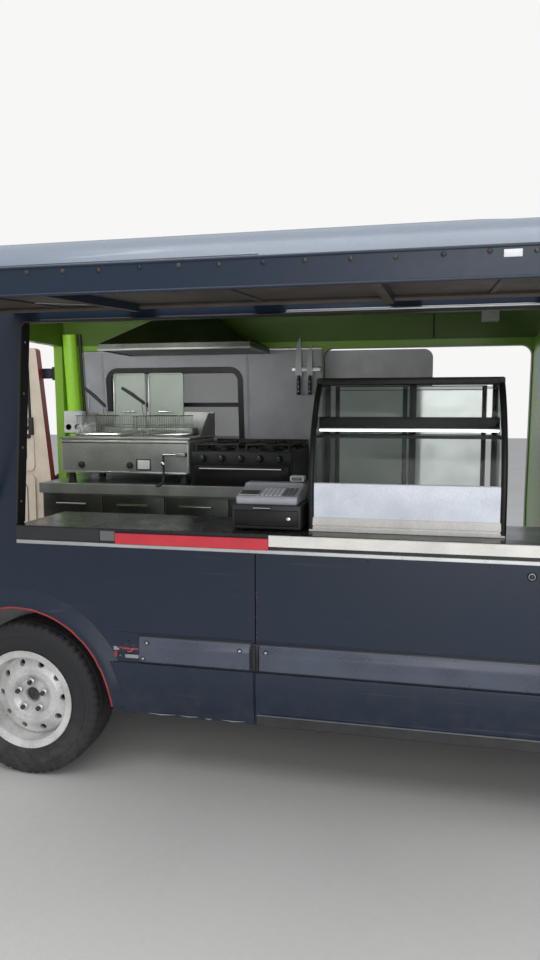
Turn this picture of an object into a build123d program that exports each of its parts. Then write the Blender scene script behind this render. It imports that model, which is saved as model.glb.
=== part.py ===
from build123d import *
import math
import os

# Food truck: a front-wheel-drive panel van with a raised roof. Its right side is cut open
# as a serving hatch with a top-hinged flap, and a small kitchen stands inside.
# Millimetres. +X forward, +Y to the van's left, +Z up. The outlines below are drawn in the
# van's own lengths: x from the rear axle, y from the centre plane, z from the ground.

os.makedirs("parts", exist_ok=True)

# Main sizes of the van
wheelbase = 3578.0
front_overhang = 826.0
rear_overhang = 825.0
half_width = 995.0
sill_half_width = 955.0
sill_z = 335.0
hip_z = 470.0
belt_z = 1060.0
shoulder_half_width = 868.0
shoulder_z = 2300.0
crown_z = 2440.0
shoulder_radius = 190.0
rear_lean = 45.0
roof_split_z = 2040.0
wall = 60.0
panel_gap = 8.0
latch_gap = 13.0
seam = 4.0
leaf_gap = 10.0

# Windscreen, bonnet and nose outline
screen_top_x = 2980.0
screen_top_z = 1990.0
cowl_x = 3600.0
cowl_z = 1285.0
screen_sag = 110.0
roof_front_x = 2350.0
bonnet_lip_x = 4200.0
bonnet_lip_z = 1035.0
bonnet_sag = 70.0
brow_x = 4352.0
brow_z = 880.0
nose_x = wheelbase + front_overhang
bumper_top_z = 640.0
bumper_bend_z = 430.0
chin_x = 4340.0
chin_z = 250.0
hip_x = 3450.0
corner_x = 4150.0
corner_half = 940.0
nose_corner_x = 4330.0
nose_corner_half = 640.0
nose_rounding = 17.0
guard = 40.0

# Wheels
tyre_radius = 343.0
tyre_width = 215.0
rim_radius = 220.0
rim_bed_radius = 200.0
rim_width = 190.0
track = 1740.0
hub_radius = 70.0
bolt_circle = 130.0
bolt_count = 5
bolt_hole = 9.0
vent_count = 10
vent_radius = 14.0
vent_circle = 300.0
arch_radius = 428.0
arch_lip = 28.0
arch_lip_out = 8.0
steer_inset = 70.0
steer_pin_radius = 14.0

# Doors and openings
cargo_front_x = 2300.0
slide_rear_x = 1045.0
slide_shift = 570.0
slide_stand = 45.0
cab_door_rear_x = 2350.0
cab_door_front_x = 3385.0
cab_door_top_z = 1985.0
cab_door_foot_z = 388.0
pillar_width = 110.0
window_border = 80.0
glass = 8.0
rear_door_half = 868.0
rear_door_top_half = 790.0
rear_door_foot_z = 485.0
rear_door_top_z = 2030.0
rear_window_low_z = 1480.0
rear_window_high_z = 1930.0
rear_window_margin = 110.0
side_window_rear_x = -440.0
side_window_front_x = 520.0
side_window_low_z = 1340.0
side_window_high_z = 1890.0
window_frame = 38.0
bonnet_half = 772.0
bonnet_rear_x = 3652.0
bonnet_thickness = 28.0
bonnet_gap = 6.0
mirror_reach = 1180.0
mirror_height = 340.0
mirror_depth = 110.0
mirror_x = 3215.0
mirror_z = 1455.0

cab_floor_z = 600.0

# Serving hatch, flap and gas struts
hatch_rear_x = 0.0
hatch_front_x = 2200.0
hatch_top_z = 1985.0
hatch_sill_z = 1062.0
flap_rear_x = -70.0
flap_front_x = 2230.0
flap_length = 950.0
flap_thickness = 34.0
flap_droop = 4.0
flap_lip_depth = 40.0
flap_lip_thickness = 6.0
flap_rib = 30.0
flap_rib_depth = 28.0
flap_hinge_out = 66.0
flap_hinge_z = 2026.0
hinge_radius = 9.0
hinge_leaf_length = 120.0
flap_pin_reach = 300.0
strut_foot_out = 30.0
strut_foot_z = 1250.0
strut_offset = 36.0
strut_tube_radius = 11.0
strut_rod_radius = 5.0
strut_bore_radius = 5.5
strut_eye_radius = 14.0
strut_eye_width = 12.0
strut_pin_radius = 6.0
strut_pin_clearance = 0.3
strut_tube_length = 435.0
strut_rod_length = 415.0

# Kitchen
floor_z = 560.0
floor_thickness = 40.0
counter_top_z = 1125.0
counter_thickness = 36.0
counter_depth = 420.0
strip_out = 12.0
strip_break_x = 1103.0
strip_rear_x = 460.0
strip_front_x = 2200.0
strip_height = 44.0
case_rear_x = 1240.0
case_front_x = 2000.0
case_face_y = -885.0
case_depth = 430.0
case_top_z = 1740.0
case_base = 110.0
case_frame = 22.0
unit_front_y = 250.0
unit_rear_x = -600.0
unit_front_x = 990.0
worktop_z = 1170.0
worktop_thickness = 62.0
fryer_rear_x = -470.0
fryer_front_x = 350.0
fryer_top_z = 1450.0
fryer_foot = 62.0
fryer_depth = 510.0
fryer_guard = 150.0
fryer_lid_height = 400.0
fryer_lid_width = 230.0
hob_front_x = 960.0
hob_depth = 545.0
hob_height = 205.0
burner_radius = 70.0
hood_rear_x = -240.0
hood_front_x = 700.0
hood_low_z = 1966.0
hood_depth = 500.0
lining_rear_x = -590.0
lining_front_x = 1040.0
lining_high_z = 2000.0
lining_thickness = 12.0
till_rear_x = 930.0
till_front_x = 1215.0
till_drawer_height = 105.0
till_depth = 330.0

# Underside
rail_y = 450.0
rail_width = 70.0
rail_low_z = 400.0
lashing_eye_radius = 14.0
lashing_eye_x = -600.0
lashing_lug = 56.0
lashing_lug_thickness = 20.0
jack_pad_radius = 35.0
jack_pad_height = 12.0
jack_pad_rear_x = 700.0
jack_pad_front_x = 2480.0
tank_low_z = 300.0
spare_inset = 420.0
spare_radius = 320.0
rail_inset = 120.0
rear_cross_inset = 160.0
spring_rear_x = -700.0
spring_front_x = 620.0

# The origin is the foot of the middle of the whole parked truck: its length runs from the
# opened rear door's edge to the nose, its width from the flap's edge to the left mirror.
rear_hinge_x = -rear_overhang - 8.0
rear_hinge_y = rear_door_half + 8.0
rear_reach = rear_hinge_y - leaf_gap / 2
tumble = (half_width - shoulder_half_width) / (shoulder_z - belt_z)


def side_y(z):
    """Half width of the body's skin at a height above the belt."""
    return half_width - max(z - belt_z, 0.0) * tumble


flap_hinge_y = -(side_y(flap_hinge_z) + flap_hinge_out)
flap_tip_y = flap_hinge_y - flap_length * math.cos(math.radians(flap_droop))
rear_axle_x = (rear_reach - rear_hinge_x - nose_x) / 2
mid_y = -(mirror_reach + flap_tip_y) / 2

van = Plane(origin=(rear_axle_x, mid_y, 0))
side_of_van = Plane(origin=van.origin, x_dir=(1, 0, 0), z_dir=(0, -1, 0))
end_of_van = Plane(origin=van.origin, x_dir=(0, 1, 0), z_dir=(1, 0, 0))
beyond = 1300.0
deep = 6000.0


def place(x, y, z):
    """A point of the van, given from the rear axle's foot, in the part's frame."""
    return Vector(rear_axle_x + x, mid_y + y, z)


def span(side, near, far):
    """Low and high y of a stretch on one side: side is 1 for left and -1 for right."""
    return tuple(sorted((side * near, side * far)))


def inset_outline(points, amount):
    """Move every side of an anticlockwise outline inwards by amount."""
    moved = []
    for index, point in enumerate(points):
        before = Vector(*points[index - 1])
        here = Vector(*point)
        after = Vector(*points[(index + 1) % len(points)])
        arriving = (here - before).normalized()
        leaving = (after - here).normalized()
        inward_in = Vector(-arriving.Y, arriving.X)
        inward_out = Vector(-leaving.Y, leaving.X)
        shift = (inward_in + inward_out) * (amount / (1 + inward_in.dot(inward_out)))
        moved.append(here + shift)
    return moved


def prism(plane, points, start, end, radii=0.0, inset=0.0):
    """Solid of a closed outline with rounded corners, from start to end along the normal."""
    if isinstance(radii, (int, float)):
        radii = [radii] * len(points)
    with BuildPart() as solid:
        with BuildSketch(plane.offset(start)):
            with BuildLine():
                FilletPolyline(
                    *inset_outline(points, inset),
                    radius=[max(radius - inset, 0.0) for radius in radii],
                    close=True,
                )
            make_face()
        extrude(amount=end - start)
    return solid.part


def crowned(plane, half, sag, inset, shoulder=0.0):
    """Endless block under a shallow arch that is sag lower at its sides."""
    top = -inset
    side = half - inset
    with BuildPart() as solid:
        with BuildSketch(plane.offset(-deep)) as section:
            with BuildLine():
                Polyline((-side, top - sag), (-side, -deep), (side, -deep), (side, top - sag))
                ThreePointArc((side, top - sag), (0, top), (-side, top - sag))
            make_face()
            if shoulder > inset:
                fillet(section.vertices().group_by(Axis.Y)[-1], shoulder - inset)
        extrude(amount=2 * deep)
    return solid.part


def block(x, y, z, radius=0.0):
    """Box between low and high values along each axis, from the rear axle's foot."""
    with BuildPart(van) as solid:
        with Locations((sum(x) / 2, sum(y) / 2, sum(z) / 2)):
            Box(x[1] - x[0], y[1] - y[0], z[1] - z[0])
        if radius:
            fillet(solid.edges(), radius)
    return solid.part


def rod(start, end, radius, bore=0.0):
    """Round bar or tube between two points of the van."""
    first = place(*start)
    line = place(*end) - first
    with BuildPart() as solid:
        with BuildSketch(Plane(origin=first, z_dir=line)):
            Circle(radius)
            if bore:
                Circle(bore, mode=Mode.SUBTRACT)
        extrude(amount=line.length)
    return solid.part


def mirrored(part):
    """The same piece on the van's other side."""
    with BuildPart() as other:
        add(part)
        mirror(about=Plane.XZ.offset(-mid_y), mode=Mode.REPLACE)
    return other.part


# Body form: the side, end and plan outlines cut one solid, and a smaller one hollows it
def cabin_outline(base):
    """Side outline of cab and cargo body; the windscreen and the roof's arch cut it later."""
    fall_x = screen_top_x - roof_front_x
    fall_z = crown_z + guard - screen_top_z
    return [
        (-rear_overhang, base),
        (screen_top_x + 2 * fall_x, base),
        (screen_top_x + fall_x, screen_top_z - fall_z),
        (roof_front_x, crown_z + guard),
        (-rear_overhang + rear_lean, crown_z + guard),
        (-rear_overhang, belt_z),
    ]


def nose_outline(base):
    """Side outline of the bonnet, brow and bumper."""
    brow_run = brow_x - bonnet_lip_x
    brow_rise = bonnet_lip_z - brow_z
    return [
        (screen_top_x, base),
        (chin_x, base),
        (nose_x + guard, bumper_bend_z),
        (nose_x + guard, bumper_top_z),
        (brow_x, brow_z),
        (bonnet_lip_x - brow_run / 3, bonnet_lip_z + brow_rise / 3),
        (cowl_x, cowl_z + guard),
        (screen_top_x, cowl_z + guard),
    ]


def section_solid(base, inset):
    """Endless body of the end view: tucked sill, upright belt, leaning side, arched roof."""
    half_outline = [
        (sill_half_width, base),
        (half_width, hip_z),
        (half_width, belt_z),
        (shoulder_half_width, shoulder_z),
    ]
    other_half = [(-y, z) for y, z in reversed(half_outline)]
    moved = inset_outline(half_outline + [(0, crown_z)] + other_half, inset)
    right_side = moved[:4]
    crown = Vector(0, crown_z - inset)
    left_side = moved[5:]
    with BuildPart() as solid:
        with BuildSketch(end_of_van.offset(-deep)) as section:
            with BuildLine():
                Polyline(*left_side, *right_side)
                ThreePointArc(right_side[-1], crown, left_side[0])
            make_face()
            fillet(section.vertices().group_by(Axis.Y)[-1], shoulder_radius - inset)
        extrude(amount=2 * deep)
    return solid.part


def plan_outline():
    """Plan of the body: square tail with rounded corners and a nose rounded in steps."""
    edge = half_width + 5.0
    right_side = [
        (-rear_overhang - 20.0, -edge),
        (hip_x, -edge),
        (corner_x, -corner_half),
        (nose_corner_x, -nose_corner_half),
    ]
    left_side = [(x, -y) for x, y in reversed(right_side)]
    return right_side + [(nose_x + nose_rounding, 0)] + left_side


screen_plane = Plane(
    origin=place(cowl_x, 0, cowl_z),
    x_dir=(0, 1, 0),
    z_dir=(cowl_x - screen_top_x, 0, cowl_z - screen_top_z),
)
bonnet_plane = Plane(
    origin=place(cowl_x, 0, cowl_z),
    x_dir=(0, 1, 0),
    z_dir=(bonnet_lip_x - cowl_x, 0, bonnet_lip_z - cowl_z),
)


def body_form(inset, base=chin_z):
    """The van's outer solid, or a smaller one whose skin lies inset deeper."""
    cabin_radii = [0, 0, 0, 700, 130, 1500]
    nose_radii = [0, 30, 60, 60, 120, 0, 0, 0]
    plan_radii = [110, 600, 150, 200, 2500, 200, 150, 600, 110]
    with BuildPart() as cabin:
        add(prism(side_of_van, cabin_outline(base), -beyond, beyond, cabin_radii, inset))
        add(crowned(screen_plane, half_width + 200.0, screen_sag, inset), mode=Mode.INTERSECT)
    with BuildPart() as form:
        add(prism(side_of_van, nose_outline(base), -beyond, beyond, nose_radii, inset))
        bonnet_arch = crowned(bonnet_plane, half_width + guard, bonnet_sag, inset, 170.0)
        add(bonnet_arch, mode=Mode.INTERSECT)
        add(cabin.part)
        add(section_solid(base - guard, inset), mode=Mode.INTERSECT)
        add(prism(van, plan_outline(), -beyond, deep, plan_radii, inset), mode=Mode.INTERSECT)
    return form.part


outer_form = body_form(0.0)
inner_form = body_form(wall, base=0.0)

with BuildPart() as shell:
    add(outer_form)
    add(inner_form, mode=Mode.SUBTRACT)


def skin(outer, depth):
    """Sheet of the body's form between two depths under its surface."""
    with BuildPart() as sheet:
        add(outer_form if outer == 0 else body_form(outer))
        add(body_form(outer + depth, base=0.0), mode=Mode.SUBTRACT)
    return sheet.part


# Outlines of doors and windows
def cab_door_outline(x_gap=0.0):
    """Side outline of a cab door, with its front edge along the windscreen pillar."""
    run = cowl_x - screen_top_x
    drop = screen_top_z - cowl_z
    length = math.hypot(run, drop)
    edge_x = screen_top_x - pillar_width * drop / length
    edge_z = screen_top_z - pillar_width * run / length
    top_front_x = edge_x - (cab_door_top_z - edge_z) * run / drop
    corner_z = edge_z - (cab_door_front_x - edge_x) * drop / run
    return [
        (cab_door_rear_x + x_gap, cab_door_foot_z),
        (cab_door_front_x, cab_door_foot_z),
        (cab_door_front_x, corner_z),
        (top_front_x, cab_door_top_z),
        (cab_door_rear_x + x_gap, cab_door_top_z),
    ]


def cab_window_outline():
    """Glazed upper part of a cab door's outline."""
    outline = cab_door_outline(latch_gap)
    window_sill_z = belt_z + 70.0
    return [(outline[0][0], window_sill_z), (outline[1][0], window_sill_z)] + outline[2:]


def rear_door_outline():
    """End outline of the left rear door, its outer edge along the leaning side."""
    return [
        (leaf_gap / 2, rear_door_foot_z),
        (rear_door_half, rear_door_foot_z),
        (rear_door_half, belt_z),
        (rear_door_top_half, rear_door_top_z),
        (leaf_gap / 2, rear_door_top_z),
    ]


def rear_window_outline():
    """Upper pane of the left rear door."""
    return [
        (rear_window_margin, rear_window_low_z),
        (rear_door_half - rear_window_margin - 45.0, rear_window_low_z),
        (rear_door_top_half - rear_window_margin, rear_window_high_z),
        (rear_window_margin, rear_window_high_z),
    ]


def side_rectangle(rear_x, front_x, low_z, high_z):
    """Rectangle on the van's side, anticlockwise."""
    return [(rear_x, low_z), (front_x, low_z), (front_x, high_z), (rear_x, high_z)]


def on_side(side, points, near, far, radii=0.0, inset=0.0):
    """Prism of a side outline between two distances from the centre plane."""
    start, end = (-side * near, -side * far)
    return prism(side_of_van, points, start, end, radii, inset)


def arch_cut(axle_x, side, inner_y, radius=arch_radius):
    """Round wheel arch through one side, from inner_y outwards."""
    start = (axle_x, side * inner_y, tyre_radius)
    end = (axle_x, side * beyond, tyre_radius)
    return rod(start, end, radius)


def cab_door_space(side, gap):
    """Room of one cab door on its side, rounded off around the front wheel arch."""
    near = side_y(cab_door_top_z) - wall - 70.0 - gap
    with BuildPart() as space:
        outline = cab_door_outline(0.0 if gap else latch_gap)
        add(on_side(side, outline, near, beyond, 30.0, -gap))
        add(arch_cut(wheelbase, side, 600.0, arch_radius + 60.0 - gap), mode=Mode.SUBTRACT)
    return space.part


flare_form = body_form(-arch_lip_out)


def arch_flare(axle_x, side, rear_x=-deep, front_x=deep, top_z=belt_z):
    """Flared lip along the upper edge of a wheel arch, between two lengths along the van."""
    start = (axle_x, side * (half_width - wall), tyre_radius)
    end = (axle_x, side * beyond, tyre_radius)
    with BuildPart() as lip:
        add(rod(start, end, arch_radius + arch_lip, arch_radius))
        keep = block((rear_x, front_x), (-beyond, beyond), (hip_z + 10.0, top_z))
        add(keep, mode=Mode.INTERSECT)
        add(flare_form, mode=Mode.INTERSECT)
    return lip.part


# Roof, sides and cab
with BuildPart() as roof:
    add(shell.part)
    roof_zone = block((-deep, deep), (-beyond, beyond), (roof_split_z, crown_z + wall))
    add(roof_zone, mode=Mode.INTERSECT)
roof.part.label = "roof"


def lamp_pocket(side):
    """Space of one tail lamp on its rear pillar."""
    outline = [
        (rear_door_half + 25.0, 760.0),
        (half_width + 20.0, 760.0),
        (half_width + 20.0, 1360.0),
        (rear_door_half + 5.0, 1360.0),
    ]
    lamp = prism(end_of_van, outline, -rear_overhang - 20.0, -rear_overhang + 38.0, 10.0)
    return lamp if side > 0 else mirrored(lamp)


def slide_door_outline():
    """Old sliding door's outline on the side."""
    return side_rectangle(slide_rear_x, cargo_front_x - 6.0, sill_z + 50.0, roof_split_z - 45.0)


def side_wall(side):
    """One cargo side under the roof, with its wheel arch, sliding doorway and rear pillar."""
    with BuildPart() as side_part:
        add(shell.part)
        inner = rear_door_top_half - 30.0
        zone_x = (-rear_overhang - 50.0, cargo_front_x)
        zone = block(zone_x, span(side, inner, beyond), (sill_z, roof_split_z))
        add(zone, mode=Mode.INTERSECT)
        doorway = prism(end_of_van, rear_door_outline(), -deep, 0.0, 0.0, -panel_gap)
        add(doorway if side > 0 else mirrored(doorway), mode=Mode.SUBTRACT)
        add(lamp_pocket(side), mode=Mode.SUBTRACT)
        add(arch_flare(0.0, side))
        add(arch_cut(0.0, side, inner), mode=Mode.SUBTRACT)
    return side_part.part


def strut_bracket(plane_x, toward):
    """Ear and pin that carry one strut's lower eye, standing out of the right side."""
    foot_y = -(side_y(strut_foot_z) + strut_foot_out)
    ear_x = (plane_x + toward * strut_eye_width, plane_x + toward * (strut_eye_width + 8.0))
    ear_y = (foot_y - strut_eye_radius, foot_y + strut_foot_out + 6.0)
    ear_z = (strut_foot_z - strut_eye_radius, strut_foot_z + strut_eye_radius)
    with BuildPart() as ear:
        add(block(tuple(sorted(ear_x)), ear_y, ear_z))
        pin_end = plane_x - toward * strut_eye_width
        add(rod((ear_x[0], foot_y, strut_foot_z), (pin_end, foot_y, strut_foot_z), strut_pin_radius))
    return ear.part


strut_planes = {"rear": flap_rear_x - strut_offset, "front": flap_front_x + strut_offset}
hinge_leaf_count = 5
hinge_leaf_pitch = (flap_front_x - flap_rear_x - hinge_leaf_length - 60.0) / (hinge_leaf_count - 1)

with BuildPart() as side_right:
    add(side_wall(-1))
    hatch = side_rectangle(hatch_rear_x, hatch_front_x, hatch_sill_z, hatch_top_z)
    hatch_radii = [0, 0, 12, 12]
    add(on_side(-1, hatch, sill_half_width - 200.0, beyond, hatch_radii), mode=Mode.SUBTRACT)
    lower_door = side_rectangle(slide_rear_x, cargo_front_x - 6.0, sill_z + 50.0, hatch_sill_z)
    add(on_side(-1, lower_door, sill_half_width - 200.0, beyond), mode=Mode.SUBTRACT)
    for leaf in range(hinge_leaf_count):
        leaf_x = flap_rear_x + 30.0 + leaf * hinge_leaf_pitch
        leaf_y = (flap_hinge_y + hinge_radius + 3.0, flap_hinge_y + flap_hinge_out + 12.0)
        leaf_z = (flap_hinge_z - 4.0, flap_hinge_z + 4.0)
        add(block((leaf_x, leaf_x + hinge_leaf_length), leaf_y, leaf_z))
    add(strut_bracket(strut_planes["rear"], -1))
    add(strut_bracket(strut_planes["front"], 1))
side_right.part.label = "side_right"

with BuildPart() as old_door_right:
    add(skin(0.0, wall - 8.0))
    add(on_side(-1, lower_door, sill_half_width - 200.0, beyond, 14.0, seam), mode=Mode.INTERSECT)
old_door_right.part.label = "old_door_right"

side_window = side_rectangle(
    side_window_rear_x, side_window_front_x, side_window_low_z, side_window_high_z
)
slide_rail_z = 1030.0

with BuildPart() as side_left:
    add(side_wall(1))
    add(on_side(1, slide_door_outline(), 700.0, beyond, 60.0), mode=Mode.SUBTRACT)
    add(on_side(1, side_window, 700.0, beyond, 90.0), mode=Mode.SUBTRACT)
    rail_x = (slide_rear_x - slide_shift - 60.0, slide_rear_x - 40.0)
    rail_y_span = (half_width - 10.0, half_width + 14.0)
    add(block(rail_x, rail_y_span, (slide_rail_z - 18.0, slide_rail_z + 18.0)))
side_left.part.label = "side_left"

with BuildPart() as closed_slide_door:
    add(shell.part)
    add(on_side(1, slide_door_outline(), 700.0, beyond, 60.0, seam), mode=Mode.INTERSECT)

with BuildPart() as sliding_door_left:
    add(closed_slide_door.part.moved(Location((-slide_shift, slide_stand + wall, 0))))
    arm_x = (slide_rear_x - slide_shift + 40.0, slide_rear_x - slide_shift + 130.0)
    arm_y = (half_width + 14.0, half_width + slide_stand + 20.0)
    add(block(arm_x, arm_y, (slide_rail_z - 25.0, slide_rail_z + 25.0)))
    front_arm_x = (cargo_front_x - slide_shift - 90.0, cargo_front_x - slide_shift - 20.0)
    sill_arm_y = (half_width - wall, half_width + slide_stand + 20.0)
    add(block(front_arm_x, sill_arm_y, (sill_z + 62.0, sill_z + 92.0)))
sliding_door_left.part.label = "sliding_door_left"

with BuildPart() as load_floor:
    floor_half = sill_half_width - 15.0
    floor_low = floor_z - floor_thickness
    add(block((-rear_overhang + wall, cargo_front_x), (-floor_half, floor_half), (floor_low, floor_z)))
    add(inner_form, mode=Mode.INTERSECT)
    box_inner = track / 2 - tyre_width / 2 - 50.0
    box_top = tyre_radius + arch_radius + 25.0
    for side in (1, -1):
        box_x = (-arch_radius - 25.0, arch_radius + 25.0)
        wheel_box = block(box_x, span(side, box_inner, half_width - wall), (floor_low, box_top))
        add(wheel_box)
    for side in (1, -1):
        add(arch_cut(0.0, side, box_inner + 20.0, arch_radius), mode=Mode.SUBTRACT)
    step_half = rear_door_top_half - 32.0
    add(block((-rear_overhang + 5.0, -rear_overhang + wall), (-step_half, step_half),
              (sill_z + 20.0, rear_door_foot_z - panel_gap)))
    add(block((-rear_overhang + wall, -rear_overhang + wall + 30.0), (-step_half, step_half),
              (sill_z + 20.0, floor_low)))
load_floor.part.label = "load_floor"

# Cab frame: pillars, windscreen surround, bulkhead, floor, firewall and wheelhouses
wheelhouse_inner = 530.0
wheelhouse_skin = 20.0
wing_rear_x = cab_door_front_x + panel_gap
firewall_x = 3540.0
screen_low_half = 830.0
screen_high_half = 752.0
screen_low_z = cowl_z + 40.0
screen_high_z = screen_top_z - 45.0
screen_outline = [
    (-screen_low_half, screen_low_z),
    (screen_low_half, screen_low_z),
    (screen_high_half, screen_high_z),
    (-screen_high_half, screen_high_z),
]

def bulkhead():
    """Wall between the cab and the kitchen."""
    wall_x = (cargo_front_x, cargo_front_x + 30.0)
    with BuildPart() as panel:
        add(inner_form)
        zone = block(wall_x, (-beyond, beyond), (cab_floor_z - 50.0, roof_split_z))
        add(zone, mode=Mode.INTERSECT)
    return panel.part


def wheelhouse(side):
    """Housing over a front wheel, inside the cab."""
    start = (wheelbase, side * wheelhouse_inner, tyre_radius)
    end = (wheelbase, side * (half_width - wall - 25.0), tyre_radius)
    with BuildPart() as house:
        add(rod(start, end, arch_radius + wheelhouse_skin))
        zone = block((0, wing_rear_x - 10.0), (-beyond, beyond), (sill_z + 100.0, deep))
        add(zone, mode=Mode.INTERSECT)
    return house.part


with BuildPart() as cab_frame:
    add(shell.part)
    frame_zone = block((cargo_front_x, cowl_x + 45.0), (-beyond, beyond), (sill_z, roof_split_z))
    add(frame_zone, mode=Mode.INTERSECT)
    wing_zone = block((wing_rear_x, deep), (-beyond, beyond), (0.0, belt_z + 180.0))
    add(wing_zone, mode=Mode.SUBTRACT)
    add(prism(end_of_van, screen_outline, cab_door_rear_x + 100.0, deep, 60.0), mode=Mode.SUBTRACT)
    floor_x = (cargo_front_x, firewall_x + 60.0)
    add(block(floor_x, (-half_width + wall + 25.0, half_width - wall - 25.0),
              (cab_floor_z - 50.0, cab_floor_z)))
    add(block((firewall_x, firewall_x + 60.0), (-bonnet_half, bonnet_half), (cab_floor_z - 50.0, cowl_z - 40.0)))
    add(bulkhead())
    for side in (1, -1):
        add(wheelhouse(side))
    for side in (1, -1):
        add(cab_door_space(side, panel_gap), mode=Mode.SUBTRACT)
        add(arch_flare(wheelbase, side, front_x=wing_rear_x))
        add(arch_cut(wheelbase, side, wheelhouse_inner + wheelhouse_skin), mode=Mode.SUBTRACT)
cab_frame.part.label = "cab_frame"

with BuildPart() as windscreen:
    add(skin(6.0, glass))
    screen_prism = prism(end_of_van, screen_outline, cab_door_rear_x + 100.0, deep, 60.0)
    add(screen_prism, mode=Mode.INTERSECT)
windscreen.part.label = "windscreen"

# Wings, bonnet, nose and bumpers
nose_rear_x = 4060.0
lamp_low_z = 690.0
lamp_inner = 430.0

with BuildPart() as front_wings:
    add(shell.part)
    wing_zone = block((wing_rear_x, nose_rear_x), (-beyond, beyond), (sill_z, belt_z + 180.0))
    add(wing_zone, mode=Mode.INTERSECT)
    middle = block((-deep, deep), (-bonnet_half - bonnet_gap, bonnet_half + bonnet_gap), (0.0, deep))
    add(middle, mode=Mode.SUBTRACT)
    for side in (1, -1):
        add(arch_flare(wheelbase, side, rear_x=wing_rear_x))
    for side in (1, -1):
        add(arch_cut(wheelbase, side, wheelhouse_inner), mode=Mode.SUBTRACT)
    add(block((wheelbase, deep), (-beyond, beyond), (0.0, bumper_top_z)), mode=Mode.SUBTRACT)
front_wings.part.label = "front_wings"

with BuildPart() as bonnet:
    add(skin(0.0, bonnet_thickness))
    bonnet_x = (bonnet_rear_x, bonnet_lip_x + 10.0)
    bonnet_zone = block(bonnet_x, (-bonnet_half, bonnet_half), (brow_z, cowl_z + 60.0))
    add(bonnet_zone, mode=Mode.INTERSECT)
bonnet.part.label = "bonnet"

with BuildPart() as grille:
    add(shell.part)
    grille_x = (nose_rear_x, deep)
    grille_zone = block(grille_x, (-beyond, beyond), (bumper_top_z, brow_z + 140.0))
    add(grille_zone, mode=Mode.INTERSECT)
    bonnet_space = block((bonnet_rear_x, bonnet_lip_x + 10.0 + panel_gap),
                         (-bonnet_half - bonnet_gap, bonnet_half + bonnet_gap), (brow_z - 20.0, deep))
    add(bonnet_space, mode=Mode.SUBTRACT)
    for side in (1, -1):
        lamp_y = span(side, lamp_inner, beyond)
        add(block((nose_rear_x + 60.0, deep), lamp_y, (lamp_low_z, brow_z + 60.0)), mode=Mode.SUBTRACT)
    slot_height = 34.0
    slot_count = 3
    slot_pitch = (brow_z - lamp_low_z) / slot_count
    for slot in range(slot_count):
        slot_z = lamp_low_z + slot * slot_pitch
        slot_zone = block((nose_rear_x, deep), (-lamp_inner + 40.0, lamp_inner - 40.0),
                          (slot_z, slot_z + slot_height))
        add(slot_zone, mode=Mode.SUBTRACT)
grille.part.label = "grille"


def tail_lamp(side):
    """Solid of one tail lamp, flush with the body."""
    with BuildPart() as lamp:
        add(outer_form)
        add(lamp_pocket(side), mode=Mode.INTERSECT)
    return lamp.part


with BuildPart() as lamps:
    add(shell.part)
    headlamp_zone = block((nose_rear_x + 62.0, deep), (-beyond, beyond), (lamp_low_z + 2.0, brow_z + 58.0))
    add(headlamp_zone, mode=Mode.INTERSECT)
    middle = block((-deep, deep), (-lamp_inner - 2.0, lamp_inner + 2.0), (0.0, deep))
    add(middle, mode=Mode.SUBTRACT)
    bonnet_space = block((bonnet_rear_x, bonnet_lip_x + 10.0 + panel_gap),
                         (-bonnet_half - bonnet_gap, bonnet_half + bonnet_gap), (brow_z - 20.0, deep))
    add(bonnet_space, mode=Mode.SUBTRACT)
    for side in (1, -1):
        add(tail_lamp(side))
lamps.part.label = "lamps"

with BuildPart() as front_bumper:
    add(shell.part)
    bumper_x = (wheelbase + arch_radius / 2, deep)
    add(block(bumper_x, (-beyond, beyond), (chin_z, bumper_top_z)), mode=Mode.INTERSECT)
    for side in (1, -1):
        add(arch_flare(wheelbase, side, rear_x=bumper_x[0], top_z=bumper_top_z))
    for side in (1, -1):
        add(arch_cut(wheelbase, side, wheelhouse_inner), mode=Mode.SUBTRACT)
    intake = block((nose_corner_x - 150.0, deep), (-380.0, 380.0), (bumper_bend_z - 70.0, bumper_bend_z + 40.0))
    add(intake, mode=Mode.SUBTRACT)
front_bumper.part.label = "front_bumper"

with BuildPart() as rear_bumper:
    bumper_span = (-half_width + 25.0, half_width - 25.0)
    add(block((-rear_overhang - 50.0, -rear_overhang), bumper_span, (sill_z + 10.0, rear_door_foot_z - 12.0), 12.0))
rear_bumper.part.label = "rear_bumper"


# Doors
def cab_door(side):
    """Whole cab door: hollow window, arch corner and skin as thick as the door."""
    with BuildPart() as door:
        add(shell.part)
        add(cab_door_space(side, 0.0), mode=Mode.INTERSECT)
        window = on_side(side, cab_window_outline(), 700.0, beyond, 60.0, window_border)
        add(window, mode=Mode.SUBTRACT)
    return door.part


def cab_glass(side):
    """Pane of one cab door's window."""
    with BuildPart() as pane:
        add(skin(22.0, glass))
        window = on_side(side, cab_window_outline(), 700.0, beyond, 60.0, window_border)
        add(window, mode=Mode.INTERSECT)
    return pane.part


def door_mirror(side):
    """Mirror head on two arms at the door's front corner."""
    head_inner = half_width + 30.0
    head_z = (mirror_z - mirror_height / 2, mirror_z + mirror_height / 2)
    head_x = (mirror_x - mirror_depth / 2, mirror_x + mirror_depth / 2)
    with BuildPart() as mirror_part:
        add(block(head_x, span(side, head_inner, mirror_reach), head_z, 28.0))
        for arm_z in (mirror_z - 90.0, mirror_z + 30.0):
            foot = side_y(arm_z) - 4.0
            arm_x = (mirror_x - 12.0, mirror_x + 12.0)
            add(block(arm_x, span(side, foot, head_inner + 60.0), (arm_z - 12.0, arm_z + 12.0)))
        add(cab_door(side), mode=Mode.SUBTRACT)
        add(cab_glass(side), mode=Mode.SUBTRACT)
    return mirror_part.part


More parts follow.
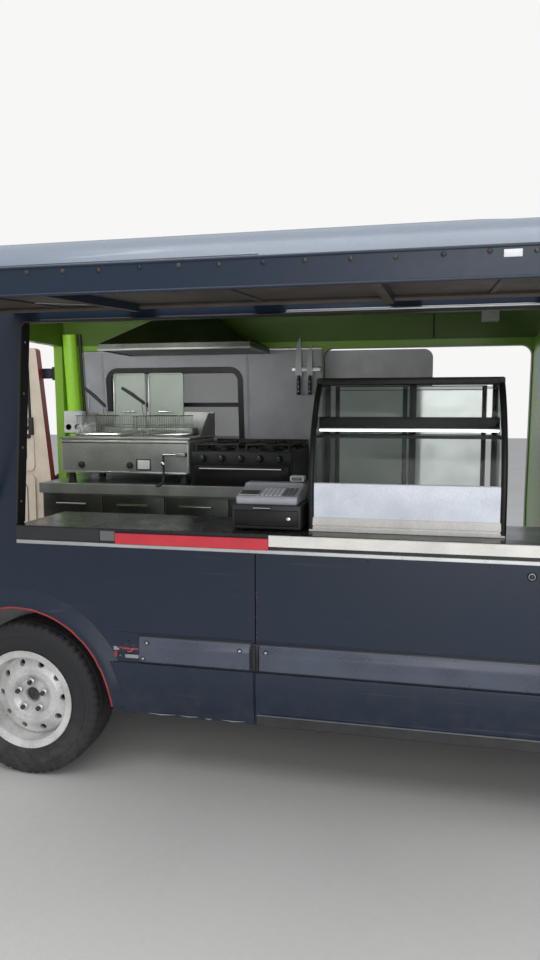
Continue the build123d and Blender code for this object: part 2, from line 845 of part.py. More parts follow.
cab_parts = {}
for side, name in ((1, "left"), (-1, "right")):
    cab_parts[f"cab_door_{name}"] = cab_door(side)
    cab_parts[f"cab_glass_{name}"] = cab_glass(side)
    cab_parts[f"mirror_{name}"] = door_mirror(side)


def rear_leaf(outline, depth, margin, cut=None):
    """Left rear door or its pane, closed, in the tail's skin."""
    with BuildPart() as leaf:
        add(skin(depth[0], depth[1]))
        add(prism(end_of_van, outline, -deep, -rear_overhang + 200.0, margin), mode=Mode.INTERSECT)
        if cut:
            add(prism(end_of_van, cut, -deep, 0.0, 45.0), mode=Mode.SUBTRACT)
    return leaf.part


rear_door_closed = rear_leaf(rear_door_outline(), (0.0, wall), 25.0, rear_window_outline())
rear_glass_closed = rear_leaf(rear_window_outline(), (14.0, glass), 45.0)
rear_hinge_axis = Axis(place(rear_hinge_x, rear_hinge_y, 0), (0, 0, 1))
rear_parts = {
    "rear_door_left": rear_door_closed.rotate(rear_hinge_axis, -90),
    "rear_glass_left": rear_glass_closed.rotate(rear_hinge_axis, -90),
    "rear_door_right": mirrored(rear_door_closed),
    "rear_glass_right": mirrored(rear_glass_closed),
}


# Wheels: one steel rim and one tyre, turned about the axle and set at four corners
def wheel_plane(x, side):
    """Plane of a wheel's middle, its normal pointing outwards."""
    centre = place(x, side * track / 2, tyre_radius)
    return Plane(origin=centre, x_dir=(1, 0, 0), z_dir=(0, side, 0))


def tyre_solid(x, side):
    """Tyre of rounded section; its road tread is left smooth."""
    plane = wheel_plane(x, side)
    half = tyre_width / 2
    bead = rim_radius - 8.0
    bead_half = rim_width / 2 - 15.0
    section_plane = Plane(origin=plane.origin, x_dir=plane.x_dir, z_dir=-plane.y_dir)
    with BuildPart() as tyre:
        with BuildSketch(section_plane):
            with BuildLine():
                FilletPolyline(
                    (bead, -bead_half),
                    (tyre_radius - 78.0, -half),
                    (tyre_radius - 20.0, -half + 8.0),
                    (tyre_radius, -half + 34.0),
                    (tyre_radius, half - 34.0),
                    (tyre_radius - 20.0, half - 8.0),
                    (tyre_radius - 78.0, half),
                    (bead, bead_half),
                    radius=[40, 16, 14, 14, 16, 40],
                )
                Line((bead, bead_half), (bead, -bead_half))
            make_face()
        revolve(axis=Axis(plane.origin, plane.z_dir))
    return tyre.part


def rim_solid(x, side):
    """Steel rim: bed, dished disc with ten vents, open centre and five bolt heads."""
    plane = wheel_plane(x, side)
    half = rim_width / 2
    section_plane = Plane(origin=plane.origin, x_dir=plane.x_dir, z_dir=-plane.y_dir)
    flip = 1.0 if section_plane.to_local_coords(plane.origin + plane.z_dir).Y > 0 else -1.0
    profile = [
        (32.0, 30.0),
        (hub_radius, 30.0),
        (hub_radius + 25.0, 44.0),
        (vent_circle / 2 - 25.0, 46.0),
        (vent_circle / 2 + 25.0, 22.0),
        (rim_bed_radius - 12.0, 8.0),
        (rim_bed_radius - 12.0, half - 6.0),
        (rim_radius, half),
        (rim_radius - 7.0, half - 14.0),
        (rim_bed_radius, half - 26.0),
        (rim_bed_radius, -half + 26.0),
        (rim_radius - 7.0, -half + 14.0),
        (rim_radius, -half),
        (rim_bed_radius - 12.0, -half + 6.0),
        (rim_bed_radius - 12.0, -4.0),
        (vent_circle / 2 + 20.0, 8.0),
        (vent_circle / 2 - 28.0, 32.0),
        (hub_radius + 20.0, 30.0),
        (hub_radius, 18.0),
        (32.0, 18.0),
    ]
    with BuildPart() as rim:
        with BuildSketch(section_plane):
            with BuildLine():
                Polyline(*[(radius, flip * out) for radius, out in profile], close=True)
            make_face()
        revolve(axis=Axis(plane.origin, plane.z_dir))
        with BuildSketch(plane):
            with PolarLocations(vent_circle / 2, vent_count):
                Circle(vent_radius)
        extrude(amount=80.0, both=True, mode=Mode.SUBTRACT)
        with BuildSketch(plane.offset(28.0)):
            with PolarLocations(bolt_circle / 2, bolt_count, start_angle=90.0):
                RegularPolygon(bolt_hole, 6)
        extrude(amount=18.0)
    return rim.part


wheel_corners = {
    "rear_left": (0.0, 1),
    "rear_right": (0.0, -1),
    "front_left": (wheelbase, 1),
    "front_right": (wheelbase, -1),
}
wheel_parts = {}
for corner, (axle_x, side) in wheel_corners.items():
    wheel_parts[f"tyre_{corner}"] = tyre_solid(axle_x, side)
    wheel_parts[f"rim_{corner}"] = rim_solid(axle_x, side)

# Axles, knuckles and underside
stub_end = track / 2 + 17.0
steer_y = track / 2 - steer_inset - 60.0


def hub_stub(x, side, inner_y):
    """Brake disc, drum and spigot that a wheel turns on."""
    with BuildPart() as stub:
        add(rod((x, side * inner_y, tyre_radius), (x, side * (track / 2 - 30.0), tyre_radius), 38.0))
        add(rod((x, side * (track / 2 - 45.0), tyre_radius), (x, side * (track / 2 - 5.0), tyre_radius), 128.0))
        add(rod((x, side * (track / 2 - 10.0), tyre_radius), (x, side * stub_end, tyre_radius), 64.0))
    return stub.part


with BuildPart() as rear_axle:
    for side in (1, -1):
        add(hub_stub(0.0, side, 600.0))
    add(rod((0, -track / 2 + 80.0, tyre_radius), (0, track / 2 - 80.0, tyre_radius), 42.0))
    spring_y = 560.0
    for side in (1, -1):
        spring = [(spring_rear_x, 455.0), (0.0, 383.0), (spring_front_x, 455.0), (spring_front_x, 478.0),
                  (0.0, 406.0), (spring_rear_x, 478.0)]
        add(on_side(side, spring, spring_y - 30.0, spring_y + 30.0))
        for eye_x in (spring_rear_x, spring_front_x):
            add(block((eye_x - 25.0, eye_x + 25.0), span(side, spring_y - 35.0, spring_y + 35.0),
                      (450.0, floor_low)))
rear_axle.part.label = "rear_axle"

knuckles = {}
for name, side in (("left", 1), ("right", -1)):
    with BuildPart() as knuckle:
        add(hub_stub(wheelbase, side, steer_y - 10.0))
        upright_y = span(side, steer_y - 22.0, steer_y + 22.0)
        add(block((wheelbase - 28.0, wheelbase + 28.0), upright_y, (tyre_radius - 120.0, tyre_radius + 110.0), 8.0))
        arm_x = (wheelbase - 150.0, wheelbase)
        add(block(arm_x, span(side, steer_y - 14.0, steer_y + 10.0), (tyre_radius - 40.0, tyre_radius - 15.0)))
    knuckles[f"knuckle_{name}"] = knuckle.part

with BuildPart() as underframe:
    rail_z = (rail_low_z, floor_low)
    for side in (1, -1):
        add(block((-rear_overhang + rail_inset, cargo_front_x + 20.0),
                  span(side, rail_y - rail_width / 2, rail_y + rail_width / 2), rail_z))
        add(block((cargo_front_x + 20.0, wheelbase + 420.0),
                  span(side, rail_y - rail_width / 2, rail_y + rail_width / 2),
                  (rail_low_z, cab_floor_z - 50.0)))
    for cross_x in (-rear_overhang + rear_cross_inset, 470.0, 1180.0, 1890.0, 2700.0, 3250.0, 3900.0):
        add(block((cross_x - 35.0, cross_x + 35.0), (-rail_y, rail_y), (rail_low_z + 20.0, rail_low_z + 90.0)))
    arm_low = tyre_radius - 150.0
    for side in (1, -1):
        arm_y = span(side, 300.0, steer_y - 45.0)
        add(block((wheelbase - 60.0, wheelbase + 60.0), arm_y, (arm_low, arm_low + 30.0)))
        add(block((wheelbase - 200.0, wheelbase + 180.0), span(side, 300.0, 380.0), (arm_low, arm_low + 60.0)))
        add(block((wheelbase - 200.0, wheelbase - 140.0), span(side, 300.0, rail_y), (arm_low + 30.0, rail_low_z + 30.0)))
    add(block((wheelbase - 200.0, wheelbase - 120.0), (-380.0, 380.0), (arm_low, arm_low + 60.0)))
    lug_y = (-rail_y - rail_width / 2 - lashing_lug, -rail_y)
    lug_z = (rail_low_z, rail_low_z + lashing_lug_thickness)
    add(block((lashing_eye_x - lashing_lug / 2, lashing_eye_x + lashing_lug / 2), lug_y, lug_z))
    eye_y = lug_y[0] + lashing_lug / 2
    eye_start = (lashing_eye_x, eye_y, lug_z[0] - 10.0)
    eye_end = (lashing_eye_x, eye_y, lug_z[1] + 10.0)
    add(rod(eye_start, eye_end, lashing_eye_radius), mode=Mode.SUBTRACT)
    for pad_x in (jack_pad_rear_x, jack_pad_front_x):
        for side in (1, -1):
            pad_top = (pad_x, side * rail_y, rail_low_z + 5.0)
            add(rod((pad_x, side * rail_y, rail_low_z - jack_pad_height), pad_top, jack_pad_radius))
underframe.part.label = "underframe"

with BuildPart() as fuel_tank:
    add(block((1250.0, 1850.0), (-rail_y + rail_width, rail_y - rail_width), (tank_low_z, rail_low_z + 15.0), 30.0))
fuel_tank.part.label = "fuel_tank"

with BuildPart() as exhaust:
    pipe_points = [
        place(3450.0, -160.0, 330.0),
        place(2700.0, -200.0, 345.0),
        place(2100.0, -560.0, 345.0),
        place(300.0, -560.0, 300.0),
    ]
    with BuildLine():
        FilletPolyline(*pipe_points, radius=200.0)
    with BuildSketch(Plane(origin=pipe_points[0], z_dir=pipe_points[1] - pipe_points[0])):
        Circle(27.0)
    sweep()
    add(rod((1900.0, -560.0, 340.0), (1200.0, -560.0, 322.0), 85.0))
exhaust.part.label = "exhaust"

with BuildPart() as engine:
    add(block((3680.0, 4100.0), (-400.0, 400.0), (rail_low_z + 95.0, 960.0), 20.0))
engine.part.label = "engine"

with BuildPart() as spare_wheel:
    spare_top_z = rail_low_z + 15.0
    spare_low_z = spare_top_z - 180.0
    spare_x = -rear_overhang + spare_inset
    add(rod((spare_x, 0, spare_low_z), (spare_x, 0, spare_top_z), spare_radius))
    fillet(spare_wheel.edges(), 40.0)
    add(rod((spare_x, 0, spare_low_z - 5.0), (spare_x, 0, spare_low_z + 40.0), 180.0), mode=Mode.SUBTRACT)
spare_wheel.part.label = "spare_wheel"

# Cab inside
with BuildPart() as dashboard:
    dash = [
        (3090.0, 860.0),
        (3260.0, 780.0),
        (firewall_x, 740.0),
        (firewall_x, 1120.0),
        (3300.0, 1225.0),
        (3120.0, 1130.0),
    ]
    dash_half = half_width - wall - 60.0
    add(prism(side_of_van, dash, -dash_half, dash_half, [40, 60, 0, 0, 60, 60]))
    for side in (1, -1):
        add(arch_cut(wheelbase, side, wheelhouse_inner, arch_radius + wheelhouse_skin + 3.0), mode=Mode.SUBTRACT)
    wheel_plane_tilt = Plane(origin=place(2990.0, 430.0, 1130.0), x_dir=(0, 1, 0), z_dir=(-0.5, 0, 0.87))
    with BuildSketch(wheel_plane_tilt):
        Circle(205.0)
        Circle(180.0, mode=Mode.SUBTRACT)
        Rectangle(370.0, 34.0)
        Circle(60.0)
    extrude(amount=24.0)
    add(rod((2995.0, 430.0, 1125.0), (3200.0, 430.0, 1000.0), 28.0))
dashboard.part.label = "dashboard"

with BuildPart() as seats:
    seat_rows = ((430.0, 250.0), (-430.0, 390.0))
    for centre_y, seat_half in seat_rows:
        seat_y = (centre_y - seat_half, centre_y + seat_half)
        add(block((2440.0, 2890.0), (seat_y[0] + 40.0, seat_y[1] - 40.0), (cab_floor_z, 860.0)))
        add(block((2400.0, 2920.0), seat_y, (850.0, 990.0), 40.0))
        back = [(2420.0, 940.0), (2550.0, 950.0), (2440.0, 1680.0), (2350.0, 1680.0)]
        add(prism(side_of_van, back, -seat_y[1], -seat_y[0], 30.0))
seats.part.label = "seats"

# Serving counter and its strips
with BuildPart() as counter:
    counter_x = (hatch_rear_x + 3.0, hatch_front_x - 3.0)
    inner_y = -half_width + counter_depth
    top_z = (counter_top_z - counter_thickness, counter_top_z)
    add(block(counter_x, (-half_width - 4.0, inner_y), top_z))
    front_fit = hatch_sill_z
    add(block(counter_x, (-half_width - 4.0, -half_width + 55.0), (front_fit, counter_top_z - counter_thickness)))
    cupboard_y = (-half_width + wall + 90.0, inner_y - 30.0)
    add(block((counter_x[0] + 500.0, counter_x[1] - 60.0), cupboard_y, (floor_z, counter_top_z - counter_thickness)))
counter.part.label = "counter"

with BuildPart() as counter_strips:
    strip_y = (-half_width - 4.0 - strip_out, -half_width - 4.0)
    strip_top = counter_top_z - 2.0
    add(block((strip_rear_x, strip_break_x - 1.0), strip_y, (strip_top - strip_height - 14.0, strip_top - 14.0)))
    add(block((strip_break_x + 1.0, strip_front_x - 6.0), strip_y, (strip_top - strip_height, strip_top)))
counter_strips.part.label = "counter_strips"

# Refrigerated display case
case_back_y = case_face_y + case_depth
case_lean = 210.0
case_front_points = [
    (case_face_y, counter_top_z + case_base),
    (case_face_y + 45.0, counter_top_z + 0.62 * (case_top_z - counter_top_z)),
    (case_face_y + case_lean, case_top_z - case_frame),
]


def case_side_face(inset):
    """End view of the case: curved front, flat top and upright back."""
    low, middle_point, high = case_front_points
    with BuildSketch(Plane.XY) as face:
        with BuildLine():
            ThreePointArc(
                (low[0] + inset, low[1]),
                (middle_point[0] + inset, middle_point[1]),
                (high[0] + inset, high[1] - inset),
            )
            Line((high[0] + inset, high[1] - inset), (case_back_y - inset, high[1] - inset))
            Line((case_back_y - inset, high[1] - inset), (case_back_y - inset, low[1]))
            Line((case_back_y - inset, low[1]), (low[0] + inset, low[1]))
        make_face()
    return face.sketch


def case_slab(inset, x):
    """Slab of the case's end view between two lengths along the van."""
    face = case_side_face(inset)
    with BuildPart() as slab:
        with BuildSketch(end_of_van.offset(x[0])):
            add(face)
        extrude(amount=x[1] - x[0])
    return slab.part


with BuildPart() as display_case:
    case_x = (case_rear_x, case_front_x)
    add(block(case_x, (case_face_y, case_back_y), (counter_top_z, counter_top_z + case_base)))
    for end_x in ((case_rear_x, case_rear_x + case_frame), (case_front_x - case_frame, case_front_x)):
        add(case_slab(0.0, end_x))
        pane_gap = (end_x[0] - 1.0, end_x[1] + 1.0)
        add(case_slab(case_frame, pane_gap), mode=Mode.SUBTRACT)
    add(block(case_x, (case_face_y + case_lean - 10.0, case_back_y), (case_top_z - case_frame, case_top_z)))
    shelf_z = counter_top_z + 0.6 * (case_top_z - counter_top_z)
    add(block((case_rear_x + case_frame - 2.0, case_front_x - case_frame + 2.0),
              (case_face_y + 150.0, case_back_y - 30.0), (shelf_z, shelf_z + 12.0)))
    post_y = (case_back_y - case_frame, case_back_y)
    for post_x in (case_rear_x, (case_rear_x + case_front_x) / 2, case_front_x - 30.0):
        add(block((post_x, post_x + 30.0), post_y, (counter_top_z + case_base, case_top_z)))
    lip_y = (case_face_y, case_face_y + case_frame)
    add(block(case_x, lip_y, (counter_top_z + case_base, counter_top_z + case_base + 6.0)))
    end_shelf = (shelf_z, shelf_z + 12.0)
    for end_x in ((case_rear_x, case_rear_x + case_frame), (case_front_x - case_frame, case_front_x)):
        add(block(end_x, (case_face_y + 120.0, case_back_y), end_shelf))
display_case.part.label = "display_case"


def end_pane(pane_x):
    """End window of the case, parted by the shelf."""
    with BuildPart() as pane:
        add(case_slab(case_frame, (pane_x, pane_x + glass)))
        shelf_zone = block((-deep, deep), (-beyond, beyond), (shelf_z - 1.0, shelf_z + 13.0))
        add(shelf_zone, mode=Mode.SUBTRACT)
        above_base = block((-deep, deep), (-beyond, beyond), (counter_top_z + case_base + 6.0, deep))
        add(above_base, mode=Mode.INTERSECT)
    return pane.part


with BuildPart() as display_glass:
    inside_x = (case_rear_x + case_frame, case_front_x - case_frame)
    add(case_slab(2.0, inside_x))
    add(case_slab(2.0 + glass, (inside_x[0] - 1.0, inside_x[1] + 1.0)), mode=Mode.SUBTRACT)
    front_only = block((-deep, deep), (case_face_y - 5.0, case_face_y + case_lean - 12.0),
                       (counter_top_z + case_base + 8.0, case_top_z - case_frame - 1.0))
    add(front_only, mode=Mode.INTERSECT)
    for pane_x in (case_rear_x + 4.0, case_front_x - 4.0 - glass):
        add(end_pane(pane_x))
display_glass.part.label = "display_glass"

# Units along the far wall, fryer, hob and hood
wall_inner_y = half_width - wall - lining_thickness
with BuildPart() as kitchen_units:
    unit_back_y = side_y(worktop_z) - wall - lining_thickness - 6.0
    unit_y = (unit_front_y + 20.0, unit_back_y)
    box_clear = arch_radius + 25.0 + 5.0
    add(block((unit_rear_x, unit_front_x), unit_y, (box_top + 4.0, worktop_z - worktop_thickness)))
    add(block((box_clear, unit_front_x), unit_y, (floor_z, box_top + 4.0)))
    low_y = (unit_front_y + 20.0, box_inner - 5.0)
    add(block((unit_rear_x, box_clear), low_y, (floor_z, box_top + 4.0)))
    add(block((unit_rear_x - 10.0, unit_front_x + 10.0), (unit_front_y, unit_back_y),
              (worktop_z - worktop_thickness, worktop_z)))
kitchen_units.part.label = "kitchen_units"

with BuildPart() as fryer:
    fryer_y = (unit_front_y + 10.0, unit_front_y + 10.0 + fryer_depth)
    fryer_low_z = worktop_z + fryer_foot
    add(block((fryer_rear_x, fryer_front_x), fryer_y, (fryer_low_z, fryer_top_z)))
    for foot_x in (fryer_rear_x + 30.0, fryer_front_x - 70.0):
        for foot_y in (fryer_y[0] + 30.0, fryer_y[1] - 70.0):
            add(block((foot_x, foot_x + 40.0), (foot_y, foot_y + 40.0), (worktop_z, fryer_low_z)))
    guard_z = (fryer_top_z, fryer_top_z + fryer_guard)
    for guard_x in (fryer_rear_x, fryer_front_x - 6.0):
        add(block((guard_x, guard_x + 6.0), fryer_y, guard_z))
    add(block((fryer_rear_x, fryer_front_x), (fryer_y[1] - 12.0, fryer_y[1]), guard_z))
    for lid_x in (fryer_rear_x + 290.0, fryer_rear_x + 550.0):
        add(block((lid_x, lid_x + fryer_lid_width), (fryer_y[1] - 20.0, fryer_y[1] - 8.0),
                  (fryer_top_z, fryer_top_z + fryer_lid_height)))
fryer.part.label = "fryer"

with BuildPart() as hob:
    hob_x = (fryer_front_x + 8.0, hob_front_x)
    hob_y = (unit_front_y + 15.0, unit_front_y + 15.0 + hob_depth)
    burner_z = worktop_z + hob_height
    add(block(hob_x, hob_y, (worktop_z, burner_z)))
    burner_columns = 2
    burner_pitch = (hob_x[1] - hob_x[0]) / burner_columns
    for column in range(burner_columns):
        centre_x = hob_x[0] + (column + 0.5) * burner_pitch
        for centre_y in (hob_y[0] + 150.0, hob_y[1] - 145.0):
            burner_top = (centre_x, centre_y, burner_z + 14.0)
            add(rod((centre_x, centre_y, burner_z), burner_top, burner_radius))
hob.part.label = "hob"

hood_back_y = side_y(hood_low_z) - wall - lining_thickness - 8.0
with BuildPart() as hood:
    hood_y = (hood_back_y - hood_depth, hood_back_y)
    lip_height = 35.0
    hood_mid_x = (hood_rear_x + hood_front_x) / 2
    with BuildSketch(van.offset(hood_low_z + lip_height)):
        with Locations((hood_mid_x, sum(hood_y) / 2)):
            Rectangle(hood_front_x - hood_rear_x, hood_depth)
    hood_top_back = hood_back_y - 45.0
    with BuildSketch(van.offset(hood_low_z + 230.0)):
        with Locations((hood_mid_x, hood_top_back - 110.0)):
            Rectangle(260.0, 220.0)
    loft()
    add(block((hood_rear_x, hood_front_x), hood_y, (hood_low_z, hood_low_z + lip_height)))
    hollow_x = (hood_rear_x + 15.0, hood_front_x - 15.0)
    add(block(hollow_x, (hood_y[0] + 15.0, hood_y[1] - 15.0), (hood_low_z - 5.0, hood_low_z + lip_height - 5.0)),
        mode=Mode.SUBTRACT)
    add(block((hood_mid_x - 110.0, hood_mid_x + 110.0), (hood_top_back - 210.0, hood_top_back - 20.0),
              (hood_low_z + 200.0, crown_z)))
    add(inner_form, mode=Mode.INTERSECT)
hood.part.label = "hood"

with BuildPart() as lining:
    add(skin(wall, lining_thickness))
    lining_zone = block((lining_rear_x, lining_front_x), (wall_inner_y - 200.0, beyond), (floor_z + 5.0, lining_high_z))
    add(lining_zone, mode=Mode.INTERSECT)
    add(on_side(1, side_window, 700.0, beyond, 90.0), mode=Mode.SUBTRACT)
    clear_box = block((-arch_radius - 28.0, arch_radius + 28.0), (700.0, beyond), (0.0, box_top + 3.0))
    add(clear_box, mode=Mode.SUBTRACT)
lining.part.label = "lining"

bar_z = (side_window_low_z + side_window_high_z) / 2 + 30.0


def window_bar():
    """Level bar across the side window."""
    bar_x = (side_window_rear_x + window_frame - 2.0, side_window_front_x - window_frame + 2.0)
    with BuildPart() as bar:
        add(skin(18.0, 30.0))
        add(block(bar_x, (700.0, beyond), (bar_z - 14.0, bar_z + 14.0)), mode=Mode.INTERSECT)
    return bar.part


with BuildPart() as window_rubber:
    add(skin(0.0, wall + lining_thickness))
    add(on_side(1, side_window, 700.0, beyond, 90.0), mode=Mode.INTERSECT)
    add(on_side(1, side_window, 700.0, beyond, 90.0, window_frame), mode=Mode.SUBTRACT)
    add(window_bar())
window_rubber.part.label = "window_rubber"

with BuildPart() as side_glass:
    add(skin(28.0, glass))
    add(on_side(1, side_window, 700.0, beyond, 90.0, window_frame), mode=Mode.INTERSECT)
    add(block((-deep, deep), (700.0, beyond), (bar_z - 14.0, bar_z + 14.0)), mode=Mode.SUBTRACT)
side_glass.part.label = "side_glass"

with BuildPart() as till:
    till_y = (-half_width + 80.0, -half_width + 80.0 + till_depth)
    drawer_z = (counter_top_z, counter_top_z + till_drawer_height)
    add(block((till_rear_x, till_front_x), till_y, drawer_z))
    register_side = [
        (till_y[0] + 30.0, drawer_z[1]),
        (till_y[0] + 240.0, drawer_z[1]),
        (till_y[0] + 240.0, drawer_z[1] + 40.0),
        (till_y[0] + 60.0, drawer_z[1] + 75.0),
        (till_y[0] + 30.0, drawer_z[1] + 60.0),
    ]
    add(prism(end_of_van, register_side, till_rear_x + 15.0, till_front_x - 30.0, 6.0))
till.part.label = "till"

# Flap over the hatch, open and drooping a little, hinged along its inner edge
flap_plane = Plane(
    origin=place(0, flap_hinge_y, flap_hinge_z),
    x_dir=(0, -math.cos(math.radians(flap_droop)), -math.sin(math.radians(flap_droop))),
    z_dir=(1, 0, 0),
)


def flap_slab(x, out, up):
    """Block of the flap: x along the van, out from the hinge, up from the underside."""
    with BuildPart() as slab:
        with BuildSketch(flap_plane.offset(x[0])):
            corners = [(out[0], -up[0]), (out[1], -up[0]), (out[1], -up[1]), (out[0], -up[1])]
            with BuildLine():
                Polyline(*corners, close=True)
            make_face()
        extrude(amount=x[1] - x[0])
    return slab.part


flap_x = (flap_rear_x, flap_front_x)
with BuildPart() as hatch_flap:
    add(flap_slab(flap_x, (10.0, flap_length), (0.0, flap_thickness)))
    hinge_start = (flap_rear_x, flap_hinge_y, flap_hinge_z)
    add(rod(hinge_start, (flap_front_x, flap_hinge_y, flap_hinge_z), hinge_radius))
    add(flap_slab(flap_x, (0.0, 30.0), (0.0, hinge_radius)))
    lip_out = (flap_length - flap_lip_thickness, flap_length)
    add(flap_slab(flap_x, lip_out, (-flap_lip_depth, flap_thickness)))
    rib_step = (hatch_front_x - hatch_rear_x) * 0.445
    rib_first = hatch_rear_x + 0.264 * (hatch_front_x - hatch_rear_x)
    for rib_x in (rib_first, rib_first + rib_step):
        add(flap_slab((rib_x - flap_rib / 2, rib_x + flap_rib / 2), (60.0, flap_length - 130.0),
                      (-flap_rib_depth, 0.0)))
    pin_up = flap_thickness / 2
    for plane_x, toward in ((strut_planes["rear"], 1), (strut_planes["front"], -1)):
        end_x = plane_x + toward * strut_offset
        tip_x = plane_x + toward * (strut_eye_width / 2 + 3.0)
        pin_x = tuple(sorted((end_x + toward * 20.0, tip_x)))
        half_pin = strut_pin_radius
        add(flap_slab(pin_x, (flap_pin_reach - half_pin, flap_pin_reach + half_pin),
                      (pin_up - half_pin, pin_up + half_pin)))
hatch_flap.part.label = "hatch_flap"

# Gas struts: each tube turns on its lower pin and its rod ends beside the flap's pin
droop = math.radians(flap_droop)
pin_y = flap_hinge_y - flap_pin_reach * math.cos(droop) - pin_up * math.sin(droop)
pin_z = flap_hinge_z - flap_pin_reach * math.sin(droop) + pin_up * math.cos(droop)
foot_y = -(side_y(strut_foot_z) + strut_foot_out)
strut_line = Vector(0, pin_y - foot_y, pin_z - strut_foot_z)
strut_reach = strut_line.length
strut_way = strut_line.normalized()


def along_strut(plane_x, distance):
    """Point of one strut at a distance from its lower pin."""
    point = strut_way * distance
    return (plane_x, foot_y + point.Y, strut_foot_z + point.Z)


def strut_eye(plane_x, distance, bore):
    """Flat ring of a strut's end, its hole along the van."""
    centre = along_strut(plane_x, distance)
    half = strut_eye_width / 2
    start = (plane_x - half, centre[1], centre[2])
    end = (plane_x + half, centre[1], centre[2])
    return rod(start, end, strut_eye_radius, bore)


strut_parts = {}
for name, plane_x in strut_planes.items():
    with BuildPart() as tube:
        add(rod(along_strut(plane_x, strut_eye_radius - 2.0), along_strut(plane_x, strut_tube_length),
                strut_tube_radius))
        bore_start = along_strut(plane_x, strut_eye_radius + 16.0)
        bore_end = along_strut(plane_x, strut_tube_length + 5.0)
        add(rod(bore_start, bore_end, strut_bore_radius), mode=Mode.SUBTRACT)
        add(strut_eye(plane_x, 0.0, strut_pin_radius + strut_pin_clearance))
    strut_parts[f"strut_tube_{name}"] = tube.part
    with BuildPart() as strut_rod:
        rod_foot = along_strut(plane_x, strut_reach - strut_rod_length)
        rod_head = along_strut(plane_x, strut_reach - strut_eye_radius + 4.0)
        add(rod(rod_foot, rod_head, strut_rod_radius))
        add(strut_eye(plane_x, strut_reach, strut_pin_radius + 1.0))
    strut_parts[f"strut_rod_{name}"] = strut_rod.part

# Rubbing mouldings along both cargo sides
moulding_out = 12.0
moulding_z = (570.0, 680.0)
with BuildPart() as side_mouldings:
    for x, side in (((552.0, 1028.0), -1), ((1062.0, cargo_front_x - 14.0), -1), ((552.0, 1000.0), 1)):
        piece_y = span(side, half_width, half_width + moulding_out)
        add(block(x, piece_y, moulding_z, 4.0))
side_mouldings.part.label = "side_mouldings"

# Written pieces
named = [
    roof, side_right, old_door_right, side_left, sliding_door_left, load_floor, cab_frame,
    windscreen, front_wings, bonnet, grille, lamps, front_bumper, rear_bumper, rear_axle,
    underframe, fuel_tank, exhaust, engine, spare_wheel, dashboard, seats, counter,
    counter_strips, display_case, display_glass, kitchen_units, fryer, hob, hood, lining,
    window_rubber, side_glass, till, hatch_flap, side_mouldings,
]
for piece in named:
    export_step(piece.part, f"parts/{piece.part.label}.step")

for group in (cab_parts, rear_parts, wheel_parts, knuckles, strut_parts):
    for name, part in group.items():
        part.label = name
        export_step(part, f"parts/{name}.step")

print("rear_axle_x", round(rear_axle_x, 3), "mid_y", round(mid_y, 3))
print("strut reach", round(strut_reach, 3), "flap tip", round(flap_tip_y, 3))
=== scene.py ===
"""Looks of a food truck: finishes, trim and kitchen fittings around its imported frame."""
import math
import random

import bmesh
import bpy
from bpy.props import FloatProperty, FloatVectorProperty, PointerProperty
from mathutils import Matrix, Vector, noise
from mathutils.bvhtree import BVHTree


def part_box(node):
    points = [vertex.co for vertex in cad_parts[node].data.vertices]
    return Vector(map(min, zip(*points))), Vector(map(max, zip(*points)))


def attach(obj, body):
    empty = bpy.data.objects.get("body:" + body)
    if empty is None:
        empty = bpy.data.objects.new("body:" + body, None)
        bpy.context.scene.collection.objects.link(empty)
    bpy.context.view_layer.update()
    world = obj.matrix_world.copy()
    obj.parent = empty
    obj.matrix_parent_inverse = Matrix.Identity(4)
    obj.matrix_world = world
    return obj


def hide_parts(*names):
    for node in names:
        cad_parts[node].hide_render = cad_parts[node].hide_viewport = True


bl_info = {
    "name": "Food Truck",
    "version": (1, 0, 0),
    "blender": (4, 5, 0),
    "location": "View3D > Sidebar > Food Truck",
    "description": "Finishes, trim and kitchen fittings of a serving van",
    "category": "Add Mesh",
}

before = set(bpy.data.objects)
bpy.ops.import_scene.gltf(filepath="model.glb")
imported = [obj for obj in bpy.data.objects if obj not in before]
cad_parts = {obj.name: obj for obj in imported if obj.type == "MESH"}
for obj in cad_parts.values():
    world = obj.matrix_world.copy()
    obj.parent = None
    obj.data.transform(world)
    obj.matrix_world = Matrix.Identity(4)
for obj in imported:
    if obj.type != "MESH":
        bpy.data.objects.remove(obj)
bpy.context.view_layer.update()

# The van's own lengths: x from the rear axle, y from the centre plane, z from the ground
wheel_boxes = {side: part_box(f"rim_rear_{side}") for side in ("left", "right")}
axle_x = sum(wheel_boxes["right"], Vector()).x / 2
mid_y = sum(sum(box, Vector()).y for box in wheel_boxes.values()) / 4
van_shift = Vector((axle_x, mid_y, 0.0))

HALF_WIDTH = 0.995
SILL_HALF_WIDTH = 0.955
SILL_Z = 0.335
HIP_Z = 0.47
BELT_Z = 1.06
SHOULDER_HALF_WIDTH = 0.868
SHOULDER_Z = 2.3
TUMBLE = (HALF_WIDTH - SHOULDER_HALF_WIDTH) / (SHOULDER_Z - BELT_Z)
ARCH_RADIUS = 0.428
REAR_X = -0.825
HATCH_REAR_X = 0.0
HATCH_FRONT_X = 2.2
HATCH_SILL_Z = 1.062
HATCH_TOP_Z = 1.985
SEAM_X = 1.042
SIDE_FRONT_X = 2.286
MOULDING_LOW_Z = 0.570
MOULDING_HIGH_Z = 0.680
HINGE_BOLT_PITCH = 0.11
EDGE_SOFTNESS = 0.003
SIDES = (("right", -1), ("left", 1))

# Directions of the van; its right side faces the camera
TO_FRONT = (1.0, 0.0, 0.0)
TO_REAR = (-1.0, 0.0, 0.0)
TO_LEFT = (0.0, 1.0, 0.0)
TO_RIGHT = (0.0, -1.0, 0.0)
UP = (0.0, 0.0, 1.0)
DOWN = (0.0, 0.0, -1.0)


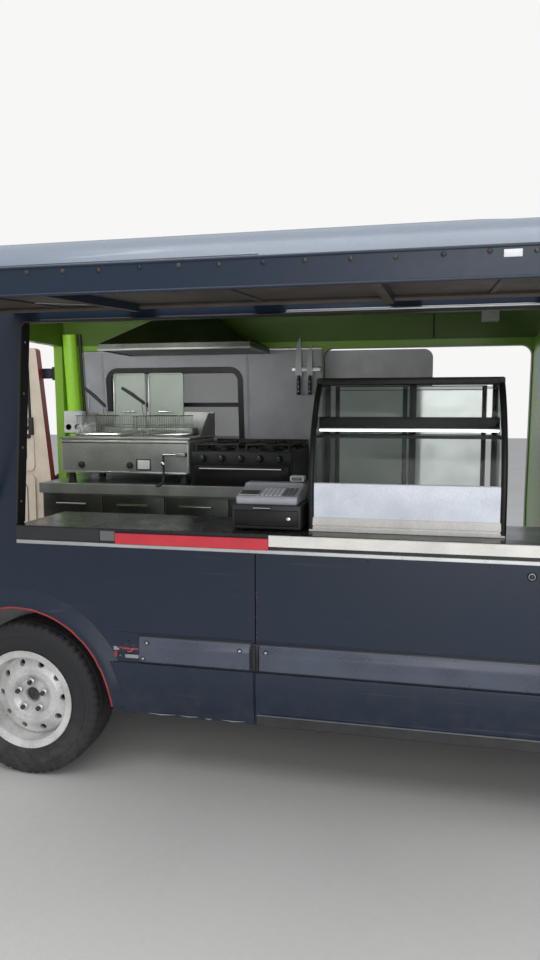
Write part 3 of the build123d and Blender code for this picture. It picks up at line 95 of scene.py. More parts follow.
def van_box(node):
    """Lowest and highest corner of a node in the van's own lengths."""
    low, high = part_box(node)
    return low - van_shift, high - van_shift


tyre_low, tyre_high = van_box("tyre_rear_right")
AXLE_Z = (tyre_low.z + tyre_high.z) / 2
WHEELBASE = sum(van_box("rim_front_right"), Vector()).x / 2
TRACK_HALF = -(tyre_low.y + tyre_high.y) / 2


def beside(place, x, y, z):
    """Point a little away from a place."""
    return place + Vector((x, y, z))


def side_y(z):
    """Half width of the body's skin at a height."""
    if z < HIP_Z:
        return SILL_HALF_WIDTH + (HALF_WIDTH - SILL_HALF_WIDTH) * (z - SILL_Z) / (HIP_Z - SILL_Z)
    return HALF_WIDTH - max(z - BELT_Z, 0.0) * TUMBLE


class FoodTruckColours(bpy.types.PropertyGroup):
    """Paint colours of the truck."""

    slate: FloatVectorProperty(
        name="Slate paint", description="Repaint of the whole body", subtype="COLOR",
        default=(0.011, 0.022, 0.043), min=0.0, max=1.0)
    # Light roof colour: partly sun-faded paint, partly a painted sky reflection on the roof's upward faces
    faded_and_sky_sheen: FloatVectorProperty(
        name="Faded roof", description="Chalky paint of the roof and its sides", subtype="COLOR",
        default=(0.21, 0.25, 0.31), min=0.0, max=1.0)
    old_red: FloatVectorProperty(
        name="Old red", description="First paint, seen on edges and chips", subtype="COLOR",
        default=(0.42, 0.035, 0.035), min=0.0, max=1.0)
    lime: FloatVectorProperty(
        name="Lime", description="Paint of the pillars and the ceiling inside", subtype="COLOR",
        default=(0.26, 0.52, 0.03), min=0.0, max=1.0)
    strip_red: FloatVectorProperty(
        name="Red strip", description="Red strip on the counter's edge", subtype="COLOR",
        default=(0.62, 0.035, 0.055), min=0.0, max=1.0)
    strip_white: FloatVectorProperty(
        name="White strip", description="White strip on the counter's edge", subtype="COLOR",
        default=(0.78, 0.76, 0.71), min=0.0, max=1.0)
    lining: FloatVectorProperty(
        name="Wall sheet", description="Grey washable sheet on the far wall", subtype="COLOR",
        default=(0.40, 0.40, 0.44), min=0.0, max=1.0)


class FoodTruckSizes(bpy.types.PropertyGroup):
    """Sizes of the view and of small trim."""

    lens: FloatProperty(
        name="Lens", description="Focal length of the camera", default=27.0, min=10.0, max=200.0,
        unit="CAMERA")
    eye_height: FloatProperty(
        name="Eye height", description="Camera's height over the ground", default=1.61, min=0.2,
        max=5.0, unit="LENGTH")
    eye_distance: FloatProperty(
        name="Eye distance", description="Camera's distance from the right side", default=2.72,
        min=0.5, max=20.0, unit="LENGTH")
    eye_along: FloatProperty(
        name="Eye along", description="Camera's place in front of the rear axle", default=1.71,
        min=-10.0, max=10.0, unit="LENGTH")
    arch_bulge: FloatProperty(
        name="Arch bulge", description="How far an arch lip stands out of the side", default=0.020,
        min=0.0, max=0.05, unit="LENGTH")
    tread_depth: FloatProperty(
        name="Tread depth", description="Depth of the tyres' grooves", default=0.007, min=0.001,
        max=0.02, unit="LENGTH")
    bolt_radius: FloatProperty(
        name="Bolt head", description="Radius of the flap's bolt heads", default=0.0052, min=0.002,
        max=0.02, unit="LENGTH")


def colours():
    """The scene's paint colours."""
    return bpy.context.scene.food_truck_colours


def sizes():
    """The scene's view and trim sizes."""
    return bpy.context.scene.food_truck_sizes


# Shader building
def add_node(tree, kind, inputs=None, **settings):
    """New node with its settings, and inputs given as values or as sockets to link."""
    node = tree.nodes.new(kind)
    for key, value in settings.items():
        setattr(node, key, value)
    for key, value in (inputs or {}).items():
        if isinstance(value, bpy.types.NodeSocket):
            tree.links.new(value, node.inputs[key])
        else:
            node.inputs[key].default_value = value
    return node


def math_node(tree, operation, first, second=0.0, third=0.0, clamp=False):
    """Result of one arithmetic node."""
    node = add_node(tree, "ShaderNodeMath", {0: first, 1: second, 2: third}, operation=operation)
    node.use_clamp = clamp
    return node.outputs[0]


def mixed(tree, share, first, second):
    """Colour between two colours."""
    node = add_node(tree, "ShaderNodeMix", {"Factor": share}, data_type="RGBA")
    for index, value in ((6, first), (7, second)):
        if isinstance(value, bpy.types.NodeSocket):
            tree.links.new(value, node.inputs[index])
        else:
            node.inputs[index].default_value = (*value[:3], 1.0)
    return node.outputs[2]


def stepped(tree, value, low, high):
    """Zero below low, one above high, smooth between."""
    node = add_node(tree, "ShaderNodeMapRange", {0: value, 1: low, 2: high}, clamp=True)
    node.interpolation_type = "SMOOTHSTEP"
    return node.outputs[0]


def effect_group(name, inputs, outputs, build):
    """Shader node group with named sockets, made once."""
    group = bpy.data.node_groups.get(name)
    if group:
        return group
    group = bpy.data.node_groups.new(name, "ShaderNodeTree")
    for socket_name, value in inputs.items():
        kind = "NodeSocketColor" if isinstance(value, tuple) else "NodeSocketFloat"
        socket = group.interface.new_socket(name=socket_name, in_out="INPUT", socket_type=kind)
        socket.default_value = value
    for socket_name, kind in outputs.items():
        group.interface.new_socket(name=socket_name, in_out="OUTPUT", socket_type=kind)
    entry = add_node(group, "NodeGroupInput").outputs
    leave = add_node(group, "NodeGroupOutput").inputs
    for socket_name, result in build(group, entry).items():
        group.links.new(result, leave[socket_name])
    return group


def build_mottle(tree, entry):
    """Cloudy change of a colour, and the cloud itself."""
    place = add_node(tree, "ShaderNodeTexCoord").outputs["Object"]
    wide = add_node(tree, "ShaderNodeTexNoise", {"Vector": place, "Scale": entry["Scale"], "Detail": 5.0})
    fine_scale = math_node(tree, "MULTIPLY", entry["Scale"], 23.0)
    fine = add_node(tree, "ShaderNodeTexNoise", {"Vector": place, "Scale": fine_scale, "Detail": 2.0})
    both = math_node(tree, "MULTIPLY_ADD", fine.outputs["Fac"], 0.4, wide.outputs["Fac"])
    cloud = stepped(tree, both, 0.45, 0.95)
    share = math_node(tree, "MULTIPLY", cloud, entry["Amount"])
    return {"Color": mixed(tree, share, entry["Color"], entry["Other"]), "Cloud": cloud}


def build_dust(tree, entry):
    """Dust that settles on faces that look up and near the road."""
    coordinates = add_node(tree, "ShaderNodeTexCoord")
    normal_z = add_node(tree, "ShaderNodeSeparateXYZ", {0: coordinates.outputs["Normal"]}).outputs[2]
    height = add_node(tree, "ShaderNodeSeparateXYZ", {0: coordinates.outputs["Object"]}).outputs[2]
    upward = stepped(tree, normal_z, 0.3, 1.0)
    low = stepped(tree, height, entry["Height"], 0.0)
    grit = add_node(tree, "ShaderNodeTexNoise",
                    {"Vector": coordinates.outputs["Object"], "Scale": 14.0, "Detail": 8.0,
                     "Roughness": 0.7})
    patches = stepped(tree, grit.outputs["Fac"], 0.35, 0.75)
    laid = math_node(tree, "MAXIMUM", upward, low)
    mask = math_node(tree, "MULTIPLY", laid, patches)
    mask = math_node(tree, "MULTIPLY", mask, entry["Amount"], clamp=True)
    return {"Mask": mask, "Color": mixed(tree, mask, entry["Color"], entry["Dust"])}


def build_scratches(tree, entry):
    """Fine lines in mixed directions, gathered in patches."""
    place = add_node(tree, "ShaderNodeTexCoord").outputs["Object"]
    lines = None
    for turn, squeeze in ((0.2, 60.0), (1.1, 45.0)):
        mapped = add_node(tree, "ShaderNodeMapping", {0: place, 2: (turn, turn * 2, turn)})
        mapped.inputs[3].default_value = (1.2, squeeze, squeeze)
        strand = add_node(tree, "ShaderNodeTexNoise",
                          {"Vector": mapped.outputs[0], "Scale": entry["Scale"], "Detail": 1.0})
        thin = stepped(tree, strand.outputs["Fac"], 0.69, 0.74)
        lines = thin if lines is None else math_node(tree, "MAXIMUM", lines, thin)
    patch = add_node(tree, "ShaderNodeTexNoise", {"Vector": place, "Scale": 1.7, "Detail": 3.0})
    where = stepped(tree, patch.outputs["Fac"], 0.45, 0.7)
    mask = math_node(tree, "MULTIPLY", lines, where)
    return {"Mask": math_node(tree, "MULTIPLY", mask, entry["Amount"], clamp=True)}


def build_grain(tree, entry):
    """Height of a moulded or hammered grain."""
    place = add_node(tree, "ShaderNodeTexCoord").outputs["Object"]
    cells = add_node(tree, "ShaderNodeTexVoronoi", {"Vector": place, "Scale": entry["Scale"]})
    soft = add_node(tree, "ShaderNodeTexNoise", {"Vector": place, "Scale": entry["Scale"], "Detail": 3.0})
    height = math_node(tree, "MULTIPLY_ADD", cells.outputs["Distance"], 0.6, soft.outputs["Fac"])
    return {"Height": math_node(tree, "MULTIPLY", height, entry["Amount"])}


def build_brushed(tree, entry):
    """Long fine lines of a brushed sheet, running along the van."""
    place = add_node(tree, "ShaderNodeTexCoord").outputs["Object"]
    mapped = add_node(tree, "ShaderNodeMapping", {0: place})
    mapped.inputs[3].default_value = (4.0, 380.0, 380.0)
    lines = add_node(tree, "ShaderNodeTexNoise", {"Vector": mapped.outputs[0], "Scale": 1.0, "Detail": 2.0})
    smear = add_node(tree, "ShaderNodeTexNoise", {"Vector": place, "Scale": 5.0, "Detail": 4.0})
    height = math_node(tree, "MULTIPLY", lines.outputs["Fac"], entry["Amount"])
    return {"Height": height, "Smear": smear.outputs["Fac"]}


def build_weave(tree, entry):
    """Crossed threads of a seat cloth."""
    place = add_node(tree, "ShaderNodeTexCoord").outputs["Object"]
    waves = []
    for direction in ("X", "Y"):
        wave = add_node(tree, "ShaderNodeTexWave", {"Vector": place, "Scale": entry["Scale"]})
        wave.bands_direction = direction
        waves.append(wave.outputs["Fac"])
    height = math_node(tree, "MULTIPLY", math_node(tree, "MAXIMUM", *waves), entry["Amount"])
    return {"Height": height, "Thread": waves[0]}


def build_chips(tree, entry):
    """Small flakes where paint has come off."""
    place = add_node(tree, "ShaderNodeTexCoord").outputs["Object"]
    spots = add_node(tree, "ShaderNodeTexNoise",
                     {"Vector": place, "Scale": entry["Scale"], "Detail": 6.0, "Roughness": 0.65})
    edge = math_node(tree, "SUBTRACT", 1.0, entry["Amount"])
    wider = math_node(tree, "ADD", edge, 0.02)
    return {"Mask": stepped(tree, spots.outputs["Fac"], edge, wider)}


COLOR_OUT = "NodeSocketColor"
FLOAT_OUT = "NodeSocketFloat"
GREY = (0.5, 0.5, 0.5, 1.0)
EFFECTS = {
    "Mottle": ({"Color": GREY, "Other": GREY, "Amount": 0.5, "Scale": 2.0},
               {"Color": COLOR_OUT, "Cloud": FLOAT_OUT}, build_mottle),
    "Road Dust": ({"Color": GREY, "Dust": (0.35, 0.31, 0.26, 1.0), "Amount": 0.5, "Height": 0.6},
                  {"Mask": FLOAT_OUT, "Color": COLOR_OUT}, build_dust),
    "Scratches": ({"Amount": 0.5, "Scale": 1.0}, {"Mask": FLOAT_OUT}, build_scratches),
    "Grain": ({"Amount": 1.0, "Scale": 900.0}, {"Height": FLOAT_OUT}, build_grain),
    "Brushed": ({"Amount": 1.0}, {"Height": FLOAT_OUT, "Smear": FLOAT_OUT}, build_brushed),
    "Weave": ({"Amount": 1.0, "Scale": 260.0}, {"Height": FLOAT_OUT, "Thread": FLOAT_OUT}, build_weave),
    "Paint Chips": ({"Amount": 0.3, "Scale": 30.0}, {"Mask": FLOAT_OUT}, build_chips),
}


def effect(tree, name, **inputs):
    """One of the shared effects, placed in a material with its own values."""
    node = add_node(tree, "ShaderNodeGroup")
    node.node_tree = effect_group(name, *EFFECTS[name])
    for key, value in inputs.items():
        if isinstance(value, bpy.types.NodeSocket):
            tree.links.new(value, node.inputs[key])
        elif isinstance(value, tuple) or hasattr(value, "__len__"):
            node.inputs[key].default_value = (*value[:3], 1.0)
        else:
            node.inputs[key].default_value = value
    return node.outputs


def start_finish(name, **values):
    """Empty material with its principled shader's plain values set."""
    material = bpy.data.materials.new(name)
    material.use_nodes = True
    shader = material.node_tree.nodes["Principled BSDF"]
    for key, value in values.items():
        shader.inputs[key.replace("_", " ")].default_value = value
    return material, material.node_tree, shader


def add_bump(tree, shader, height, distance, strength=1.0):
    """Feed a height and softened edges to the shader's normal."""
    soft_edge = add_node(tree, "ShaderNodeBevel", {"Radius": EDGE_SOFTNESS}, samples=3).outputs[0]
    bump = add_node(tree, "ShaderNodeBump",
                    {"Height": height, "Strength": strength, "Distance": distance, "Normal": soft_edge})
    tree.links.new(bump.outputs[0], shader.inputs["Normal"])


def ranged(tree, value, low, high):
    """A mask spread between two values."""
    node = add_node(tree, "ShaderNodeMapRange", {0: value, 3: low, 4: high})
    return node.outputs[0]


def paint_finish(name, colour, other, rough=0.38, dust=0.35, chips=0.0, coat=0.25, under=None, shine=0.5):
    """Rolled-on vehicle paint with clouds, scratches, road dust and chips to the old coat."""
    material, tree, shader = start_finish(name, Coat_Weight=coat, Coat_Roughness=0.22,
                                          Specular_IOR_Level=shine)
    body = effect(tree, "Mottle", Color=colour, Other=other, Amount=0.55, Scale=1.6)
    worn = body["Color"]
    if chips:
        flakes = effect(tree, "Paint Chips", Amount=chips, Scale=38.0)
        worn = mixed(tree, flakes["Mask"], worn, under)
    marks = effect(tree, "Scratches", Amount=0.35)
    lighter = tuple(min(1.0, channel * 1.9 + 0.05) for channel in colour[:3])
    worn = mixed(tree, marks["Mask"], worn, lighter)
    dusty = effect(tree, "Road Dust", Color=worn, Amount=dust, Height=0.75)
    tree.links.new(dusty["Color"], shader.inputs["Base Color"])
    base = ranged(tree, body["Cloud"], rough - 0.05, rough + 0.1)
    total = math_node(tree, "MULTIPLY_ADD", dusty["Mask"], 0.35, base, clamp=True)
    tree.links.new(total, shader.inputs["Roughness"])
    peel = effect(tree, "Grain", Amount=1.0, Scale=220.0)
    add_bump(tree, shader, peel["Height"], 0.0002, 0.5)
    return material


def plastic_finish(name, colour, rough=0.5, grain=900.0, dust=0.2, depth=0.0002):
    """Moulded plastic or rubber with a fine grain and a little dust."""
    material, tree, shader = start_finish(name)
    other = tuple(channel * 1.5 + 0.01 for channel in colour[:3])
    body = effect(tree, "Mottle", Color=colour, Other=other, Amount=0.5, Scale=6.0)
    dusty = effect(tree, "Road Dust", Color=body["Color"], Amount=dust, Height=0.5)
    tree.links.new(dusty["Color"], shader.inputs["Base Color"])
    tree.links.new(ranged(tree, body["Cloud"], rough - 0.08, rough + 0.12), shader.inputs["Roughness"])
    skin = effect(tree, "Grain", Amount=1.0, Scale=grain)
    add_bump(tree, shader, skin["Height"], depth, 0.6)
    return material


def metal_finish(name, colour, rough=0.3, brushed=True, dirt=0.3, metallic=1.0):
    """Bare or plated metal with brushing, smears and grime."""
    material, tree, shader = start_finish(name, Metallic=metallic)
    grime = tuple(channel * 0.35 for channel in colour[:3])
    body = effect(tree, "Mottle", Color=colour, Other=grime, Amount=dirt, Scale=7.0)
    tree.links.new(body["Color"], shader.inputs["Base Color"])
    lines = effect(tree, "Brushed", Amount=1.0)
    tree.links.new(ranged(tree, lines["Smear"], rough - 0.08, rough + 0.2), shader.inputs["Roughness"])
    if brushed:
        add_bump(tree, shader, lines["Height"], 0.0001, 0.5)
    else:
        skin = effect(tree, "Grain", Amount=1.0, Scale=400.0)
        add_bump(tree, shader, skin["Height"], 0.0002, 0.3)
    return material


def glass_finish(name, colour, rough=0.02, film=0.1):
    """Glass pane with a thin film of dust and smears."""
    material, tree, shader = start_finish(
        name, Base_Color=(*colour, 1.0), Transmission_Weight=1.0, IOR=1.2, Metallic=0.0)
    smears = effect(tree, "Mottle", Color=(0.0,) * 3, Other=(1.0,) * 3, Amount=1.0, Scale=9.0)
    tree.links.new(ranged(tree, smears["Cloud"], rough, rough + film), shader.inputs["Roughness"])
    return material


def cloth_finish(name, colour, scale=260.0, rough=0.85):
    """Woven seat cloth."""
    material, tree, shader = start_finish(name, Sheen_Weight=0.35, Sheen_Roughness=0.5)
    threads = effect(tree, "Weave", Amount=1.0, Scale=scale)
    darker = tuple(channel * 0.55 for channel in colour[:3])
    worn = effect(tree, "Mottle", Color=mixed(tree, threads["Thread"], darker, colour),
                  Other=tuple(channel * 1.4 for channel in colour[:3]), Amount=0.4, Scale=5.0)
    tree.links.new(worn["Color"], shader.inputs["Base Color"])
    tree.links.new(ranged(tree, worn["Cloud"], rough - 0.1, rough + 0.1), shader.inputs["Roughness"])
    add_bump(tree, shader, threads["Height"], 0.0006, 0.7)
    return material


def glowing_finish(name, colour, strength):
    """Lit strip."""
    material, tree, shader = start_finish(name, Base_Color=(*colour, 1.0), Emission_Strength=strength)
    body = effect(tree, "Mottle", Color=colour, Other=(1.0, 1.0, 1.0), Amount=0.3, Scale=20.0)
    tree.links.new(body["Color"], shader.inputs["Emission Color"])
    return material


def tint(key, share=1.0):
    """One of the truck's own colours, made darker or lighter."""
    return tuple(channel * share for channel in getattr(colours(), key))


def finish_recipes():
    """Values of every finish on the truck, by the function that makes it."""
    return {
        paint_finish: {
            "slate_paint": dict(colour=tint("slate"), other=tint("slate", 0.78), rough=0.32, dust=0.10,
                                chips=0.262, coat=0.08, under=tint("old_red"), shine=0.4),
            # Roof paint: faded colour plus a painted sky reflection
            "roof_paint": dict(colour=tint("faded_and_sky_sheen"), other=tint("faded_and_sky_sheen", 0.82), rough=0.3, dust=0.15,
                               coat=0.5),
            "red_paint": dict(colour=tint("old_red"), other=tint("old_red", 0.7), rough=0.35, dust=0.1),
            "lime_paint": dict(colour=tint("lime"), other=tint("lime", 0.8), rough=0.4, dust=0.05,
                               coat=0.3),
            # Pillar lime nearly twice as bright: painted light from the open rear doorway
            "lime_cover": dict(colour=tint("lime", 1.9), other=tint("lime", 1.6), rough=0.4, dust=0.0,
                               coat=0.2),
            # Ceiling lime darkened to about a third: painted shade where little light reaches the ceiling
            "lime_ceiling": dict(colour=tint("lime", 0.36), other=tint("lime", 0.3), rough=0.5, dust=0.0,
                                 coat=0.1),
            "black_paint": dict(colour=(0.010,) * 3, other=(0.016,) * 3, rough=0.4, dust=0.06, coat=0.05,
                                shine=0.3),
            "chassis_black": dict(colour=(0.02,) * 3, other=(0.04, 0.032, 0.026), rough=0.7, dust=0.8,
                                  chips=0.36, under=(0.12, 0.05, 0.025)),
        },
        plastic_finish: {
            "moulding_plastic": dict(colour=(0.062, 0.074, 0.106), rough=0.3, grain=700.0, dust=0.05),
            "black_plastic": dict(colour=(0.02, 0.021, 0.023)),
            "grey_plastic": dict(colour=(0.14, 0.145, 0.155), rough=0.55),
            "pale_plastic": dict(colour=(0.62, 0.63, 0.64), rough=0.4, grain=1500.0, dust=0.05),
            "till_plastic": dict(colour=(0.42, 0.44, 0.48), rough=0.4, grain=1500.0, dust=0.05),
            "rubber": dict(colour=(0.012, 0.012, 0.013), rough=0.45, grain=500.0, dust=0.15),
            "tyre_rubber": dict(colour=(0.015, 0.016, 0.019), rough=0.7, grain=300.0, dust=0.14,
                                depth=0.0005),
            "laminate": dict(colour=(0.012, 0.012, 0.014), rough=0.22, grain=2500.0, dust=0.1,
                             depth=0.00005),
            "red_strip": dict(colour=tint("strip_red"), rough=0.35, grain=1800.0, dust=0.1),
            "white_strip": dict(colour=tint("strip_white"), rough=0.35, grain=1800.0, dust=0.1),
            "wall_sheet": dict(colour=tint("lining"), rough=0.35, grain=120.0, dust=0.05, depth=0.0001),
            "door_sheet": dict(colour=(0.66, 0.66, 0.69), rough=0.4, grain=120.0, dust=0.02, depth=0.0001),
            "cream_lining": dict(colour=(0.72, 0.62, 0.50), grain=600.0, dust=0.1),
            "case_panel": dict(colour=(0.80, 0.85, 0.93), rough=0.2, grain=2500.0, dust=0.0, depth=0.00005),
            "red_lens": dict(colour=(0.50, 0.012, 0.014), rough=0.15, grain=90.0, dust=0.1),
            "amber_lens": dict(colour=(0.80, 0.27, 0.02), rough=0.15, grain=90.0, dust=0.1),
            "filler_grey": dict(colour=(0.30, 0.31, 0.33), rough=0.7, grain=300.0),
            "cooking_oil": dict(colour=(0.10, 0.045, 0.012), rough=0.08, grain=30.0, dust=0.0),
            "display": dict(colour=(0.10, 0.13, 0.10), rough=0.15, grain=2500.0, dust=0.0, depth=0.00002),
        },
        metal_finish: {
            "rim_silver": dict(colour=(0.84, 0.84, 0.82), rough=0.34, brushed=False, dirt=0.62,
                               metallic=0.3),
            "stainless": dict(colour=(0.42, 0.44, 0.41), dirt=0.38, metallic=0.55),
            # Very dark steel; on the cupboard doors its darkness is also painted shade under the worktop
            "smoked_steel": dict(colour=(0.10, 0.105, 0.095), rough=0.35, dirt=0.6),
            "lid_steel": dict(colour=(0.50, 0.56, 0.50), rough=0.4, dirt=0.12, metallic=0.2),
            "aluminium": dict(colour=(0.66, 0.67, 0.68), rough=0.32, dirt=0.25),
            "chrome": dict(colour=(0.80, 0.80, 0.80), rough=0.12, brushed=False, dirt=0.1),
            "cast_iron": dict(colour=(0.10, 0.095, 0.09), rough=0.6, brushed=False, dirt=0.6, metallic=0.6),
            "rust_steel": dict(colour=(0.22, 0.13, 0.08), rough=0.65, brushed=False, dirt=0.6,
                               metallic=0.4),
            "flap_inside": dict(colour=(0.13, 0.105, 0.09), rough=0.5, brushed=False, dirt=0.5,
                                metallic=0.3),
            "floor_plate": dict(colour=(0.42, 0.42, 0.42), rough=0.45, dirt=0.5),
            "knife_steel": dict(colour=(0.50, 0.51, 0.52), metallic=0.8),
        },
        glass_finish: {
            "clear_glass": dict(colour=(0.93, 0.97, 0.95)),
            "dark_glass": dict(colour=(0.10, 0.12, 0.12)),
        },
        cloth_finish: {
            "seat_cloth": dict(colour=(0.075, 0.08, 0.095)),
            "seat_edge": dict(colour=(0.03, 0.032, 0.036), scale=340.0),
        },
        glowing_finish: {"lit_strip": dict(colour=(0.95, 0.97, 1.0), strength=3.0)},
    }


def finish(name):
    """Finish of the truck by its name, made when first asked for."""
    if name in bpy.data.materials:
        return bpy.data.materials[name]
    for make, recipes in finish_recipes().items():
        if name in recipes:
            return make(name, **recipes[name])
    raise KeyError(f"no finish is called {name}")


# Mesh building
class Form:
    """A mesh made of simple shapes in the van's own lengths, with a finish on each."""

    LEAST_RADIUS = 0.0002

    def __init__(self, turn=None):
        self.turn = turn
        self.points = []
        self.faces = []
        self.marks = []
        self.finishes = []

    def mark(self, finish_name):
        """Number of a finish in this mesh."""
        if finish_name not in self.finishes:
            self.finishes.append(finish_name)
        return self.finishes.index(finish_name)

    def take(self, points, faces, finish_name, turn=None):
        """Add faces given as lists of point numbers, turned as given or as the whole form is."""
        turn = turn or self.turn
        start = len(self.points)
        self.points += [turn @ Vector(point) if turn else Vector(point) for point in points]
        self.faces += [[start + index for index in face] for face in faces]
        self.marks += [self.mark(finish_name)] * len(faces)

    def block(self, low, high, finish_name, soft=0.003, turn=None, segments=2):
        """Box between two corners with rounded edges."""
        low, high = Vector(map(min, low, high)), Vector(map(max, low, high))
        scratch = bmesh.new()
        bmesh.ops.create_cube(scratch, size=1.0)
        size = high - low
        for vert in scratch.verts:
            vert.co = Vector(low[i] + (vert.co[i] + 0.5) * size[i] for i in range(3))
        soft = min(soft, 0.4 * min(size))
        bmesh.ops.bevel(scratch, geom=scratch.edges[:], offset=soft, segments=segments,
                        profile=0.5, affect="EDGES")
        scratch.verts.index_update()
        self.take([vert.co.copy() for vert in scratch.verts],
                  [[vert.index for vert in face.verts] for face in scratch.faces], finish_name, turn)
        scratch.free()

    def block_at(self, place, low, high, finish_name, **settings):
        """Box whose two corners are given from a place."""
        self.block(place + Vector(low), place + Vector(high), finish_name, **settings)

    def loft(self, rings, finish_name, closed=True, caps=True, turn=None, around=False):
        """Skin through rings of equally many points; around joins the last ring to the first."""
        count = len(rings[0])
        faces = []
        total = len(rings) * count
        last = count if closed else count - 1
        for ring in range(len(rings) - (0 if around else 1)):
            for index in range(last):
                after = (index + 1) % count
                low = ring * count
                high = (low + count) % total
                faces.append([low + index, low + after, high + after, high + index])
        if caps and closed and not around:
            faces.append(list(range(count))[::-1])
            faces.append([len(rings) * count - count + index for index in range(count)])
        self.take([point for ring in rings for point in ring], faces, finish_name, turn)

    def tube(self, path, radius, finish_name, segments=10, turn=None):
        """Round bar along points; radius is one value or one for each point."""
        path = [Vector(point) for point in path]
        radii = radius if isinstance(radius, (list, tuple)) else [radius] * len(path)
        side = (path[1] - path[0]).orthogonal().normalized()
        turns = [math.tau * step / segments for step in range(segments)]
        rings = []
        for index, point in enumerate(path):
            before = path[max(index - 1, 0)]
            after = path[min(index + 1, len(path) - 1)]
            way = (after - before).normalized()
            side = (side - way * side.dot(way)).normalized()
            across = way.cross(side)
            rings.append([point + (side * math.cos(turned) + across * math.sin(turned)) * radii[index]
                          for turned in turns])
        self.loft(rings, finish_name, turn=turn)

    def lathe(self, profile, centre, axis, finish_name, segments=32, turn=None):
        """Turned shape from (distance along the axis, radius) pairs."""
        axis = Vector(axis).normalized()
        side = axis.orthogonal().normalized()
        across = axis.cross(side)
        turns = [math.tau * step / segments for step in range(segments)]
        rings = []
        for along, radius in profile:
            middle = Vector(centre) + axis * along
            reach = max(radius, self.LEAST_RADIUS)
            rings.append([middle + (side * math.cos(turned) + across * math.sin(turned)) * reach
                          for turned in turns])
        self.loft(rings, finish_name, turn=turn)

    def bar(self, section, start, end, finish_name, turn=None):
        """Straight bar whose section is (y, z) points, from x start to x end."""
        rings = [[(x, y, z) for y, z in section] for x in (start, end)]
        self.loft(rings, finish_name, turn=turn)

    def plate(self, outline, low, high, axis, finish_name, turn=None):
        """Flat plate of an outline, between two distances along axis 0, 1 or 2."""
        rings = []
        for distance in (low, high):
            ring = []
            for first, second in outline:
                point = [first, second]
                point.insert(axis, distance)
                ring.append(point)
            rings.append(ring)
        self.loft(rings, finish_name, turn=turn)

    def bolt(self, place, out, finish_name, radius=0.007, height=0.004, turn=None):
        """Domed bolt head on its washer."""
        profile = [(0.0, radius * 1.35), (height * 0.35, radius * 1.35), (height * 0.4, radius),
                   (height * 0.8, radius * 0.85), (height, radius * 0.4), (height, 0.0)]
        self.lathe(profile, place, out, finish_name, segments=14, turn=turn)

    def pull(self, x, y, z, radius):
        """Plated bar bent like a staple, its feet at the first y."""
        self.tube([(x[0], y[0], z), (x[0], y[1], z), (x[1], y[1], z), (x[1], y[0], z)], radius, "chrome")

    def piece(self, name, body, slot, replaces=(), angle=35.0):
        """Turn the shapes into one object that rides on a body."""
        mesh = bpy.data.meshes.new(name)
        mesh.from_pydata([point + van_shift for point in self.points], [], self.faces)
        mesh.polygons.foreach_set("material_index", self.marks)
        scratch = bmesh.new()
        scratch.from_mesh(mesh)
        bmesh.ops.recalc_face_normals(scratch, faces=scratch.faces[:])
        scratch.to_mesh(mesh)
        scratch.free()
        for finish_name in self.finishes:
            mesh.materials.append(finish(finish_name))
        mesh.shade_smooth()
        mesh.set_sharp_from_angle(angle=math.radians(angle))
        made = bpy.data.objects.new(name, mesh)
        bpy.context.scene.collection.objects.link(made)
        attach(made, body)
        if replaces:
            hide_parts(*replaces)
        return made


def rounded_outline(low, high, radius, steps=6):
    """Rectangle with round corners, as a list of points."""
    corners = [(high[0] - radius, high[1] - radius, 0), (low[0] + radius, high[1] - radius, 90),
               (low[0] + radius, low[1] + radius, 180), (high[0] - radius, low[1] + radius, 270)]
    points = []
    for x, y, turn in corners:
        for step in range(steps + 1):
            angle = math.radians(turn + 90.0 * step / steps)
            points.append((x + radius * math.cos(angle), y + radius * math.sin(angle)))
    return points


def circle_path(centre, radius, steps):
    """Closed circle of (x, z) points round a centre."""
    turns = [math.tau * step / steps for step in range(steps + 1)]
    return [(centre[0] + radius * math.cos(turn), centre[1] + radius * math.sin(turn)) for turn in turns]


def closed(points):
    """Points with the first one again at the end."""
    return points + points[:1]


def evenly(start, end, steps):
    """Values from start to end in equal steps."""
    return [start + (end - start) * step / steps for step in range(steps + 1)]


def dress_node(node, rule, *finish_names):
    """Give a frame node its finishes; rule(centre, normal) picks one for each face."""
    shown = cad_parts[node]
    shown.data.materials.clear()
    for finish_name in finish_names:
        shown.data.materials.append(finish(finish_name))
    if rule is None:
        return
    for face in shown.data.polygons:
        face.material_index = rule(face.center - van_shift, face.normal)


def outward(centre):
    """Direction out of the load space or cab at a point of the body."""
    heart = Vector((min(max(centre.x, -0.4), 2.7), 0.0, min(max(centre.z, 0.8), 1.9)))
    return (centre - heart).normalized()


def inside_rule(centre, normal):
    """0 outside, 1 inside, 2 on the edges of an opening."""
    facing = normal.dot(outward(centre))
    if facing < -0.35:
        return 1
    if facing > 0.35:
        return 0
    return 2


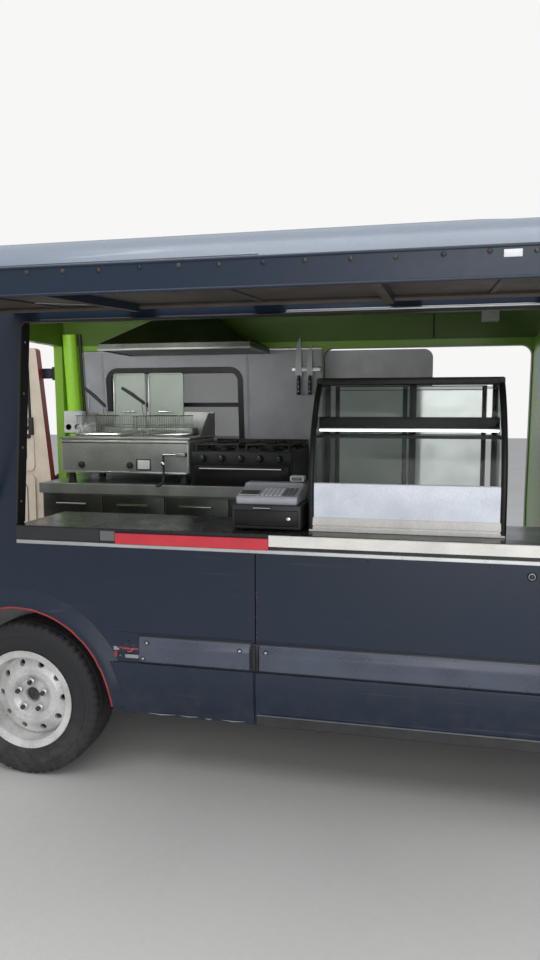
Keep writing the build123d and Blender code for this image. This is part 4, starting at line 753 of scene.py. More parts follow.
# Operators: one for each group of pieces
class Stage(bpy.types.Operator):
    """Make the pale floor, the soft lights and the camera"""

    bl_idname = "food_truck.stage"
    bl_label = "Stage"

    def execute(self, context):
        scene = context.scene
        scene.view_settings.view_transform = "Standard"
        view = sizes()
        lens = bpy.data.cameras.new("camera")
        lens.lens = view.lens
        lens.clip_end = 200.0
        camera = bpy.data.objects.new("camera", lens)
        scene.collection.objects.link(camera)
        camera.location = beside(van_shift, view.eye_along, -HALF_WIDTH - view.eye_distance,
                                 view.eye_height)
        pitch_down, yaw_rearward = 5.55, 12.5
        camera.rotation_euler = (math.radians(90.0 - pitch_down), 0.0, math.radians(yaw_rearward))
        scene.camera = camera
        self.light_world(scene)
        self.lay_floor(scene)
        for name, place, turn, size, power in (
            ("sky_light", (1.0, -3.5, 7.0), (25.0, 0.0, 0.0), 7.0, 330.0),
            ("front_fill", (3.0, -7.0, 2.2), (78.0, 0.0, 10.0), 4.0, 110.0),
            ("inside_fill", (0.1, -0.35, 1.92), (62.0, 0.0, 12.0), 0.6, 3.0),
            ("rear_fill", (-0.68, -0.60, 1.94), (106.0, 0.0, 8.0), 0.4, 5.0),
        ):
            lamp = bpy.data.lights.new(name, "AREA")
            lamp.size = size
            lamp.energy = power
            holder = bpy.data.objects.new(name, lamp)
            holder.location = van_shift + Vector(place)
            holder.rotation_euler = [math.radians(angle) for angle in turn]
            scene.collection.objects.link(holder)
        return {"FINISHED"}

    def light_world(self, scene):
        """Soft even sky, shown white to the camera and through glass."""
        world = bpy.data.worlds.new("studio")
        scene.world = world
        world.use_nodes = True
        tree = world.node_tree
        tree.nodes.clear()
        rays = add_node(tree, "ShaderNodeLightPath").outputs
        direct = math_node(tree, "MAXIMUM", rays["Is Camera Ray"], rays["Is Transmission Ray"])
        soft = add_node(tree, "ShaderNodeBackground", {0: (0.92, 0.95, 1.0, 1.0), 1: 0.62})
        shown = add_node(tree, "ShaderNodeBackground", {0: (0.93, 0.93, 0.92, 1.0), 1: 1.0})
        blend = add_node(tree, "ShaderNodeMixShader", {0: direct, 1: soft.outputs[0], 2: shown.outputs[0]})
        leave = add_node(tree, "ShaderNodeOutputWorld")
        tree.links.new(blend.outputs[0], leave.inputs[0])

    def lay_floor(self, scene):
        """Pale floor with a faint grain."""
        material, tree, shader = start_finish("pale_floor")
        body = effect(tree, "Mottle", Color=(0.62, 0.61, 0.59), Other=(0.56, 0.55, 0.53), Amount=0.6,
                      Scale=1.2)
        tree.links.new(body["Color"], shader.inputs["Base Color"])
        tree.links.new(ranged(tree, body["Cloud"], 0.75, 0.95), shader.inputs["Roughness"])
        grit = effect(tree, "Grain", Amount=1.0, Scale=160.0)
        add_bump(tree, shader, grit["Height"], 0.001, 0.4)
        mesh = bpy.data.meshes.new("floor")
        reach = 40.0
        mesh.from_pydata([(-reach, -reach, 0.0), (reach, -reach, 0.0), (reach, reach, 0.0),
                          (-reach, reach, 0.0)], [], [(0, 1, 2, 3)])
        mesh.materials.append(material)
        floor = bpy.data.objects.new("floor", mesh)
        scene.collection.objects.link(floor)


class PaintBody(bpy.types.Operator):
    """Paint the body panels outside and inside"""

    bl_idname = "food_truck.paint_body"
    bl_label = "Body paint"

    def execute(self, context):
        # Inside of the roof in the darkened lime: painted shade
        # Roof outside: faded paint with a painted sky reflection
        dress_node("roof", inside_rule, "roof_paint", "lime_ceiling", "roof_paint")
        for node in ("side_right", "side_left"):
            dress_node(node, inside_rule, "slate_paint", "lime_paint", "slate_paint")
        dress_node("old_door_right", None, "slate_paint")
        for node, inside in (("sliding_door_left", "door_sheet"), ("cab_door_left", "grey_plastic"),
                             ("cab_door_right", "grey_plastic"), ("rear_door_right", "cream_lining")):
            dress_node(node, self.shut_rule(node), "slate_paint", inside, "red_paint")
        dress_node("cab_frame", self.cab_rule, "slate_paint", "grey_plastic", "slate_paint", "lime_paint")
        dress_node("front_wings", inside_rule, "slate_paint", "chassis_black", "slate_paint")
        dress_node("bonnet", self.bonnet_rule, "slate_paint", "red_paint")
        dress_node("rear_door_left", self.open_door_rule, "slate_paint", "cream_lining", "red_paint")
        dress_node("load_floor", self.floor_rule, "chassis_black", "floor_plate")
        dress_node("hatch_flap", self.flap_rule, "slate_paint", "flap_inside")
        return {"FINISHED"}

    def bonnet_rule(self, centre, normal):
        """Old red under the bonnet."""
        return 1 if normal.z < -0.2 else 0

    def shut_rule(self, node):
        """Rule of a door: its rim carries the old paint, the edges of its window do not."""
        low, high = van_box(node)
        rim = 0.03

        def rule(centre, normal):
            side = inside_rule(centre, normal)
            if side < 2:
                return side
            near_x = min(centre.x - low.x, high.x - centre.x) < rim
            near_z = min(centre.z - low.z, high.z - centre.z) < rim
            return 2 if near_x or near_z else 0

        return rule

    def cab_rule(self, centre, normal):
        """Lime on the bulkhead's kitchen side, grey inside the cab and slate outside."""
        if centre.x < 2.31 and normal.x < -0.5:
            return 3
        return inside_rule(centre, normal)

    def open_door_rule(self, centre, normal):
        """Left rear door standing open: its inner face looks forward into the load space."""
        if normal.y < -0.7:
            return 1
        return 0 if normal.y > 0.4 else 2

    def floor_rule(self, centre, normal):
        """Worn plate on top, black underneath."""
        return 1 if normal.z > 0.5 or abs(centre.y) < 0.95 and centre.z > 0.57 else 0

    def flap_rule(self, centre, normal):
        """Brown sheet on the flap's underside."""
        return 1 if normal.z < -0.3 else 0


class DressNodes(bpy.types.Operator):
    """Give every other frame piece its finish"""

    bl_idname = "food_truck.dress_nodes"
    bl_label = "Plain finishes"

    def execute(self, context):
        corners = ("front_left", "front_right", "rear_left", "rear_right")
        plain = {
            "clear_glass": ("windscreen", "cab_glass_left", "cab_glass_right", "display_glass"),
            "dark_glass": ("rear_glass_left", "rear_glass_right", "side_glass"),
            "black_plastic": ("grille", "front_bumper", "rear_bumper", "mirror_left", "mirror_right",
                              "fuel_tank", "till"),
            "chassis_black": ("rear_axle", "underframe"),
            "rust_steel": ("exhaust",),
            "cast_iron": ("engine", "knuckle_left", "knuckle_right"),
            "tyre_rubber": ("spare_wheel", *(f"tyre_{corner}" for corner in corners)),
            "rim_silver": tuple(f"rim_{corner}" for corner in corners),
            "grey_plastic": ("dashboard",),
            "seat_cloth": ("seats",),
            "laminate": ("counter",),
            "black_paint": ("display_case", "hob", "strut_tube_rear", "strut_tube_front"),
            "chrome": ("strut_rod_rear", "strut_rod_front"),
            "stainless": ("kitchen_units", "fryer"),
            "smoked_steel": ("hood",),
            "wall_sheet": ("lining",),
            "rubber": ("window_rubber",),
            "moulding_plastic": ("side_mouldings",),
        }
        for finish_name, nodes in plain.items():
            for node in nodes:
                dress_node(node, None, finish_name)
        dress_node("lamps", lambda centre, normal: 0 if centre.x < 0 else 1, "red_lens", "clear_glass")
        dress_node("counter_strips", lambda centre, normal: 0 if centre.x < 1.103 else 1, "red_strip",
                   "white_strip")
        return {"FINISHED"}


class Skin:
    """Finds points on the outer surface of some frame nodes."""

    def __init__(self, *nodes):
        points, faces = [], []
        for node in nodes:
            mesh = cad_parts[node].data
            start = len(points)
            points += [vert.co - van_shift for vert in mesh.vertices]
            faces += [[start + index for index in face.vertices] for face in mesh.polygons]
        self.tree = BVHTree.FromPolygons(points, faces)

    def touch(self, start, way, lift=0.0):
        """Point where a ray meets the surface, lifted off it by a little."""
        place, normal, _, _ = self.tree.ray_cast(Vector(start), Vector(way))
        if place is None:
            raise RuntimeError(f"no surface met from {tuple(start)}")
        if normal.dot(Vector(way)) > 0:
            normal = -normal
        return place + normal * lift

    def side(self, x, z, sign, lift=0.0):
        """Point on the side at a length and height; beside a gap, its nearer edge."""
        outside_y, outer_wall_y = 1.6, 0.7
        for aside in (0.0, 0.008, -0.008, 0.016, -0.016, 0.03, -0.03):
            start = Vector((x + aside, sign * outside_y, z))
            place, normal, _, _ = self.tree.ray_cast(start, Vector((0.0, -sign, 0.0)))
            if place is not None and abs(place.y) > outer_wall_y:
                return Vector((x, place.y, z)) + (normal if normal.y * sign > 0 else -normal) * lift
        raise RuntimeError(f"no side surface near x {x:.3f}, z {z:.3f}")


def side_bead(form, skin, sign, points, radius, finish_name, segments=8, lift=0.0):
    """Round bead on the side's skin through lengths and heights."""
    path = [skin.side(x, z, sign, lift) for x, z in points]
    form.tube(path, radius, finish_name, segments=segments)


def side_block(form, sign, x, out, z, finish_name, **settings):
    """Block between two lengths, two distances from the centre plane and two heights, on one side."""
    form.block((x[0], sign * out[0], z[0]), (x[1], sign * out[1], z[1]), finish_name, **settings)


def door_moulding(form, sign, base_y, stations):
    """Rubbing moulding of a door, through stations of a length and a share of its thickness."""
    low, high = MOULDING_LOW_Z, MOULDING_HIGH_Z
    section = ((-0.001, low), (0.012, low + 0.004), (0.0145, low + 0.06), (0.016, low + 0.07),
               (0.0135, low + 0.08), (0.006, high - 0.01), (-0.001, high))
    form.loft([[(x, sign * (base_y + out * share), z) for out, z in section] for x, share in stations],
              "moulding_plastic")


def door_grip(form, sign, y, cup_x, flap_x, flap_out, lock_x):
    """Recessed door grip with its flap and lock."""
    side_block(form, sign, cup_x, (y - 0.002, y + 0.006), (0.955, 1.025), "black_plastic", soft=0.004)
    side_block(form, sign, flap_x, (y + 0.004, y + flap_out), (0.988, 1.014), "black_plastic", soft=0.007,
               segments=3)
    form.lathe([(0.0, 0.012), (0.004, 0.012), (0.005, 0.010), (0.005, 0.0)],
               (lock_x, sign * (y + 0.005), 1.0), (0.0, sign, 0.0), "chrome", segments=20)


def skin_patch(form, skin, sign, x, z, finish_name, thick=0.0008, steps=1):
    """Thin mark or plate that hugs the side's surface between two lengths and two heights."""
    rings = []
    for step in range(steps + 1):
        along = x[0] + (x[1] - x[0]) * step / steps
        rings.append([skin.side(along, z[0], sign, thick), skin.side(along, z[1], sign, thick),
                      skin.side(along, z[1], sign, -0.001), skin.side(along, z[0], sign, -0.001)])
    form.loft(rings, finish_name)


class WheelArches(bpy.types.Operator):
    """Flare the wheel arches and bare the old red paint on their edges"""

    bl_idname = "food_truck.wheel_arches"
    bl_label = "Wheel arches"

    def execute(self, context):
        bulge = sizes().arch_bulge
        form = Form()
        skin = Skin("side_right", "side_left", "cab_frame", "front_wings", "front_bumper",
                    "cab_door_left", "cab_door_right")
        rear_reach, front_reach = 0.512, 0.484
        for _, sign in SIDES:
            self.flare(form, skin, sign, 0.0, rear_reach, bulge)
            self.flare(form, skin, sign, WHEELBASE, front_reach, bulge)
        form.piece("wheel_arches", "root", "body")
        return {"FINISHED"}

    def flare(self, form, skin, sign, axle, reach, bulge):
        """Rolled lip round one arch, its flange turned in and its edge worn to red."""
        edge = ARCH_RADIUS - 0.006
        mound = [(edge + 0.003, -0.004), (edge + 0.004, bulge * 0.9), (edge + 0.012, bulge),
                 (edge + 0.030, bulge * 0.92), (edge + 0.044, bulge * 0.5), (reach - 0.010, bulge * 0.12),
                 (reach, -0.003)]
        flange = [(edge - 0.001, -0.03), (edge - 0.001, 0.004), (edge + 0.001, bulge),
                  (edge + 0.003, bulge * 1.09), (edge + 0.008, bulge * 1.06), (edge + 0.010, bulge * 0.5),
                  (edge + 0.006, -0.03)]
        angles = evenly(math.radians(3.0), math.radians(177.0), 56)
        for profile, finish_name in ((mound, "slate_paint"), (flange, "red_paint")):
            rings = []
            for angle in angles:
                way = Vector((math.cos(angle), math.sin(angle)))
                foot = skin.side(axle + way.x * (reach - 0.004), AXLE_Z + way.y * (reach - 0.004), sign)
                worn = 0.0
                if finish_name == "red_paint":
                    worn = 0.006 * noise.noise(Vector((angle * 9.0, sign, axle)))
                ring = []
                for radius, out in profile:
                    span = radius + (worn if out > bulge else 0.0)
                    ring.append((axle + way.x * span, foot.y + sign * out, AXLE_Z + way.y * span))
                rings.append(ring)
            form.loft(rings, finish_name)


class SideTrim(bpy.types.Operator):
    """Fit the rubbing mouldings, the sill panels and their strips, with marks of a lost piece"""

    bl_idname = "food_truck.side_trim"
    bl_label = "Side mouldings and sills"

    def execute(self, context):
        skin = Skin("side_right", "side_left", "old_door_right", "cab_frame")
        self.mouldings()
        self.sill_panels(skin)
        self.lost_piece(skin)
        self.fasteners()
        return {"FINISHED"}

    def moulding(self, form, base_y, sign, start, end):
        """One moulding: sloping top, crease, gently hollow face and tucked lower edge."""
        low, high = MOULDING_LOW_Z, MOULDING_HIGH_Z
        section = [(0.0, low), (0.008, low + 0.001), (0.0135, low + 0.006), (0.0150, low + 0.030),
                   (0.0145, low + 0.062), (0.0160, low + 0.070), (0.0145, low + 0.078),
                   (0.0085, low + 0.096), (0.0035, high - 0.003), (0.0, high)]
        stations = ((start, 0.35), (start + 0.003, 0.8), (start + 0.008, 1.0), (end - 0.008, 1.0),
                    (end - 0.003, 0.8), (end, 0.35))
        form.loft([[(x, sign * (base_y + out * share), z) for out, z in section] for x, share in stations],
                  "moulding_plastic")

    def mouldings(self):
        """The van's own mouldings on black gasket strips that stand out round them as a painted shadow
        line, with plugs and screws.
        """
        form = Form()
        for sign, start, end in ((-1, 0.552, 1.028), (-1, 1.062, SIDE_FRONT_X), (1, 0.552, 1.0)):
            self.moulding(form, HALF_WIDTH, sign, start, end)
            # The black gasket reaches a little past each moulding and paints its shadow line
            side_block(form, sign, (start - 0.0035, end + 0.0035),
                       (HALF_WIDTH - 0.001, HALF_WIDTH + 0.0035), (0.565, 0.684), "rubber", soft=0.001)
        gap_x, gap_y = 1.045, -HALF_WIDTH - 0.012
        # Black block in the gap between the two mouldings: painted shade of the recess
        form.block((gap_x - 0.015, -HALF_WIDTH - 0.006, MOULDING_LOW_Z - 0.001),
                   (gap_x + 0.015, -HALF_WIDTH + 0.001, MOULDING_HIGH_Z + 0.001), "rubber", soft=0.001)
        form.tube([(gap_x, gap_y, z) for z in (0.575, 0.60, 0.672)], [0.004, 0.006, 0.005], "black_plastic")
        for x, z in ((0.59, 0.655), (0.985, 0.650), (0.572, 0.588), (1.092, 0.650)):
            place = (x, -HALF_WIDTH - 0.0135, z)
            form.lathe([(0.0, 0.010), (0.0015, 0.010), (0.002, 0.0085), (0.0005, 0.006), (0.0005, 0.0)],
                       place, TO_RIGHT, "black_plastic", segments=18)
            form.bolt((x, -HALF_WIDTH - 0.0138, z), TO_RIGHT, "aluminium", radius=0.0042, height=0.002)
        form.piece("mouldings", "root", "moulding", replaces=("side_mouldings",), angle=30.0)

    def skirt(self, form, skin, sign, start, end):
        """Lower panel of one stretch, its top a ledge; start and end may follow an arch."""
        levels = ((0.5655, 0.0015), (0.5625, 0.0085), (0.556, 0.0095), (0.472, 0.0095), (0.40, 0.0090),
                  (0.350, 0.0060), (0.342, 0.0015))
        rings = []
        for share in evenly(0.0, 1.0, 6):
            outer, inner = [], []
            for z, out in levels:
                near, far = start(z), end(z)
                x = near + (far - near) * share
                y = skin.side(x, z, sign).y
                outer.append((x, y + sign * out, z))
                inner.append((x, y - sign * 0.002, z))
            rings.append(outer + inner[::-1])
        form.loft(rings, "slate_paint")

    def sill_panels(self, skin):
        """Skirts between the arches and the protecting strips under them."""
        form = Form()

        def arch_front(z):
            return math.sqrt(0.476 ** 2 - (z - AXLE_Z) ** 2)

        def arch_rear(z):
            return -arch_front(z)

        for _, sign in SIDES:
            self.skirt(form, skin, sign, lambda z: REAR_X + 0.09, arch_rear)
        self.skirt(form, skin, -1, arch_front, lambda z: SEAM_X - 0.002)
        self.skirt(form, skin, -1, lambda z: SEAM_X + 0.007, lambda z: SIDE_FRONT_X)
        self.skirt(form, skin, 1, arch_front, lambda z: SEAM_X - 0.002)
        strips = Form()
        start, end = SEAM_X + 0.01, SIDE_FRONT_X - 0.002
        low, high = 0.337, 0.383
        section = ((-0.012, low), (0.010, low), (0.0165, low + 0.006), (0.0165, high - 0.004),
                   (0.0125, high), (-0.006, high))
        for _, sign in SIDES:
            rings = []
            for x in (start, end):
                y = abs(skin.side(x, 0.36, sign).y)
                rings.append([(x, sign * (y + out), z) for out, z in section])
            strips.loft(rings, "black_plastic")
            y = abs(skin.side((start + end) / 2, 0.385, sign).y)
            strips.block((start, sign * (y - 0.002), high), (end, sign * (y + 0.0155), high + 0.0035),
                         "grey_plastic", soft=0.001)
        form.piece("sill_panels", "root", "body")
        strips.piece("sill_strips", "root", "trim")

    def lost_piece(self, skin):
        """Red line, filler and chips where a moulding is missing behind the first one."""
        form = Form()
        random.seed(5)
        for x, z, finish_name in (
            ((0.474, 0.552), (0.618, 0.6255), "red_paint"),
            ((0.452, 0.49), (0.6225, 0.6275), "red_paint"),
            ((0.488, 0.55), (0.582, 0.597), "filler_grey"),
            ((0.437, 0.462), (0.612, 0.628), "filler_grey"),
            ((0.441, 0.452), (0.583, 0.608), "red_paint"),
            ((0.498, 0.512), (0.606, 0.612), "red_paint"),
            ((0.47, 0.55), (0.5995, 0.603), "black_paint"),
        ):
            skin_patch(form, skin, -1, x, z, finish_name, steps=2)
        for _ in range(26):
            x = random.uniform(0.44, 0.55)
            z = random.uniform(0.575, 0.64)
            size = random.uniform(0.0012, 0.004)
            tone = random.choice(("filler_grey", "red_paint", "black_paint"))
            skin_patch(form, skin, -1, (x, x + size * 1.6), (z, z + size), tone, thick=0.0010)
        for _ in range(9):
            z = random.uniform(0.69, 0.93)
            x = SEAM_X + random.uniform(0.006, 0.010)
            size = random.uniform(0.0015, 0.004)
            skin_patch(form, skin, -1, (x, x + size), (z, z + size * 2.0), "red_paint")
        form.lathe([(0.0, 0.0045), (0.0008, 0.0045), (0.0009, 0.003), (0.0003, 0.0)],
                   (0.507, -HALF_WIDTH, 0.655), TO_RIGHT, "black_paint", segments=16)
        scuffs = ((0.58, 0.70, 0.345), (0.72, 0.80, 0.3465), (0.83, 0.86, 0.344), (0.90, 1.0, 0.345))
        for start, end, z in scuffs:
            y = abs(skin.side((start + end) / 2, z, -1).y)
            form.tube([(start, -y - 0.0055, z), ((start + end) / 2, -y - 0.0075, z - 0.0015),
                       (end, -y - 0.0055, z + 0.001)], [0.0008, 0.0022, 0.0008], "filler_grey", segments=6)
        form.tube([(0.452, -HALF_WIDTH - 0.0002, 0.691), (0.8, -HALF_WIDTH - 0.0008, 0.691),
                   (SIDE_FRONT_X, -HALF_WIDTH - 0.0002, 0.691)], 0.0016, "slate_paint", segments=8)
        form.piece("old_paint_marks", "root", "body")

    def fasteners(self):
        """Lock cylinder, bolt and rivets on the old door."""
        form = Form()
        lock = (2.084, -HALF_WIDTH, 1.005)
        form.lathe([(0.0, 0.018), (0.002, 0.0175), (0.0025, 0.016), (0.0012, 0.0)], lock, TO_RIGHT,
                   "black_paint")
        form.lathe([(0.0015, 0.0125), (0.0035, 0.012), (0.0038, 0.010), (0.0015, 0.0095)], lock, TO_RIGHT,
                   "knife_steel")
        form.lathe([(0.001, 0.0055), (0.003, 0.005), (0.003, 0.0)], lock, TO_RIGHT, "smoked_steel",
                   segments=20)
        form.bolt((1.944, -HALF_WIDTH, 1.032), TO_RIGHT, "cast_iron", radius=0.007)
        for x, z in ((1.42, 1.035), (1.49, 1.037), (1.075, 1.04), (1.015, 1.042)):
            form.bolt((x, -HALF_WIDTH, z), TO_RIGHT, "slate_paint", radius=0.0035, height=0.002)
        form.piece("door_fasteners", "root", "steel")


class HatchTrim(bpy.types.Operator):
    """Edge the serving hatch with its seal, sill rail and header"""

    bl_idname = "food_truck.hatch_trim"
    bl_label = "Hatch edges"

    def execute(self, context):
        form = Form()
        corner = 0.02

        foot_z, middle_z = HATCH_SILL_Z + 0.066, 1.5
        seal = [(HATCH_REAR_X, foot_z), (HATCH_REAR_X, middle_z), (HATCH_REAR_X, HATCH_TOP_Z - corner),
                (HATCH_REAR_X + corner, HATCH_TOP_Z), ((HATCH_REAR_X + HATCH_FRONT_X) / 2, HATCH_TOP_Z),
                (HATCH_FRONT_X - corner, HATCH_TOP_Z), (HATCH_FRONT_X, HATCH_TOP_Z - corner),
                (HATCH_FRONT_X, middle_z), (HATCH_FRONT_X, foot_z)]
        form.tube([(x, -side_y(z), z) for x, z in seal], 0.0065, "rubber", segments=10)
        rail_y = -HALF_WIDTH - 0.0005
        rear_x, front_x = HATCH_REAR_X + 0.006, HATCH_FRONT_X - 0.006
        form.bar([(rail_y + 0.008, 1.0475), (rail_y - 0.004, 1.0475), (rail_y - 0.0055, 1.049),
                  (rail_y - 0.0055, 1.0615), (rail_y - 0.0035, 1.0638), (rail_y + 0.008, 1.0638)],
                 rear_x, front_x, "aluminium")
        for x in evenly(0.12, 1.92, 6):
            form.bolt((x, rail_y - 0.0055, 1.0555), TO_RIGHT, "aluminium", radius=0.0028, height=0.0012)
        form.block((0.39, -HALF_WIDTH - 0.010, 1.074), (0.456, -HALF_WIDTH - 0.0035, 1.116), "grey_plastic",
                   soft=0.002)
        form.block((0.006, -HALF_WIDTH - 0.0075, 1.068), (0.386, -HALF_WIDTH - 0.0035, 1.121),
                   "black_plastic", soft=0.002)
        for jamb_x, inward in ((HATCH_REAR_X, 1), (HATCH_FRONT_X, -1)):
            rings = []
            for z in (foot_z, middle_z, HATCH_TOP_Z - 0.006):
                y = -side_y(z)
                near, far = jamb_x, jamb_x + inward * 0.0025
                rings.append([(near, y + 0.004, z), (far, y + 0.004, z), (far, y + 0.064, z),
                              (near, y + 0.064, z)])
            form.loft(rings, "black_paint")
            for z in (1.22, 1.45, 1.68, 1.9):
                form.bolt((jamb_x + inward * 0.0025, -side_y(z) + 0.03, z), (inward, 0.0, 0.0), "aluminium",
                          radius=0.004, height=0.002)
        y = -side_y(HATCH_TOP_Z)
        form.block((0.004, y + 0.004, HATCH_TOP_Z - 0.0035),
                   (front_x + 0.002, y + 0.06, HATCH_TOP_Z - 0.0005), "black_paint", soft=0.001)
        form.block((1.15, y - 0.0095, HATCH_TOP_Z + 0.004),
                   (front_x + 0.002, y - 0.0015, HATCH_TOP_Z + 0.014), "aluminium", soft=0.002)
        form.piece("hatch_edges", "root", "trim")
        return {"FINISHED"}


FLAP_DROOP = math.radians(4.0)
FLAP_LENGTH = 0.95
FLAP_REAR_X = -0.07
FLAP_FRONT_X = 2.23
HINGE_Z = 2.026
HINGE_Y = -(side_y(HINGE_Z) + 0.066)
# Columns are along the van, outwards along the open flap, and up from its underside
FLAP_PLACE = Matrix((
    (1.0, 0.0, 0.0, 0.0),
    (0.0, -math.cos(FLAP_DROOP), -math.sin(FLAP_DROOP), HINGE_Y),
    (0.0, -math.sin(FLAP_DROOP), math.cos(FLAP_DROOP), HINGE_Z),
    (0.0, 0.0, 0.0, 1.0),
))


class FlapTrim(bpy.types.Operator):
    """Bolt and brace the flap, line its underside and add its hinge barrels"""

    bl_idname = "food_truck.flap_trim"
    bl_label = "Flap fittings"

    def execute(self, context):
        form = Form()
        random.seed(11)
        out_way = FLAP_PLACE.to_3x3() @ Vector(TO_LEFT)
        up_way = FLAP_PLACE.to_3x3() @ Vector(UP)
        count = int((FLAP_FRONT_X - FLAP_REAR_X) / HINGE_BOLT_PITCH)
        for index in range(count + 1):
            x = FLAP_REAR_X + 0.04 + index * HINGE_BOLT_PITCH + random.uniform(-0.006, 0.006)
            place = FLAP_PLACE @ Vector((x, FLAP_LENGTH, 0.020 + random.uniform(-0.002, 0.002)))
            form.bolt(place, out_way, random.choice(("smoked_steel", "slate_paint", "cast_iron")),
                      radius=sizes().bolt_radius)
            top = FLAP_PLACE @ Vector((x, FLAP_LENGTH - 0.03, 0.034))
            form.bolt(top, up_way, "slate_paint", radius=sizes().bolt_radius)
        self.edges(form)
        self.underside(form)
        form.block((1.87, FLAP_LENGTH, 0.006), (1.912, FLAP_LENGTH + 0.0035, 0.024), "pale_plastic",
                   soft=0.001, turn=FLAP_PLACE)
        form.piece("flap_fittings", "flap", "body")
        self.hinge_barrels()
        return {"FINISHED"}

    def edges(self, form):
        """Rolled rims of the flap's skin."""
        rim, top, tip_lip, under = 0.0045, 0.033, -0.039, 0.001
        for out, up in ((FLAP_LENGTH - 0.001, top), (FLAP_LENGTH - 0.001, tip_lip)):
            form.tube([(FLAP_REAR_X, out, up), (1.1, out, up), (FLAP_FRONT_X, out, up)], rim, "slate_paint",
                      segments=10, turn=FLAP_PLACE)
        for x in (FLAP_REAR_X, FLAP_FRONT_X):
            for up in (top, under):
                form.tube([(x, 0.03, up), (x, 0.5, up), (x, FLAP_LENGTH, up)], rim, "slate_paint",
                          turn=FLAP_PLACE)
        for out in (0.22, 0.48, 0.74):
            rings = []
            for x, height in ((0.04, 0.0), (0.10, 0.006), (2.06, 0.006), (2.12, 0.0)):
                rings.append([(x, out - 0.035, 0.0335), (x, out - 0.022, 0.034 + height),
                              (x, out + 0.022, 0.034 + height), (x, out + 0.035, 0.0335)])
            form.loft(rings, "slate_paint", turn=FLAP_PLACE)

    def underside(self, form):
        """Angle frame, ply sheet seams and a loose light strip under the flap."""
        inner = FLAP_LENGTH - 0.008
        rear, front = FLAP_REAR_X + 0.006, FLAP_FRONT_X - 0.006
        for out_low, out_high in ((0.045, 0.080), (inner - 0.035, inner)):
            form.block((rear, out_low, -0.012), (front, out_high, -0.0005), "flap_inside", turn=FLAP_PLACE)
            form.block((rear, out_high - 0.004, -0.020), (front, out_high, -0.001), "flap_inside",
                       turn=FLAP_PLACE, soft=0.001)
        ends, middles = (rear, FLAP_FRONT_X - 0.041), (0.25, 1.07, 1.9)
        for stations, width, depth, inset in ((ends, 0.035, 0.012, 0.0), (middles, 0.022, 0.006, 0.002)):
            for x in stations:
                form.block((x, 0.08 + inset, -depth), (x + width, inner - 0.035 - inset, -0.0005),
                           "flap_inside", turn=FLAP_PLACE)
        start, end = Vector((0.287, 0.314, -0.003)), Vector((0.48, 0.085, -0.003))
        across = Vector((end.y - start.y, start.x - end.x, 0.0)).normalized() * 0.006
        lift = Vector((0.0, 0.0, 0.0022))
        form.loft([[point - across - lift, point + across - lift, point + across + lift,
                    point - across + lift] for point in (start, end)], "aluminium", turn=FLAP_PLACE)
        for index in range(9):
            x = FLAP_REAR_X + 0.15 + index * 0.26
            place = FLAP_PLACE @ Vector((x, 0.062, -0.012))
            form.bolt(place, FLAP_PLACE.to_3x3() @ Vector(DOWN), "cast_iron", radius=0.004, height=0.003)

    def hinge_barrels(self):
        """Hinge tubes on the flap and, between them, on the side."""
        on_flap, on_side = Form(), Form()
        knuckle = 0.024
        pitch = (FLAP_FRONT_X - FLAP_REAR_X - 5 * knuckle - 0.06) / 4
        for leaf in range(5):
            x = FLAP_REAR_X + 0.03 + leaf * pitch
            for part in range(5):
                form = on_side if part % 2 else on_flap
                low, high = x + part * knuckle + 0.001, x + (part + 1) * knuckle - 0.001
                form.tube([(along, HINGE_Y, HINGE_Z) for along in (low, low + 0.001, high - 0.001, high)],
                          [0.0098, 0.0108, 0.0108, 0.0098], "cast_iron", segments=16)
            for bolt_x in (x + 0.02, x + 0.06, x + 0.10):
                on_side.bolt((bolt_x, HINGE_Y + 0.05, HINGE_Z + 0.004), UP, "cast_iron",
                             radius=0.005, height=0.004)
        on_flap.piece("flap_hinge_barrels", "flap", "steel")
        on_side.piece("side_hinge_barrels", "root", "steel")


class RoofTrim(bpy.types.Operator):
    """Lay the roof's ribs, gutters and side seam"""

    bl_idname = "food_truck.roof_trim"
    bl_label = "Roof ribs and gutters"

    def execute(self, context):
        form = Form()
        skin = Skin("roof")
        # Ribs and seam carry the roof's light paint, which holds a painted sky reflection
        for y in (-0.52, -0.26, 0.0, 0.26, 0.52):
            rings = []
            stations = evenly(REAR_X + 0.23, REAR_X + 2.965, 22)
            for index, x in enumerate(stations):
                share = min(1.0, index / 2, (len(stations) - 1 - index) / 2)
                ring = []
                for across, rise in ((-0.034, -0.002), (-0.022, 0.006), (0.0, 0.0085), (0.022, 0.006),
                                     (0.034, -0.002)):
                    top = skin.touch((x, y + across, 3.0), DOWN)
                    ring.append(top + Vector((0.0, 0.0, rise * share - 0.0005 * (1.0 - share))))
                low = skin.touch((x, y, 3.0), DOWN).z - 0.004
                ring.append(Vector((x, y + 0.03, low)))
                ring.append(Vector((x, y - 0.03, low)))
                rings.append(ring)
            form.loft(rings, "roof_paint")
        for _, sign in SIDES:
            for z, radius, start, end in ((2.052, 0.006, REAR_X + 0.09, 2.42),
                                          (2.226, 0.0028, REAR_X + 0.13, 1.03)):
                side_bead(form, skin, sign, [(x, z) for x in evenly(start, end, 30)], radius,
                          "roof_paint" if radius < 0.005 else "slate_paint", lift=0.001)
        form.piece("roof_ribs", "root", "body", angle=50.0)
        return {"FINISHED"}


FRYER_LOW, FRYER_HIGH = van_box("fryer")
FRYER_TOP_Z = 1.45
FRYER_BASE_Z = 1.232
WORKTOP_Z = van_box("kitchen_units")[1].z
HOB_LOW, HOB_HIGH = van_box("hob")
CASE_LOW, CASE_HIGH = van_box("display_case")
CASE_SHELF_Z = 1.531
COUNTER_TOP_Z = van_box("counter")[1].z


